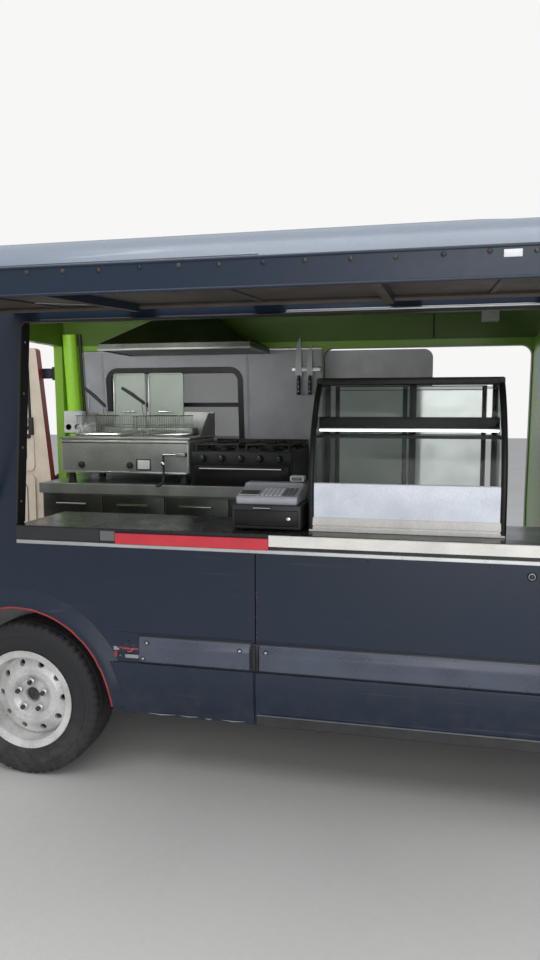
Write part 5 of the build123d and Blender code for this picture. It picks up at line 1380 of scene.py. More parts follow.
class Fryer(bpy.types.Operator):
    """Build the twin fryer with its baskets, lids and drain"""

    bl_idname = "food_truck.fryer"
    bl_label = "Fryer"

    def execute(self, context):
        form = Form()
        rear_x, front_x = FRYER_LOW.x, FRYER_HIGH.x
        face_y, back_y = FRYER_LOW.y, FRYER_HIGH.y
        form.block((rear_x, face_y, FRYER_BASE_Z), (front_x, back_y, FRYER_TOP_Z - 0.010), "stainless",
                   soft=0.016, segments=4)
        form.block((rear_x - 0.004, face_y - 0.004, FRYER_TOP_Z - 0.014),
                   (front_x + 0.004, back_y, FRYER_TOP_Z), "stainless", soft=0.004)
        form.block((rear_x + 0.012, face_y - 0.0012, FRYER_TOP_Z - 0.036), (front_x - 0.012, face_y + 0.004,
                   FRYER_TOP_Z - 0.031), "smoked_steel", soft=0.0005)
        form.block((rear_x + 0.02, face_y - 0.002, FRYER_BASE_Z + 0.002), (front_x - 0.02, face_y + 0.01,
                   FRYER_BASE_Z + 0.014), "aluminium", soft=0.002)
        for x in (rear_x + 0.05, front_x - 0.05):
            for y in (face_y + 0.05, back_y - 0.05):
                form.lathe([(0.0, 0.024), (0.006, 0.026), (0.05, 0.019), (FRYER_BASE_Z - WORKTOP_Z, 0.019)],
                           (x, y, WORKTOP_Z), UP, "black_plastic", segments=20)
        form.block((0.027, face_y - 0.002, 1.262), (0.103, face_y + 0.004, 1.316), "pale_plastic",
                   soft=0.0015)
        form.block((0.018, face_y - 0.001, 1.254), (0.112, face_y + 0.003, 1.324), "smoked_steel",
                   soft=0.001)
        for x in (-0.33, -0.02):
            form.lathe([(0.0, 0.020), (0.010, 0.020), (0.022, 0.015), (0.024, 0.012), (0.024, 0.0)],
                       (x, face_y, 1.285), TO_RIGHT, "black_plastic", segments=24)
            form.block((x - 0.0025, face_y - 0.028, 1.270), (x + 0.0025, face_y - 0.02, 1.300),
                       "black_plastic", soft=0.001)
        form.block((rear_x, back_y - 0.012, FRYER_TOP_Z), (front_x, back_y, FRYER_HIGH.z - 0.25),
                   "stainless")
        for x in (rear_x, front_x - 0.006):
            form.plate([(face_y + 0.2, FRYER_TOP_Z), (back_y, FRYER_TOP_Z), (back_y, FRYER_TOP_Z + 0.14),
                        (back_y - 0.12, FRYER_TOP_Z + 0.14)], x, x + 0.006, 0, "stainless")
        self.wells(form, face_y, back_y)
        self.lids(form, back_y)
        self.baskets(form, face_y)
        self.drain(form, face_y)
        form.piece("fryer_built", "root", "steel", replaces=("fryer",))
        return {"FINISHED"}

    def wells(self, form, face_y, back_y):
        """Rims and dark oil of the two tanks."""
        for low_x, high_x in ((-0.41, -0.10), (-0.04, 0.27)):
            outline = rounded_outline((low_x, face_y + 0.05), (high_x, face_y + 0.36), 0.03)
            inner = rounded_outline((low_x + 0.012, face_y + 0.062), (high_x - 0.012, face_y + 0.348),
                                    0.022)
            levels = ((outline, -0.002), (outline, 0.004), (inner, 0.004), (inner, 0.0006))
            form.loft([[(x, y, FRYER_TOP_Z + rise) for x, y in points] for points, rise in levels],
                      "stainless")
            form.plate(inner, FRYER_TOP_Z + 0.0004, FRYER_TOP_Z + 0.0016, 2, "cooking_oil")
        form.block((-0.36, face_y + 0.38, FRYER_TOP_Z), (0.24, back_y - 0.02, FRYER_TOP_Z + 0.05),
                   "stainless", soft=0.008)

    def lids(self, form, back_y):
        """Two lids stood on edge against the back, each with its folded rim and handle."""
        for low_x, high_x in ((-0.34, -0.115), (-0.095, 0.145)):
            outline = rounded_outline((low_x, FRYER_TOP_Z + 0.02), (high_x, FRYER_HIGH.z), 0.018)
            inner = rounded_outline((low_x + 0.010, FRYER_TOP_Z + 0.03),
                                    (high_x - 0.010, FRYER_HIGH.z - 0.010), 0.014)
            y = back_y - 0.022
            rings = [[(x, y + 0.012, z) for x, z in outline], [(x, y, z) for x, z in outline],
                     [(x, y - 0.001, z) for x, z in inner], [(x, y + 0.004, z) for x, z in inner]]
            form.loft(rings, "lid_steel")
            form.block((low_x - 0.002, y - 0.003, FRYER_TOP_Z + 0.05),
                       (low_x + 0.006, y + 0.004, FRYER_HIGH.z - 0.03), "aluminium", soft=0.001)
            middle = (low_x + high_x) / 2
            form.pull((middle - 0.04, middle + 0.04), (y + 0.003, y - 0.018), 1.60, 0.004)

    def baskets(self, form, face_y):
        """Wire baskets hung up to drain, with their grips."""
        near_y, far_y = face_y + 0.07, face_y + 0.34
        low_z, high_z = FRYER_TOP_Z + 0.012, FRYER_TOP_Z + 0.125
        for low_x, high_x, grip in ((-0.40, -0.11, ((-0.198, 1.64), (-0.299, 1.742))),
                                    (-0.03, 0.26, ((0.052, 1.655), (-0.061, 1.74)))):
            for z, radius in ((low_z, 0.0016), ((low_z + high_z) / 2, 0.0011), (high_z, 0.0028)):
                corners = [(low_x, near_y, z), (high_x, near_y, z), (high_x, far_y, z), (low_x, far_y, z)]
                for first, second in zip(corners, corners[1:] + corners[:1]):
                    form.tube([first, second], radius, "chrome", segments=6)
            pitch, wires = 0.0145, []
            for step in range(int((high_x - low_x) / pitch)):
                x = low_x + (step + 1) * pitch - 0.003
                wires.append([(x, near_y, high_z), (x, near_y, low_z), (x, far_y, low_z),
                              (x, far_y, high_z)])
            for step in range(int((far_y - near_y) / pitch)):
                y = near_y + (step + 1) * pitch - 0.003
                wires.append([(low_x, y, high_z), (low_x, y, low_z), (high_x, y, low_z),
                              (high_x, y, high_z)])
            for wire in wires:
                form.tube(wire, 0.0009, "chrome", segments=5)
            (foot_x, foot_z), (tip_x, tip_z) = grip
            for spread in (-0.012, 0.012):
                form.tube([(foot_x + spread, near_y, high_z),
                           (foot_x + spread, near_y - 0.02, foot_z - 0.03),
                           (foot_x + spread * 0.4, near_y - 0.03, foot_z)], 0.0025, "chrome", segments=8)
            form.tube([(foot_x + 0.01, near_y - 0.028, foot_z - 0.01), (foot_x, near_y - 0.03, foot_z),
                       ((foot_x + tip_x) / 2, near_y - 0.055, (foot_z + tip_z) / 2 + 0.004),
                       (tip_x, near_y - 0.08, tip_z)], [0.006, 0.0095, 0.011, 0.009], "black_plastic",
                      segments=12)

    def drain(self, form, face_y):
        """Drain pipe in front of the right tank, with its lever."""
        y, pipe_x, top_z = face_y - 0.055, 0.21, 1.352
        form.tube([(pipe_x, face_y + 0.01, top_z), (pipe_x, y, top_z), (0.345, y, 1.354)], 0.007, "chrome",
                  segments=12)
        form.tube([(pipe_x, y, 1.346), (pipe_x, y, 1.21), (0.205, y, 1.19), (0.185, y, 1.176),
                   (0.165, y, 1.172)], [0.007, 0.007, 0.008, 0.009, 0.009], "cast_iron", segments=12)
        form.block((0.285, y - 0.012, 1.34), (0.345, y + 0.03, 1.366), "stainless", soft=0.006)
        form.lathe([(0.0, 0.012), (0.016, 0.012), (0.018, 0.009), (0.018, 0.0)], (pipe_x, y - 0.008, 1.30),
                   TO_RIGHT, "chrome", segments=16)


class HobAndHood(bpy.types.Operator):
    """Fit the hob's knobs and grates and the hood's lip and filters"""

    bl_idname = "food_truck.hob_and_hood"
    bl_label = "Hob and hood"

    def execute(self, context):
        self.hob()
        self.hood()
        return {"FINISHED"}

    def hob(self):
        """Front panels, rail, knobs, back edge and four burners."""
        form = Form()
        rear_x, front_x, face_y, back_y = HOB_LOW.x, HOB_HIGH.x, HOB_LOW.y, HOB_HIGH.y
        top_z = HOB_HIGH.z - 0.014
        form.block((rear_x + 0.004, face_y - 0.006, top_z - 0.075),
                   (front_x - 0.004, face_y, top_z - 0.004), "black_plastic", soft=0.004)
        form.block((rear_x + 0.02, face_y - 0.010, WORKTOP_Z + 0.012),
                   (front_x - 0.02, face_y, top_z - 0.085), "black_paint", soft=0.006)
        form.pull((rear_x + 0.06, front_x - 0.06), (face_y - 0.008, face_y - 0.034), top_z - 0.098, 0.006)
        for index in range(5):
            x = rear_x + 0.075 + index * 0.112
            form.lathe([(0.0, 0.024), (0.004, 0.024), (0.006, 0.0195), (0.026, 0.0165), (0.028, 0.014),
                        (0.028, 0.0)], (x, face_y - 0.005, top_z - 0.040), TO_RIGHT, "black_plastic",
                       segments=24)
            form.block((x - 0.0015, face_y - 0.0345, top_z - 0.036),
                       (x + 0.0015, face_y - 0.032, top_z - 0.026), "pale_plastic", soft=0.0004)
        form.block((rear_x, back_y - 0.02, top_z), (front_x, back_y, top_z + 0.05), "black_paint",
                   soft=0.004)
        pitch = (front_x - rear_x) / 2
        for column in range(2):
            middle_x = rear_x + (column + 0.5) * pitch
            for middle_y in (face_y + 0.15, back_y - 0.145):
                self.grate(form, middle_x, middle_y, top_z)
        form.piece("hob_fittings", "root", "black_metal")

    def grate(self, form, x, y, top_z):
        """Burner cap and the cast support over it."""
        form.lathe([(0.014, 0.048), (0.020, 0.050), (0.026, 0.046), (0.028, 0.0)], (x, y, top_z), UP,
                   "cast_iron", segments=24)
        half, z = 0.125, top_z + 0.036
        corners = [(x - half, y - half, z), (x + half, y - half, z), (x + half, y + half, z),
                   (x - half, y + half, z)]
        for near, far in zip(corners, corners[1:] + corners[:1]):
            form.tube([near, far], 0.0055, "cast_iron", segments=8)
        for turn in range(4):
            angle = turn * math.pi / 2
            way = Vector((math.cos(angle), math.sin(angle), 0.0))
            form.tube([Vector((x, y, z)) + way * half, Vector((x, y, z + 0.004)) + way * 0.03], 0.005,
                      "cast_iron", segments=8)
            corner = Vector((x, y, z)) + way * half + Vector((-way.y, way.x, 0.0)) * half
            form.tube([corner, corner - Vector((0.0, 0.0, 0.034))], 0.006, "cast_iron", segments=8)

    def hood(self):
        """Lip round the lower edge and the slatted filters inside it."""
        form = Form()
        low, high = van_box("hood")
        lip_top = low.z + 0.035
        for x, y in (((low.x - 0.003, high.x + 0.003), (low.y - 0.003, low.y + 0.001)),
                     ((low.x - 0.003, low.x + 0.001), (low.y, high.y)),
                     ((high.x - 0.001, high.x + 0.003), (low.y, high.y))):
            form.block((x[0], y[0], low.z - 0.003), (x[1], y[1], lip_top - 0.026), "stainless", soft=0.001)
        form.tube([(low.x, high.y, low.z - 0.001), (low.x, low.y, low.z - 0.001),
                   (high.x, low.y, low.z - 0.001), (high.x, high.y, low.z - 0.001)], 0.0032, "chrome",
                  segments=8)
        count = 3
        width = (high.x - low.x - 0.05) / count
        for index in range(count):
            start = low.x + 0.025 + index * width
            form.block((start, low.y + 0.02, low.z + 0.006),
                       (start + width - 0.008, high.y - 0.02, low.z + 0.014), "aluminium", soft=0.002)
            for slat in range(14):
                x = start + 0.012 + slat * (width - 0.03) / 13
                form.block((x - 0.003, low.y + 0.03, low.z + 0.001),
                           (x + 0.003, high.y - 0.03, low.z + 0.007), "stainless", soft=0.001, segments=1)
        form.piece("hood_lip_and_filters", "root", "steel")


class Kitchen(bpy.types.Operator):
    """Dress the units, wall sheet, knives, socket and ceiling fittings"""

    bl_idname = "food_truck.kitchen"
    bl_label = "Kitchen fittings"

    def execute(self, context):
        self.units()
        self.wall()
        self.knives()
        self.small_boxes()
        return {"FINISHED"}

    def units(self):
        """Cupboard doors, plinth and worktop edge of the far units."""
        form = Form()
        low, high = van_box("kitchen_units")
        face_y = low.y + 0.02
        count, plinth_z, handle_z = 4, 0.66, 1.05
        width = (high.x - low.x - 0.04) / count
        for index in range(count):
            start = low.x + 0.02 + index * width
            # Cupboard doors in the dark steel, darkened partly as painted shade under the worktop
            form.block((start + 0.003, face_y - 0.016, plinth_z),
                       (start + width - 0.003, face_y, WORKTOP_Z - 0.072), "smoked_steel", soft=0.003)
            form.pull((start + 0.10, start + width - 0.10), (face_y - 0.014, face_y - 0.038), handle_z,
                      0.005)
        form.bar([(low.y - 0.004, WORKTOP_Z - 0.060), (low.y - 0.004, WORKTOP_Z - 0.002),
                  (low.y - 0.001, WORKTOP_Z + 0.0015), (low.y + 0.02, WORKTOP_Z + 0.0015),
                  (low.y + 0.004, WORKTOP_Z - 0.002), (low.y + 0.004, WORKTOP_Z - 0.060)],
                 low.x - 0.001, high.x + 0.001, "stainless")
        form.block((low.x + 0.03, face_y + 0.03, 0.562), (high.x - 0.03, face_y + 0.045, 0.655),
                   "black_plastic")
        form.piece("unit_fronts", "root", "steel")

    def wall(self):
        """Joint strips, top trim and screws of the wall sheet."""
        form = Form()
        skin = Skin("lining")
        top_z = 1.995
        for x, start in ((-0.455, 1.46), (0.555, 1.20), (1.036, 1.20), (-0.588, 1.20)):
            for side_x in (x - 0.009, x + 0.001):
                path = [skin.touch((x if abs(x) < 0.56 else x * 0.99, 0.5, z), TO_LEFT, 0.0006)
                        for z in evenly(start, top_z, 8)]
                form.tube([Vector((side_x, point.y, point.z)) for point in path], 0.0022, "wall_sheet",
                          segments=6)
            for z in evenly(start + 0.05, top_z - 0.05, 4):
                place = skin.touch((x if abs(x) < 0.56 else x * 0.98, 0.5, z), TO_LEFT)
                form.bolt((x + 0.012 if x < 1.0 else x - 0.014, place.y, z), TO_RIGHT, "aluminium",
                          radius=0.003, height=0.0014)
        top = skin.touch((0.5, 0.5, 1.994), TO_LEFT)
        form.block((-0.592, top.y - 0.004, 1.990), (1.042, top.y + 0.006, 2.004), "aluminium", soft=0.0015)
        window = van_box("side_glass")
        latch = Vector((0.212, window[0].y - 0.012, 1.412))
        form.block(latch - Vector((0.014, 0.008, 0.028)), beside(latch, 0.014, 0.012, 0.020),
                   "black_plastic", soft=0.004)
        form.lathe([(0.0, 0.010), (0.012, 0.010), (0.020, 0.014), (0.026, 0.012), (0.028, 0.0)],
                   latch - Vector((0.0, 0.004, 0.0)), (0.0, -1.0, 0.2), "black_plastic", segments=20)
        form.piece("wall_joints", "root", "lining")

    def knives(self):
        """Magnet rail with two cook's knives, points up."""
        form = Form()
        skin = Skin("lining", "side_left", "roof")
        rail = skin.touch((0.9, 0.5, 1.867), TO_LEFT)
        form.block((0.845, rail.y - 0.014, 1.852), (1.03, rail.y, 1.884), "aluminium", soft=0.003)
        for x, tip_z, width in ((0.885, 2.075, 0.050), (0.958, 2.035, 0.044)):
            heel_z = 1.822
            y = rail.y - 0.0165
            outline = [(x - width * 0.35, heel_z), (x - width * 0.38, tip_z - 0.16),
                       (x - width * 0.15, tip_z - 0.05), (x + width * 0.32, tip_z),
                       (x + width * 0.45, tip_z - 0.10), (x + width * 0.5, heel_z)]
            form.plate(outline, y - 0.0012, y + 0.0012, 1, "knife_steel")
            form.lathe([(0.0, 0.009), (0.012, 0.009), (0.016, 0.011), (0.06, 0.0125), (0.10, 0.011),
                        (0.116, 0.0135), (0.122, 0.010), (0.123, 0.0)],
                       (x + width * 0.1, y, heel_z + 0.006), DOWN, "black_plastic", segments=18)
            for drop in (0.035, 0.065, 0.095):
                form.bolt((x + width * 0.1, y - 0.011, heel_z - drop), TO_RIGHT, "aluminium", radius=0.003,
                          height=0.0015)
        form.piece("knives", "root", "steel")

    def small_boxes(self):
        """Rear pillar cover with a painted shadow beside it, socket box on the rear pillar, ceiling lamp
        and cable duct.
        """
        form = Form()
        skin = Skin("side_left", "roof")
        pillar = Form()
        path = [beside(skin.touch((-0.676, 0.4, z), TO_LEFT), 0.0, -0.028, 0.0)
                for z in evenly(1.176, 2.116, 10)]
        # The pillar cover's lime is brightened as painted light from the rear doorway
        pillar.tube(path, 0.046, "lime_cover", segments=24)
        # Black rod between the pillar and the wall sheet: painted shadow in the gap
        pillar.tube([beside(point, 0.066, 0.018, 0.0) for point in path], 0.012, "black_plastic",
                    segments=12)
        pillar.piece("rear_pillar_cover", "root", "lining", angle=50.0)
        wall_y = skin.touch((-0.68, 0.4, 1.53), TO_LEFT).y - 0.045
        form.block((-0.728, wall_y - 0.055, 1.455), (-0.59, wall_y + 0.004, 1.605), "pale_plastic",
                   soft=0.008, segments=3)
        form.block((-0.720, wall_y - 0.058, 1.53), (-0.598, wall_y - 0.05, 1.598), "pale_plastic",
                   soft=0.003)
        for x in (-0.692, -0.626):
            form.lathe([(0.0, 0.021), (0.003, 0.021), (0.003, 0.018), (-0.004, 0.017), (-0.004, 0.0)],
                       (x, wall_y - 0.055, 1.495), TO_RIGHT, "grey_plastic", segments=24)
        lamp_y = skin.touch((2.045, 0.4, 2.177), TO_LEFT).y
        form.block((1.995, lamp_y - 0.05, 2.13), (2.095, lamp_y + 0.01, 2.222), "pale_plastic", soft=0.006,
                   segments=3)
        for index in range(6):
            x = 2.008 + index * 0.0145
            form.block((x, lamp_y - 0.0525, 2.198), (x + 0.006, lamp_y - 0.048, 2.214), "black_plastic",
                       soft=0.0005)
        duct_y = skin.touch((-0.715, 0.4, 1.75), TO_LEFT).y
        form.block((-0.575, duct_y - 0.016, 1.62), (-0.569, duct_y, 1.99), "pale_plastic", soft=0.002)
        seam_y = skin.touch((1.72, 0.3, 2.12), TO_LEFT).y
        form.tube([(1.72, seam_y - 0.001, 2.05), (1.72, seam_y - 0.002, 2.12), (1.72, seam_y - 0.008, 2.2)],
                  0.004, "black_paint", segments=8)
        form.piece("small_boxes", "root", "trim")


def circle_through(first, second, third):
    """Centre and radius of the circle through three flat points."""
    (ax, ay), (bx, by), (cx, cy) = first, second, third
    scale = 2 * (ax * (by - cy) + bx * (cy - ay) + cx * (ay - by))
    a, b, c = ax * ax + ay * ay, bx * bx + by * by, cx * cx + cy * cy
    x = (a * (by - cy) + b * (cy - ay) + c * (ay - by)) / scale
    y = (a * (cx - bx) + b * (ax - cx) + c * (bx - ax)) / scale
    return x, y, math.hypot(ax - x, ay - y)


CASE_FACE_Y = -0.885
CASE_FRAME = 0.022
CASE_BASE_Z = COUNTER_TOP_Z + 0.11
CASE_LEAN = 0.21
CASE_TOP_Y = CASE_FACE_Y + CASE_LEAN
CASE_ARC = circle_through(
    (CASE_FACE_Y, CASE_BASE_Z),
    (CASE_FACE_Y + 0.045, COUNTER_TOP_Z + 0.62 * (CASE_HIGH.z - COUNTER_TOP_Z)),
    (CASE_TOP_Y, CASE_HIGH.z - CASE_FRAME),
)


def case_front_y(z):
    """The case's curved front at a height."""
    centre_y, centre_z, radius = CASE_ARC
    if z < CASE_BASE_Z:
        return CASE_FACE_Y
    return centre_y - math.sqrt(radius ** 2 - (z - centre_z) ** 2)


class DisplayCase(bpy.types.Operator):
    """Fit the display case's panels, rims, lights, rails and rear doors"""

    bl_idname = "food_truck.display_case"
    bl_label = "Display case"

    def execute(self, context):
        form = Form()
        rear_x, front_x, back_y = CASE_LOW.x, CASE_HIGH.x, CASE_HIGH.y
        inner = (rear_x + CASE_FRAME + 0.001, front_x - CASE_FRAME - 0.001)
        self.front_panel(form, inner)
        self.side_rims(form, rear_x, front_x)
        form.block((inner[0], CASE_TOP_Y - 0.028, CASE_HIGH.z - 0.026),
                   (inner[1], CASE_TOP_Y - 0.006, CASE_HIGH.z + 0.002), "black_paint", soft=0.005)
        form.block((rear_x + 0.004, CASE_TOP_Y - 0.006, CASE_HIGH.z), (front_x - 0.004, back_y - 0.004,
                   CASE_HIGH.z + 0.003), "black_paint", soft=0.001)
        shelf_edge = CASE_FACE_Y + 0.128
        form.tube([(x, shelf_edge, CASE_SHELF_Z - 0.004) for x in (inner[0] + 0.002, inner[1] - 0.002)],
                  0.0042, "lit_strip", segments=10)
        form.block((inner[0], shelf_edge + 0.002, CASE_SHELF_Z - 0.004), (inner[1], shelf_edge + 0.016,
                   CASE_SHELF_Z + 0.014), "aluminium", soft=0.002)
        form.block((inner[0], shelf_edge - 0.004, CASE_SHELF_Z + 0.004), (inner[1], shelf_edge + 0.001,
                   CASE_SHELF_Z + 0.050), "black_paint", soft=0.002)
        form.block((inner[0], CASE_FACE_Y + 0.03, CASE_BASE_Z + 0.0005),
                   (inner[1], back_y - 0.024, CASE_BASE_Z + 0.006), "stainless", soft=0.001)
        self.rear_doors(form, inner, back_y)
        self.deck_rails(form, inner, back_y)
        form.piece("case_fittings", "root", "case_frame")
        return {"FINISHED"}

    def front_panel(self, form, inner):
        """Off-white ribbed base strip and the pale curved panel over it."""
        step_z = 1.183
        face = CASE_FACE_Y
        section = [(face + 0.004, COUNTER_TOP_Z + 0.001), (face - 0.004, COUNTER_TOP_Z + 0.001),
                   (face - 0.0055, COUNTER_TOP_Z + 0.016), (face - 0.003, COUNTER_TOP_Z + 0.018),
                   (face - 0.003, COUNTER_TOP_Z + 0.024), (face - 0.0055, COUNTER_TOP_Z + 0.026),
                   (face - 0.0045, step_z - 0.002), (face - 0.002, step_z), (face + 0.004, step_z)]
        form.bar(section, CASE_LOW.x + 0.004, CASE_HIGH.x - 0.004, "white_strip")
        top_z = 1.321
        levels = evenly(step_z, top_z, 10)
        bulge = 0.0012
        swell = [math.sin(math.pi * (z - step_z) / (top_z - step_z)) for z in levels]
        outer = [(case_front_y(z) - bulge - bulge * share, z) for z, share in zip(levels, swell)]
        back = [(case_front_y(z) + 0.0016, z) for z in reversed(levels)]
        form.bar(outer + back, inner[0], inner[1], "case_panel")
        form.tube([(inner[0], case_front_y(top_z) - 0.001, top_z),
                   (inner[1], case_front_y(top_z) - 0.001, top_z)], 0.002, "aluminium", segments=8)

    def side_rims(self, form, rear_x, front_x):
        """Rounded rims along the curved edges of the side frames."""
        levels = evenly(CASE_BASE_Z - 0.1, CASE_HIGH.z - CASE_FRAME, 24)
        for x in (rear_x + CASE_FRAME / 2, front_x - CASE_FRAME / 2):
            path = [(x, case_front_y(z) + 0.004, z) for z in levels]
            path += [(x, CASE_TOP_Y + 0.02, CASE_HIGH.z - 0.008), (x, CASE_HIGH.y - 0.01,
                     CASE_HIGH.z - 0.008)]
            form.tube(path, CASE_FRAME / 2 + 0.0012, "black_paint", segments=12)

    def rear_doors(self, form, inner, back_y):
        """Two sliding panes at the back with their frames."""
        middle = (inner[0] + inner[1]) / 2
        low_z, high_z = CASE_BASE_Z + 0.008, CASE_HIGH.z - CASE_FRAME - 0.002
        for low_x, high_x, y in ((inner[0] + 0.03, middle + 0.03, back_y - 0.016),
                                 (middle - 0.03, inner[1] - 0.03, back_y - 0.008)):
            frame_bars = ((low_x, low_x + 0.02, low_z, high_z), (high_x - 0.02, high_x, low_z, high_z),
                          (low_x, high_x, low_z, low_z + 0.02), (low_x, high_x, high_z - 0.02, high_z))
            for left, right, bottom, top in frame_bars:
                form.block((left, y - 0.003, bottom), (right, y + 0.003, top), "black_plastic", soft=0.001)
            form.block((low_x + 0.018, y - 0.0015, low_z + 0.018),
                       (high_x - 0.018, y + 0.0015, high_z - 0.018), "clear_glass", soft=0.0005)

    def deck_rails(self, form, inner, back_y):
        """Wire shelf bars over the case's floor."""
        z = CASE_BASE_Z + 0.035
        for y in (CASE_FACE_Y + 0.07, back_y - 0.06):
            form.tube([(inner[0] + 0.004, y, z), (inner[1] - 0.004, y, z)], 0.003, "chrome", segments=8)
        for x in evenly(inner[0] + 0.01, inner[1] - 0.01, 44):
            form.tube([(x, CASE_FACE_Y + 0.06, z + 0.004), (x, back_y - 0.05, z + 0.004)], 0.0013, "chrome",
                      segments=5)


class Till(bpy.types.Operator):
    """Build the cash drawer, the register on it and the card terminal"""

    bl_idname = "food_truck.till"
    bl_label = "Till"

    def execute(self, context):
        form = Form()
        low, high = van_box("till")
        drawer_top = COUNTER_TOP_Z + 0.105
        form.block(beside(low, 0.0, 0.0, 0.006), (high.x, high.y, drawer_top), "black_plastic", soft=0.006,
                   segments=3)
        for x in (low.x + 0.03, high.x - 0.03):
            for y in (low.y + 0.03, high.y - 0.03):
                form.lathe([(0.0, 0.011), (0.009, 0.013)], (x, y, COUNTER_TOP_Z), UP, "rubber", segments=16)
        form.block((low.x + 0.012, low.y - 0.004, low.z + 0.02),
                   (high.x - 0.012, low.y + 0.004, drawer_top - 0.022), "black_paint", soft=0.003)
        middle = (low.x + high.x) / 2
        handle_z = drawer_top - 0.012
        form.pull((middle - 0.05, middle + 0.02), (low.y + 0.002, low.y - 0.012), handle_z, 0.0035)
        form.lathe([(0.0, 0.008), (0.003, 0.008), (0.004, 0.006), (0.004, 0.0)],
                   (high.x - 0.05, low.y - 0.003, low.z + 0.05), TO_RIGHT, "chrome", segments=18)
        self.key_unit(form, low, high, drawer_top)
        self.terminal(form, high)
        form.piece("till_built", "root", "till", replaces=("till",))
        return {"FINISHED"}

    def key_unit(self, form, low, high, drawer_top):
        """Grey wedge with its sloping key field and display."""
        start_x, end_x = low.x + 0.012, high.x - 0.02
        near_y = low.y + 0.018
        profile = [(near_y + 0.004, drawer_top), (near_y, drawer_top + 0.006), (near_y, drawer_top + 0.024),
                   (near_y + 0.006, drawer_top + 0.032), (near_y + 0.15, drawer_top + 0.058),
                   (near_y + 0.165, drawer_top + 0.072), (near_y + 0.225, drawer_top + 0.072),
                   (near_y + 0.235, drawer_top + 0.060), (near_y + 0.235, drawer_top)]
        rings = []
        middle_y, middle_z = near_y + 0.12, drawer_top + 0.02
        for x, share in ((start_x, 0.94), (start_x + 0.004, 0.985), (start_x + 0.010, 1.0),
                         (end_x - 0.010, 1.0), (end_x - 0.004, 0.985), (end_x, 0.94)):
            rings.append([(x, middle_y + (y - middle_y) * share,
                           max(middle_z + (z - middle_z) * share, drawer_top)) for y, z in profile])
        form.loft(rings, "till_plastic")
        slope = Vector((0.0, 0.144, 0.026)).normalized()
        lift = Vector((0.0, -slope.z, slope.y))
        field = Vector((start_x, near_y + 0.006, drawer_top + 0.032))
        key_size = 0.0135
        pitch = key_size + 0.0045
        for row in range(6):
            for column in range(8):
                corner = field + slope * (0.010 + row * pitch) + Vector((0.10 + column * pitch, 0.0, 0.0))
                if corner.x + key_size > end_x - 0.008:
                    continue
                next_corner = beside(corner, key_size, 0.0, 0.0)
                ring = [corner, next_corner, next_corner + slope * key_size, corner + slope * key_size]
                top = [point + lift * 0.004 for point in ring]
                middle = sum(top, Vector()) / 4
                form.loft([ring, [middle + (point - middle) * 0.82 for point in top]],
                          "pale_plastic" if column < 5 else "grey_plastic")
        corner = field + slope * 0.018 + Vector((0.012, 0.0, 0.0))
        across, along = Vector((0.078, 0.0, 0.0)), slope * 0.055
        for grow, rise, finish_name in ((0.004, 0.0022, "pale_plastic"), (0.0, 0.003, "display")):
            start = corner - Vector((grow, 0.0, 0.0)) - slope * grow
            wide, deep = beside(across, 2 * grow, 0.0, 0.0), along + slope * 2 * grow
            ring = [start, start + wide, start + wide + deep, start + deep]
            form.loft([ring, [point + lift * rise for point in ring]], finish_name)

    def terminal(self, form, high):
        """Small pale card terminal on the register's back."""
        base = Vector((high.x - 0.085, high.y - 0.125, high.z))
        form.block_at(base, (0.0, 0.0, 0.001), (0.062, 0.05, 0.026), "pale_plastic", soft=0.006,
                   segments=3)
        form.block_at(base, (0.008, -0.002, 0.006), (0.054, 0.004, 0.020), "grey_plastic",
                   soft=0.002)


CORNERS = {"rear_right": (0.0, -1), "rear_left": (0.0, 1), "front_right": (WHEELBASE, -1),
           "front_left": (WHEELBASE, 1)}


def tyre_profile(depth):
    """Half of a tyre's closed section: (out from its middle, radius, carries cross grooves)."""
    tread = [(0.094, 0.3325, 1), (0.086, 0.3395, 1), (0.0655, 0.3415, 1), (0.0650, 0.3415 - depth, 0),
             (0.0560, 0.3415 - depth, 0), (0.0555, 0.3420, 0), (0.0265, 0.3428, 0),
             (0.0260, 0.3428 - depth, 0), (0.0170, 0.3428 - depth, 0), (0.0165, 0.3430, 0)]
    wall = [(0.080, 0.2125, 0), (0.088, 0.2135, 0), (0.092, 0.222, 0), (0.0985, 0.240, 0),
            (0.1005, 0.2405, 0), (0.1010, 0.2445, 0), (0.1005, 0.2450, 0), (0.1045, 0.262, 0),
            (0.1068, 0.284, 0), (0.1080, 0.2845, 0), (0.1080, 0.2875, 0), (0.1065, 0.288, 0),
            (0.1045, 0.306, 0), (0.1035, 0.3065, 0), (0.1010, 0.319, 0)]
    return wall + tread


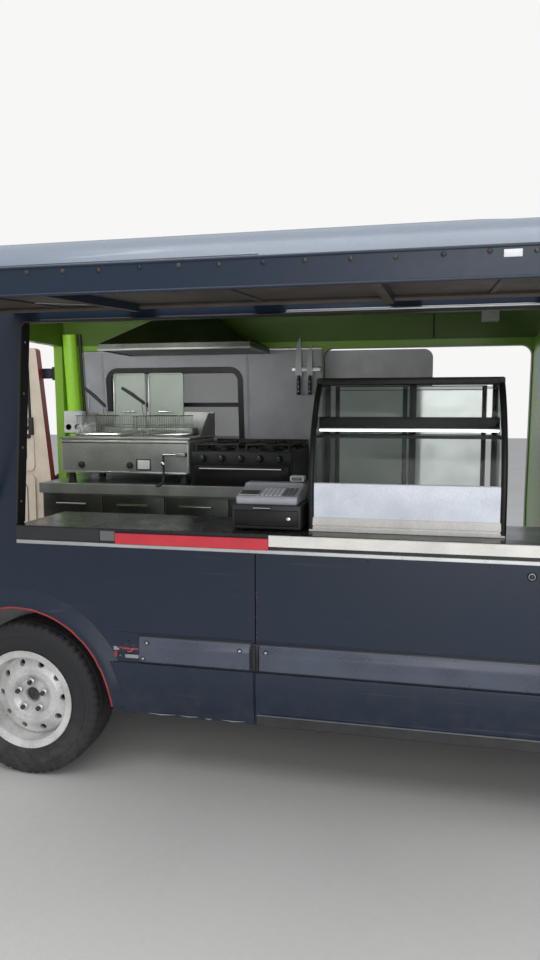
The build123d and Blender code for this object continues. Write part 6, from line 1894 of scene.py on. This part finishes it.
class Wheels(bpy.types.Operator):
    """Build the tyres with their tread and fit bolts, lips and valves to the rims"""

    bl_idname = "food_truck.wheels"
    bl_label = "Tyres and rims"

    def execute(self, context):
        for corner, (axle, sign) in CORNERS.items():
            self.tyre(corner, axle, sign)
            self.rim(corner, axle, sign)
        return {"FINISHED"}

    def tyre(self, corner, axle, sign):
        """Tyre whose tread blocks are cut by cross grooves, set half a block apart on its two halves."""
        half = tyre_profile(sizes().tread_depth)
        well = [(-0.07, 0.236, 0), (0.07, 0.236, 0)]
        section = half + [(-out, radius, cut) for out, radius, cut in reversed(half)] + well
        steps, cycle, groove = 232, 4, 0.006
        rings = []
        for step in range(steps):
            ring = []
            for out, radius, cut in section:
                shift = 0 if out > 0 else 2
                sunk = groove if cut and (step + shift) % cycle == 0 else 0.0
                angle = math.tau * step / steps
                reach = radius - sunk
                ring.append((axle + reach * math.cos(angle), sign * (TRACK_HALF + out),
                             AXLE_Z + reach * math.sin(angle)))
            rings.append(ring)
        form = Form()
        form.loft(rings, "tyre_rubber", around=True)
        body = f"wheel_{corner}"
        form.piece(f"tyre_built_{corner}", body, "tyre", replaces=(f"tyre_{corner}",), angle=40.0)

    def rim(self, corner, axle, sign):
        """Bolts, vent rims, lips and valve of a steel rim."""
        form = Form()
        skin = Skin(f"rim_{corner}")
        outward_way = (0.0, sign, 0.0)

        def on_disc(radius, angle):
            way = Vector((math.cos(angle), 0.0, math.sin(angle)))
            return skin.touch(Vector((axle, sign * 1.5, AXLE_Z)) + way * radius, (0.0, -sign, 0.0))

        bolts, bolt_circle, vents, vent_circle = 5, 0.064, 10, 0.148
        for index in range(bolts):
            place = on_disc(bolt_circle, math.tau * (index + 0.25) / bolts)
            form.lathe([(0.0, 0.017), (0.003, 0.0175), (0.006, 0.0135), (0.0065, 0.011)], place,
                       outward_way, "aluminium", segments=20)
            form.lathe([(0.002, 0.0105), (0.018, 0.0105), (0.020, 0.0085), (0.020, 0.0)], place,
                       outward_way, "cast_iron", segments=6)
        for index in range(vents):
            vent = on_disc(vent_circle, math.tau * (index + 0.5) / vents)
            form.lathe([(0.0, 0.0035), (0.0012, 0.003), (0.0014, 0.0)], vent, outward_way, "rim_silver",
                       segments=10)
        for radius, thick, y_out, finish_name in ((0.2175, 0.0036, 0.0945, "rim_silver"),
                                                  (0.200, 0.0018, 0.088, "rim_silver"),
                                                  (0.035, 0.0025, 0.0, "aluminium")):
            y = sign * (TRACK_HALF + y_out)
            if not y_out:
                y = on_disc(radius + 0.004, 0.3).y + sign * 0.001
            path = [(x, y, z) for x, z in circle_path((axle, AXLE_Z), radius, 64)]
            form.tube(path, thick, finish_name, segments=8)
        valve_turn, valve_reach = 1.1, 0.168
        foot = on_disc(0.185, valve_turn)
        tip = Vector((axle + valve_reach * math.cos(valve_turn), foot.y + sign * 0.022,
                      AXLE_Z + valve_reach * math.sin(valve_turn)))
        form.tube([foot, foot.lerp(tip, 0.5), tip], [0.005, 0.0042, 0.0036], "rubber", segments=10)
        form.piece(f"rim_details_{corner}", f"wheel_{corner}", "rim_steel")


def bend(first, second, third):
    """Above zero where three flat points turn left."""
    return ((second[0] - first[0]) * (third[1] - first[1])
            - (second[1] - first[1]) * (third[0] - first[0]))


def flat_hull(points):
    """Convex outline round flat points, in order."""
    ordered = sorted(set((round(x, 4), round(y, 4)) for x, y in points))
    chains = []
    for run in (ordered, ordered[::-1]):
        chain = []
        for point in run:
            while len(chain) > 1 and bend(chain[-2], chain[-1], point) <= 0:
                chain.pop()
            chain.append(point)
        chains.append(chain[:-1])
    return chains[0] + chains[1]


def even_path(points, pitch=0.03):
    """Closed path through corner points with a point every pitch or so."""
    path = []
    for start, end in zip(points, points[1:] + points[:1]):
        start, end = Vector(start), Vector(end)
        count = max(1, round((end - start).length / pitch))
        path += [start.lerp(end, step / count) for step in range(count)]
    return path


def pane_seal(form, pane, skin, sign, radius=0.008, finish_name="rubber", grow=0.006):
    """Rubber bead round a side pane, laid on the skin beside it."""
    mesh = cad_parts[pane].data
    points = [vert.co - van_shift for vert in mesh.vertices]
    outline = flat_hull([(point.x, point.z) for point in points])
    middle = Vector((sum(x for x, _ in outline), sum(z for _, z in outline))) / len(outline)
    path = []
    for point in even_path(outline):
        wide = point + (point - middle).normalized() * grow
        path.append(skin.side(wide.x, wide.y, sign))
    form.tube(path + path[:1], radius, finish_name, segments=8)


class CabDoors(bpy.types.Operator):
    """Fit seals, handles, mouldings and mirror glasses to the cab doors"""

    bl_idname = "food_truck.cab_doors"
    bl_label = "Cab doors"

    def execute(self, context):
        for name, sign in SIDES:
            form = Form()
            skin = Skin(f"cab_door_{name}")
            pane_seal(form, f"cab_glass_{name}", skin, sign)
            self.belt_trim(form, skin, sign)
            door_grip(form, sign, abs(skin.side(2.5, 1.0, sign).y), (2.415, 2.60), (2.43, 2.555), 0.024,
                      2.578)
            arch_end = WHEELBASE - math.sqrt(0.50 ** 2 - (0.625 - AXLE_Z) ** 2)
            door_moulding(form, sign, HALF_WIDTH, ((2.374, 0.4), (2.380, 1.0), (arch_end - 0.03, 1.0),
                                                   (arch_end - 0.012, 0.4)))
            mirror_low, _ = van_box(f"mirror_{name}")
            side_block(form, sign, (mirror_low.x - 0.003, mirror_low.x + 0.006), (1.03, 1.172),
                       (1.318, 1.592), "chrome", soft=0.003)
            side_block(form, sign, (mirror_low.x - 0.001, mirror_low.x + 0.004), (1.024, 1.178),
                       (1.308, 1.602), "black_plastic", soft=0.002)
            form.piece(f"cab_door_fittings_{name}", f"cab_door_{name}", "trim")
            lining = Form()
            y = abs(skin.touch((2.75, 0.3 * sign, 0.95), (0.0, sign, 0.0)).y) - 0.012
            side_block(lining, sign, (2.44, 3.16), (y, y + 0.012), (0.62, 1.12), "grey_plastic", soft=0.01)
            side_block(lining, sign, (2.55, 2.95), (y - 0.05, y), (0.90, 0.95), "black_plastic", soft=0.015,
                       segments=3)
            side_block(lining, sign, (2.50, 3.05), (y - 0.035, y), (0.64, 0.76), "black_plastic",
                       soft=0.012)
            lining.lathe([(0.0, 0.085), (0.006, 0.085), (0.008, 0.078), (0.008, 0.0)],
                         (3.04, sign * y, 0.72), (0.0, -sign, 0.0), "black_plastic")
            lining.piece(f"cab_door_lining_{name}", f"cab_door_{name}", "lining")
        return {"FINISHED"}

    def belt_trim(self, form, skin, sign):
        """Strip under the window and the crease of the shoulder."""
        for z, start, end, radius, finish_name in ((1.195, 2.40, 3.32, 0.006, "rubber"),
                                                   (1.06, 2.375, 3.36, 0.0035, "slate_paint")):
            side_bead(form, skin, sign, [(x, z) for x in evenly(start, end, 12)], radius, finish_name)


class RearDoors(bpy.types.Operator):
    """Fit seals, hinges, handles, plate and linings to the rear doors"""

    bl_idname = "food_truck.rear_doors"
    bl_label = "Rear doors"

    def execute(self, context):
        skin = Skin("rear_door_right")
        hinge_y = -van_box("rear_door_right")[0].y + 0.008
        mirrored = Matrix.Diagonal((1.0, -1.0, 1.0, 1.0))
        hinge = Matrix.Translation((REAR_X - 0.008, hinge_y, 0.0))
        opened = hinge @ Matrix.Rotation(math.radians(-90.0), 4, "Z") @ hinge.inverted() @ mirrored
        for name, turn in (("right", Matrix.Identity(4)), ("left", opened)):
            form = Form(turn)
            self.seal(form, skin)
            self.hardware(form, skin, name, hinge_y)
            form.piece(f"rear_door_fittings_{name}", f"rear_door_{name}", "trim")
            form = Form(turn)
            self.lining(form, skin, name)
            form.piece(f"rear_door_lining_{name}", f"rear_door_{name}", "lining")
        return {"FINISHED"}

    def on_tail(self, skin, y, z, from_inside=False):
        """Point on the closed right door's skin; beside its edge, in line with the nearest skin."""
        start, way = (1.0, -1.0) if from_inside else (-3.0, 1.0)
        for aside in (0.0, 0.02, -0.02, 0.04, -0.04, 0.08, -0.08):
            place, _, _, _ = skin.tree.ray_cast(Vector((start, y + aside, z)), Vector((way, 0.0, 0.0)))
            if place is not None:
                return Vector((place.x, y, z))
        raise RuntimeError(f"no rear door near y {y:.3f}, z {z:.3f}")

    def seal(self, form, skin):
        """Rubber bead round the window, outside and inside."""
        low, high = van_box("rear_glass_right")
        corners = rounded_outline((low.y - 0.004, low.z - 0.004), (high.y + 0.004, high.z + 0.004), 0.05)
        for inside in (False, True):
            path = []
            for y, z in closed(corners):
                y = min(max(y, low.y - 0.02), high.y + 0.02)
                wide_y = y + math.copysign(0.012, y - (low.y + high.y) / 2)
                path.append(self.on_tail(skin, wide_y, z, inside))
            form.tube(path, 0.010, "rubber", segments=8)

    def hardware(self, form, skin, name, hinge_y):
        """Hinges, meeting edge and creases; the right door's handle and blank plate."""
        hinge_heights, crease_heights = (0.62, 1.12, 1.86), (0.66, 0.92, 1.26)
        for z in hinge_heights:
            base = self.on_tail(skin, -hinge_y + 0.06, z)
            form.block_at(base, (-0.010, -0.055, -0.035), (0.004, 0.035, 0.035), "slate_paint",
                       soft=0.004)
            form.tube([beside(base, -0.012, -0.062, -0.045), beside(base, -0.012, -0.062, 0.045)], 0.010,
                      "cast_iron", segments=14)
        if name == "right":
            grip = self.on_tail(skin, -0.09, 1.02)
            form.block_at(grip, (-0.006, -0.05, -0.10), (0.004, 0.05, 0.06), "black_plastic",
                       soft=0.005)
            form.block_at(grip, (-0.032, -0.03, -0.06), (-0.004, 0.03, -0.025), "black_plastic",
                       soft=0.010, segments=3)
            plate = self.on_tail(skin, -0.45, 0.80)
            form.block_at(plate, (-0.006, -0.262, -0.057), (0.002, 0.262, 0.057), "black_plastic",
                       soft=0.003)
            form.block_at(plate, (-0.008, -0.256, -0.051), (0.0, 0.256, 0.051), "pale_plastic",
                       soft=0.002)
            form.block_at(plate, (-0.03, -0.16, 0.066), (0.002, 0.16, 0.09), "black_plastic",
                       soft=0.008, segments=3)
        low_z, high_z = van_box(f"rear_door_{name}")[0].z + 0.02, 1.4
        path = [self.on_tail(skin, -0.012, z) for z in evenly(low_z, high_z, 8)]
        form.tube(path, 0.006, "rubber", segments=8)
        for z in crease_heights:
            path = [self.on_tail(skin, y, z) for y in evenly(-0.10, -0.76, 8)]
            form.tube(path, 0.0035, "slate_paint", segments=8)

    def lining(self, form, skin, name):
        """Two cream boards with a rounded rim each, and the latch."""
        inner = self.on_tail(skin, -0.3, 1.25, True).x
        for low_z, high_z in ((1.19, 1.452), (0.62, 1.16)):
            outline = rounded_outline((-0.748, low_z), (-0.06, high_z), 0.035)
            form.plate(outline, inner - 0.001, inner + 0.010, 0, "cream_lining")
            outline = rounded_outline((-0.69, low_z + 0.05), (-0.16, high_z - 0.05), 0.05)
            rim = [(inner + 0.010, y, z) for y, z in closed(outline)]
            form.tube(rim, 0.004, "grey_plastic", segments=8)
        form.block((inner - 0.002, -0.750, 1.44), (inner + 0.026, -0.718, 1.56), "black_plastic",
                   soft=0.004)
        form.lathe([(0.0, 0.016), (0.02, 0.016), (0.024, 0.012), (0.024, 0.0)], (inner, -0.71, 1.43),
                   TO_FRONT, "black_plastic", segments=20)
        if name == "right":
            form.block((inner, -0.13, 0.98), (inner + 0.05, -0.05, 1.06), "black_plastic", soft=0.006)
            for low_z, high_z in ((0.52, 1.0), (1.05, 1.98)):
                form.tube([(inner + 0.02, -0.02, low_z), (inner + 0.02, -0.02, high_z)], 0.006, "aluminium")


class SlidingDoor(bpy.types.Operator):
    """Fit the left sliding door's handle, moulding and crease, and the side window's seal, filler flap and
    creases
    """

    bl_idname = "food_truck.sliding_door"
    bl_label = "Sliding door and left side"

    def execute(self, context):
        low, high = van_box("sliding_door_left")
        skin = Skin("sliding_door_left")
        form = Form()
        y = skin.side(low.x + 0.5, 1.0, 1).y
        door_grip(form, 1, y, (high.x - 0.24, high.x - 0.055), (high.x - 0.225, high.x - 0.10), 0.026,
                  high.x - 0.08)
        door_moulding(form, 1, y, ((low.x + 0.02, 0.4), (low.x + 0.026, 1.0), (high.x - 0.026, 1.0),
                                   (high.x - 0.02, 0.4)))
        outline = rounded_outline((low.x + 0.14, 1.20), (high.x - 0.14, 1.86), 0.07)
        side_bead(form, skin, 1, closed(outline), 0.0045, "slate_paint")
        form.piece("sliding_door_fittings", "root", "trim")
        self.left_side()
        return {"FINISHED"}

    def left_side(self):
        """Seal of the side window, filler flap and stamped creases."""
        form = Form()
        skin = Skin("side_left", "window_rubber")
        low, high = van_box("side_glass")
        outline = rounded_outline((low.x - 0.035, low.z - 0.035), (high.x + 0.035, high.z + 0.035), 0.10)
        side_bead(form, skin, 1, closed(outline), 0.009, "rubber", segments=10)
        flap = rounded_outline((0.72, 0.80), (0.90, 0.98), 0.03)
        side_bead(form, skin, 1, closed(flap), 0.002, "black_plastic", segments=6, lift=0.0008)
        form.lathe([(0.0, 0.014), (0.003, 0.013), (0.004, 0.0)], skin.side(0.87, 0.89, 1), TO_LEFT,
                   "black_plastic", segments=16)
        for z in (1.06, 1.20):
            side_bead(form, skin, 1, [(x, z) for x in evenly(REAR_X + 0.1, REAR_X + 1.82, 16)], 0.003,
                      "slate_paint", segments=6)
        form.piece("left_side_fittings", "root", "trim")


class Front(bpy.types.Operator):
    """Fit the grille bars, lamp lenses, bumper slats, blank plate and wipers"""

    bl_idname = "food_truck.front"
    bl_label = "Nose"

    def execute(self, context):
        form = Form()
        skin = Skin("grille", "front_bumper", "lamps", "bonnet")

        def on_nose(y, z, lift=0.0):
            """Point on the nose; in one of its openings, in line with the nearest edge."""
            for step in range(16):
                aside = 0.02 * (step // 2 + step % 2) * (1 if step % 2 else -1)
                place, _, _, _ = skin.tree.ray_cast(Vector((6.0, y, z + aside)), Vector(TO_REAR))
                if place is not None and place.x > 4.0:
                    return Vector((place.x + lift, y, z))
            raise RuntimeError(f"no nose near y {y:.3f}, z {z:.3f}")

        for heights, half, steps, lift, radius, finish_name, segments in (
            ((0.70, 0.735, 0.77, 0.805, 0.84), 0.36, 16, 0.002, 0.007, "black_plastic", 8),
            ((0.875,), 0.50, 20, 0.003, 0.009, "chrome", 10),
            ((0.36, 0.40, 0.44), 0.42, 16, 0.003, 0.008, "black_plastic", 8),
        ):
            for z in heights:
                path = [on_nose(y, z, lift) for y in evenly(-half, half, steps)]
                form.tube(path, radius, finish_name, segments=segments)
        plate = on_nose(0.0, 0.53, 0.003)
        form.block((plate.x - 0.004, -0.262, 0.475), (plate.x + 0.004, 0.262, 0.59), "black_plastic",
                   soft=0.003)
        form.block((plate.x, -0.256, 0.481), (plate.x + 0.007, 0.256, 0.584), "pale_plastic", soft=0.002)
        for _, sign in SIDES:
            fog = on_nose(sign * 0.68, 0.45)
            form.lathe([(-0.01, 0.055), (0.006, 0.055), (0.008, 0.048), (0.004, 0.044), (0.006, 0.0)], fog,
                       (1.0, sign * 0.25, 0.0), "clear_glass", segments=28)
            form.lathe([(-0.01, 0.062), (0.007, 0.062), (0.009, 0.057), (0.002, 0.055)], fog,
                       (1.0, sign * 0.25, 0.0), "black_plastic", segments=28)
        form.piece("nose_fittings", "root", "trim")
        self.lamps()
        self.wipers()
        return {"FINISHED"}

    def lamps(self):
        """Reflector bowls and amber corners behind the lamp lenses; side repeaters."""
        form = Form()
        lamp_skin, wing_skin = Skin("lamps"), Skin("front_wings")
        for _, sign in SIDES:
            for y, z, radius in ((0.66, 0.79, 0.058), (0.79, 0.80, 0.052)):
                place = lamp_skin.touch((6.0, sign * y, z), TO_REAR)
                form.lathe([(-0.045, 0.012), (-0.03, radius * 0.7), (-0.008, radius), (-0.004, radius),
                            (-0.006, radius * 0.96), (-0.028, radius * 0.62), (-0.04, 0.01)], place,
                           (1.0, sign * 0.1, 0.1), "chrome", segments=32)
            side = wing_skin.side(3.80, 0.98, sign)
            depths = ((-0.004, 0.006),) if sign > 0 else ((-0.004, 0.004), (-0.008, 0.002))
            for low_y, high_y in depths:
                form.block_at(side, (-0.03, low_y, -0.014), (0.03, high_y, 0.014), "amber_lens",
                           soft=0.003)
        form.piece("lamp_details", "root", "lamp")

    def wipers(self):
        """Two arms from their spindles to the blades on the windscreen."""
        form = Form()
        glass = Skin("windscreen", "cab_frame", "bonnet")

        def on_glass(x, y, lift):
            return glass.touch((x, y, 3.0), DOWN, lift)

        for foot_y, tip_y in ((0.55, -0.02), (-0.05, -0.62)):
            foot = on_glass(3.555, foot_y, 0.012)
            tip = on_glass(3.36, (foot_y + tip_y) / 2, 0.020)
            form.lathe([(-0.02, 0.014), (0.006, 0.014), (0.010, 0.009), (0.010, 0.0)], foot,
                       (0.3, 0.0, 1.0), "black_plastic", segments=18)
            form.tube([foot, foot.lerp(tip, 0.5) + Vector((0.0, 0.0, 0.008)), tip], [0.006, 0.005, 0.0035],
                      "black_plastic", segments=8)
            blade = []
            for step in range(9):
                share = step / 8
                blade.append(on_glass(3.49 - 0.20 * share, foot_y - 0.10 + (tip_y - foot_y) * share, 0.008))
            form.tube(blade, 0.0045, "rubber", segments=6)
        form.piece("wipers", "root", "trim")


def cushion_form(low, high, crown, channels=(), steps=28):
    """Crowned closed pad whose sides pull in between its corners, with sewn channels across its top."""
    low, high = Vector(low), Vector(high)
    middle, half = (low + high) / 2, (high - low) / 2
    points, faces = [], []

    def soft(value, power):
        return math.copysign(abs(value) ** power, value)

    for row in range(steps + 1):
        lift = math.pi * (row / steps - 0.5)
        for column in range(steps * 2):
            angle = math.tau * column / (steps * 2)
            x = soft(math.cos(angle), 0.34) * soft(math.cos(lift), 0.42)
            y = soft(math.sin(angle), 0.34) * soft(math.cos(lift), 0.42)
            z = soft(math.sin(lift), 0.55)
            pull_x = 1.0 - 0.035 * (1.0 - abs(y) ** 2)
            pull_y = 1.0 - 0.035 * (1.0 - abs(x) ** 2)
            rise = crown * (1.0 - abs(x) ** 2) * (1.0 - abs(y) ** 2) if z > 0 else 0.0
            for along in channels:
                rise -= 0.008 * math.exp(-((x - along) / 0.05) ** 2) if z > 0.4 and abs(y) < 0.9 else 0.0
            points.append(beside(middle, x * half.x * pull_x, y * half.y * pull_y, z * half.z + rise))
    count = steps * 2
    for row in range(steps):
        for column in range(count):
            after = (column + 1) % count
            faces.append([row * count + column, row * count + after, (row + 1) * count + after,
                          (row + 1) * count + column])
    return points, faces


class CabInside(bpy.types.Operator):
    """Pad the cab's seats, fit the wheel, vents, centre stack and lever, and lay the step wells"""

    bl_idname = "food_truck.cab_inside"
    bl_label = "Cab seats and controls"

    def execute(self, context):
        base = Form()
        lean, pivot = math.radians(-7.5), Vector((2.482, 0.0, 0.965))
        flat = Matrix.Identity(4)
        upright = (Matrix.Translation(pivot) @ Matrix.Rotation(lean, 4, "Y")
                   @ Matrix.Rotation(math.radians(-90.0), 4, "Y"))
        for index, (centre_y, half) in enumerate(((0.43, 0.25), (-0.645, 0.185), (-0.235, 0.185)), start=1):
            low_y, high_y = centre_y - half, centre_y + half
            base.block((2.45, low_y + 0.05, 0.62), (2.87, high_y - 0.05, 0.86), "black_plastic", soft=0.02)
            base.block((2.42, low_y + 0.02, 0.845), (2.90, high_y - 0.02, 0.885), "black_plastic",
                       soft=0.012)
            made = self.pad(f"seat_cushion_{index}", (2.41, low_y + 0.005, 0.872),
                            (2.915, high_y - 0.005, 0.982), 0.014, (-0.35, 0.15), flat, piping_z=0.951)
            made = self.pad(f"seat_back_{index}", (0.0, low_y + 0.01, -0.052), (0.53, high_y - 0.01, 0.052),
                            0.012, (-0.4, 0.1, 0.6), upright)
            made = self.pad(f"head_rest_{index}", (0.555, centre_y - 0.125, -0.04),
                            (0.705, centre_y + 0.125, 0.04), 0.008, (), upright)
            for y in (centre_y - 0.06, centre_y + 0.06):
                base.tube([upright @ Vector((0.50, y, 0.0)), upright @ Vector((0.60, y, 0.0))], 0.006,
                          "chrome")
        base.piece("seat_bases", "root", "cloth", replaces=("seats",))
        self.controls()
        self.step_wells()
        return {"FINISHED"}

    def pad(self, name, low, high, crown, channels, turn, piping_z=None):
        """One padded piece of a seat, with a sewn edge round it where a height is given."""
        form = Form()
        points, faces = cushion_form(low, high, crown, channels)
        form.take(points, faces, "seat_cloth", turn=turn)
        if piping_z is not None:
            inset_x, inset_y = 0.01, 0.007
            outline = rounded_outline((low[0] + inset_x, low[1] + inset_y),
                                      (high[0] - inset_x, high[1] - inset_y), 0.06)
            form.tube([(x, y, piping_z) for x, y in closed(outline)], 0.0035, "seat_edge", segments=8)
        return form.piece(name, "root", "cloth", replaces=("seats",), angle=60.0)

    def step_wells(self):
        """Entry steps between the cab floor and the sills, each with its cleats."""
        form = Form()
        rear, front = 2.39, 3.05
        inner, outer = 0.70, 0.888
        tread_z, floor_z, thick = 0.40, 0.556, 0.006
        cleats, pitch = 9, 0.062
        for _, sign in reversed(SIDES):
            side_block(form, sign, (rear, front), (inner, outer), (tread_z - thick, tread_z), "floor_plate",
                       soft=0.002)
            side_block(form, sign, (rear, front), (inner, inner + thick), (tread_z, floor_z),
                       "grey_plastic", soft=0.002)
            for x in (rear, front - thick):
                side_block(form, sign, (x, x + thick), (inner, outer), (tread_z, floor_z), "grey_plastic",
                           soft=0.002)
            for index in range(cleats):
                x = rear + 0.06 + index * pitch
                side_block(form, sign, (x, x + 0.03), (inner + 0.04, outer - 0.04),
                           (tread_z, tread_z + 0.003), "rubber", soft=0.001)
        self.doorway_board(form)
        form.piece("step_wells", "root", "trim")

    def doorway_board(self, form):
        """Inner board and ledge of the left doorway's step."""
        rear, front = 1.70, 2.288
        form.block((rear, 0.860, 0.350), (front, 0.866, 0.530), "grey_plastic", soft=0.002)
        form.block((rear, 0.862, 0.383), (front, 0.930, 0.388), "floor_plate", soft=0.001)

    def controls(self):
        """Steering wheel, air vents, centre stack and gear lever."""
        form = Form()
        dash = Skin("dashboard")
        hub, column_angle, wheel_radius = Vector((2.93, 0.43, 1.165)), -62.0, 0.205
        tilt = Matrix.Translation(hub) @ Matrix.Rotation(math.radians(column_angle), 4, "Y")
        rim = [tilt @ Vector((x, y, 0.0)) for x, y in circle_path((0.0, 0.0), wheel_radius, 40)]
        form.tube(rim, 0.0145, "black_plastic", segments=12)
        form.lathe([(-0.03, 0.05), (0.0, 0.075), (0.018, 0.07), (0.024, 0.05), (0.025, 0.0)],
                   (0.0, 0.0, 0.0), UP, "black_plastic", turn=tilt)
        for angle in (0.35, math.pi - 0.35, -1.2, math.pi + 1.2):
            way = Vector((math.sin(angle), math.cos(angle), 0.0))
            form.tube([tilt @ (way * 0.05), tilt @ (way * 0.2)], [0.016, 0.011], "black_plastic",
                      segments=8)
        form.tube([tilt @ Vector((0.0, 0.0, -0.02)), tilt @ Vector((0.0, 0.0, -0.24))], 0.03,
                  "black_plastic", segments=16)
        for y in (-0.55, -0.42, 0.14, 0.72):
            place = dash.touch((2.0, y, 1.06), TO_FRONT)
            form.block_at(place, (-0.008, -0.055, -0.03), (0.006, 0.055, 0.03), "black_plastic",
                       soft=0.004)
            for slat in (-0.015, 0.0, 0.015):
                form.block_at(place, (-0.011, -0.05, slat - 0.003), (-0.004, 0.05, slat + 0.003),
                           "grey_plastic", soft=0.001)
        stack = dash.touch((2.0, 0.0, 0.98), TO_FRONT)
        form.block_at(stack, (-0.012, -0.10, -0.11), (0.02, 0.10, 0.11), "black_plastic", soft=0.01)
        for row in (-0.07, -0.02):
            for y in (-0.06, 0.0, 0.06):
                form.lathe([(0.0, 0.018), (0.014, 0.016), (0.016, 0.0)], beside(stack, -0.012, y, row),
                           TO_REAR, "black_plastic", segments=20)
        form.block_at(stack, (-0.016, -0.085, 0.03), (-0.01, 0.085, 0.085), "grey_plastic", soft=0.003)
        form.tube([beside(stack, -0.01, 0.02, -0.08), beside(stack, -0.10, 0.02, -0.02),
                   beside(stack, -0.13, 0.02, 0.06)], [0.012, 0.009, 0.008], "black_plastic")
        form.lathe([(-0.02, 0.012), (-0.005, 0.022), (0.012, 0.022), (0.02, 0.012), (0.022, 0.0)],
                   beside(stack, -0.135, 0.02, 0.07), (-0.4, 0.0, 1.0), "black_plastic", segments=20)
        form.piece("cab_controls", "root", "trim")


class Underside(bpy.types.Operator):
    """Fit springs, dampers, clamps and pipes under the floor"""

    bl_idname = "food_truck.underside"
    bl_label = "Underside"

    def execute(self, context):
        form = Form()
        for _, sign in SIDES:
            spring_y, clamp_low_z, clamp_high_z = sign * 0.56, AXLE_Z - 0.05, 0.43
            for x in (-0.05, 0.05):
                form.tube([(x, sign * 0.52, clamp_low_z), (x, sign * 0.52, clamp_high_z),
                           (x, sign * 0.60, clamp_high_z), (x, sign * 0.60, clamp_low_z)], 0.007,
                          "rust_steel", segments=8)
            form.block((-0.08, spring_y - 0.045, AXLE_Z - 0.062), (0.08, spring_y + 0.045, AXLE_Z - 0.044),
                       "rust_steel", soft=0.004)
            form.tube([(-0.06, sign * 0.50, AXLE_Z - 0.03), (-0.20, sign * 0.44, 0.46)], 0.026,
                      "black_paint", segments=18)
            form.tube([(-0.14, sign * 0.465, 0.395), (-0.30, sign * 0.40, 0.515)], 0.032, "chassis_black",
                      segments=18)
            for end in (-0.70, 0.62):
                form.lathe([(-0.04, 0.014), (-0.038, 0.02), (0.038, 0.02), (0.04, 0.014)],
                           (end, spring_y, 0.462), TO_LEFT, "cast_iron", segments=18)
        form.piece("spring_clamps", "root", "chassis")
        pipes = Form()
        for y, z, start, end in ((0.405, 0.44, -0.55, 3.1), (0.392, 0.455, 0.3, 3.1),
                                 (-0.405, 0.44, -0.3, 2.9)):
            middle = ((start + end) / 2, y, z + 0.004)
            pipes.tube([(start, y, z), middle, (end, y, z)], 0.004, "cast_iron", segments=8)
        for x in (0.0, 0.8, 1.6, 2.4):
            pipes.block((x - 0.01, 0.380, 0.43), (x + 0.01, 0.417, 0.462), "black_plastic", soft=0.003)
        tank_low, tank_high = van_box("fuel_tank")
        for x in (tank_low.x + 0.14, tank_high.x - 0.14):
            pipes.tube([(x, tank_low.y - 0.004, tank_high.z), (x, tank_low.y - 0.004, tank_low.z + 0.02),
                        (x, tank_low.y + 0.03, tank_low.z - 0.003),
                        (x, tank_high.y - 0.03, tank_low.z - 0.003),
                        (x, tank_high.y + 0.004, tank_low.z + 0.02), (x, tank_high.y + 0.004, tank_high.z)],
                       0.009, "rust_steel", segments=8)
        exhaust = Skin("exhaust")
        for x in (0.42, 1.12, 1.98):
            top = exhaust.touch((x, -0.56, 1.0), DOWN)
            pipes.tube([(x, -0.56, top.z - 0.004), (x, -0.56, 0.45), (x, -0.53, 0.515)], 0.006,
                       "rust_steel", segments=8)
        spare_low, spare_high = van_box("spare_wheel")
        middle = (spare_low + spare_high) / 2
        pipes.tube([(middle.x, spare_low.y - 0.03, spare_low.z - 0.012),
                    (middle.x, middle.y, spare_low.z - 0.014),
                    (middle.x, spare_high.y + 0.03, spare_low.z - 0.012)], 0.012, "rust_steel", segments=8)
        pipes.lathe([(0.0, 0.17), (0.004, 0.172), (0.006, 0.12), (0.02, 0.1), (0.022, 0.0)],
                    (middle.x, middle.y, spare_low.z + 0.036), DOWN, "rim_silver")
        pipes.piece("pipes_and_hangers", "root", "chassis")
        self.struts()
        return {"FINISHED"}

    def struts(self):
        """Collars of the flap's gas struts."""
        for end in ("rear", "front"):
            points = [vert.co - van_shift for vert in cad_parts[f"strut_tube_{end}"].data.vertices]
            foot = min(points, key=lambda point: point.z)
            head = max(points, key=lambda point: point.z)
            form = Form()
            way = (head - foot).normalized()
            middle_x = sum(point.x for point in points) / len(points)
            place = Vector((middle_x, head.y, head.z)) - way * 0.012
            form.lathe([(0.0, 0.0125), (0.004, 0.0135), (0.014, 0.0135), (0.017, 0.008), (0.017, 0.0055)],
                       place, way, "black_plastic", segments=18)
            form.piece(f"strut_collar_{end}", f"strut_tube_{end}", "black_metal")


OPERATORS = [Stage, PaintBody, DressNodes, WheelArches, SideTrim, HatchTrim, FlapTrim, RoofTrim, Fryer,
             HobAndHood, Kitchen, DisplayCase, Till, Wheels, CabDoors, RearDoors, SlidingDoor, Front,
             CabInside, Underside]


class FoodTruckPanel(bpy.types.Panel):
    """Sizes, colours and the truck's groups of pieces."""

    bl_idname = "VIEW3D_PT_food_truck"
    bl_label = "Food Truck"
    bl_space_type = "VIEW_3D"
    bl_region_type = "UI"
    bl_category = "Food Truck"

    def draw(self, context):
        layout = self.layout
        for group in (sizes(), colours()):
            box = layout.box()
            for key in group.__annotations__:
                box.prop(group, key)
        for operator in OPERATORS:
            layout.operator(operator.bl_idname)


CLASSES = [FoodTruckColours, FoodTruckSizes, *OPERATORS, FoodTruckPanel]


def register():
    for cls in CLASSES:
        bpy.utils.register_class(cls)
    bpy.types.Scene.food_truck_colours = PointerProperty(type=FoodTruckColours)
    bpy.types.Scene.food_truck_sizes = PointerProperty(type=FoodTruckSizes)


def unregister():
    del bpy.types.Scene.food_truck_sizes
    del bpy.types.Scene.food_truck_colours
    for cls in reversed(CLASSES):
        bpy.utils.unregister_class(cls)


def main():
    register()
    for operator in OPERATORS:
        group, name = operator.bl_idname.split(".")
        getattr(getattr(bpy.ops, group), name)()


if __name__ == "__main__":
    main()
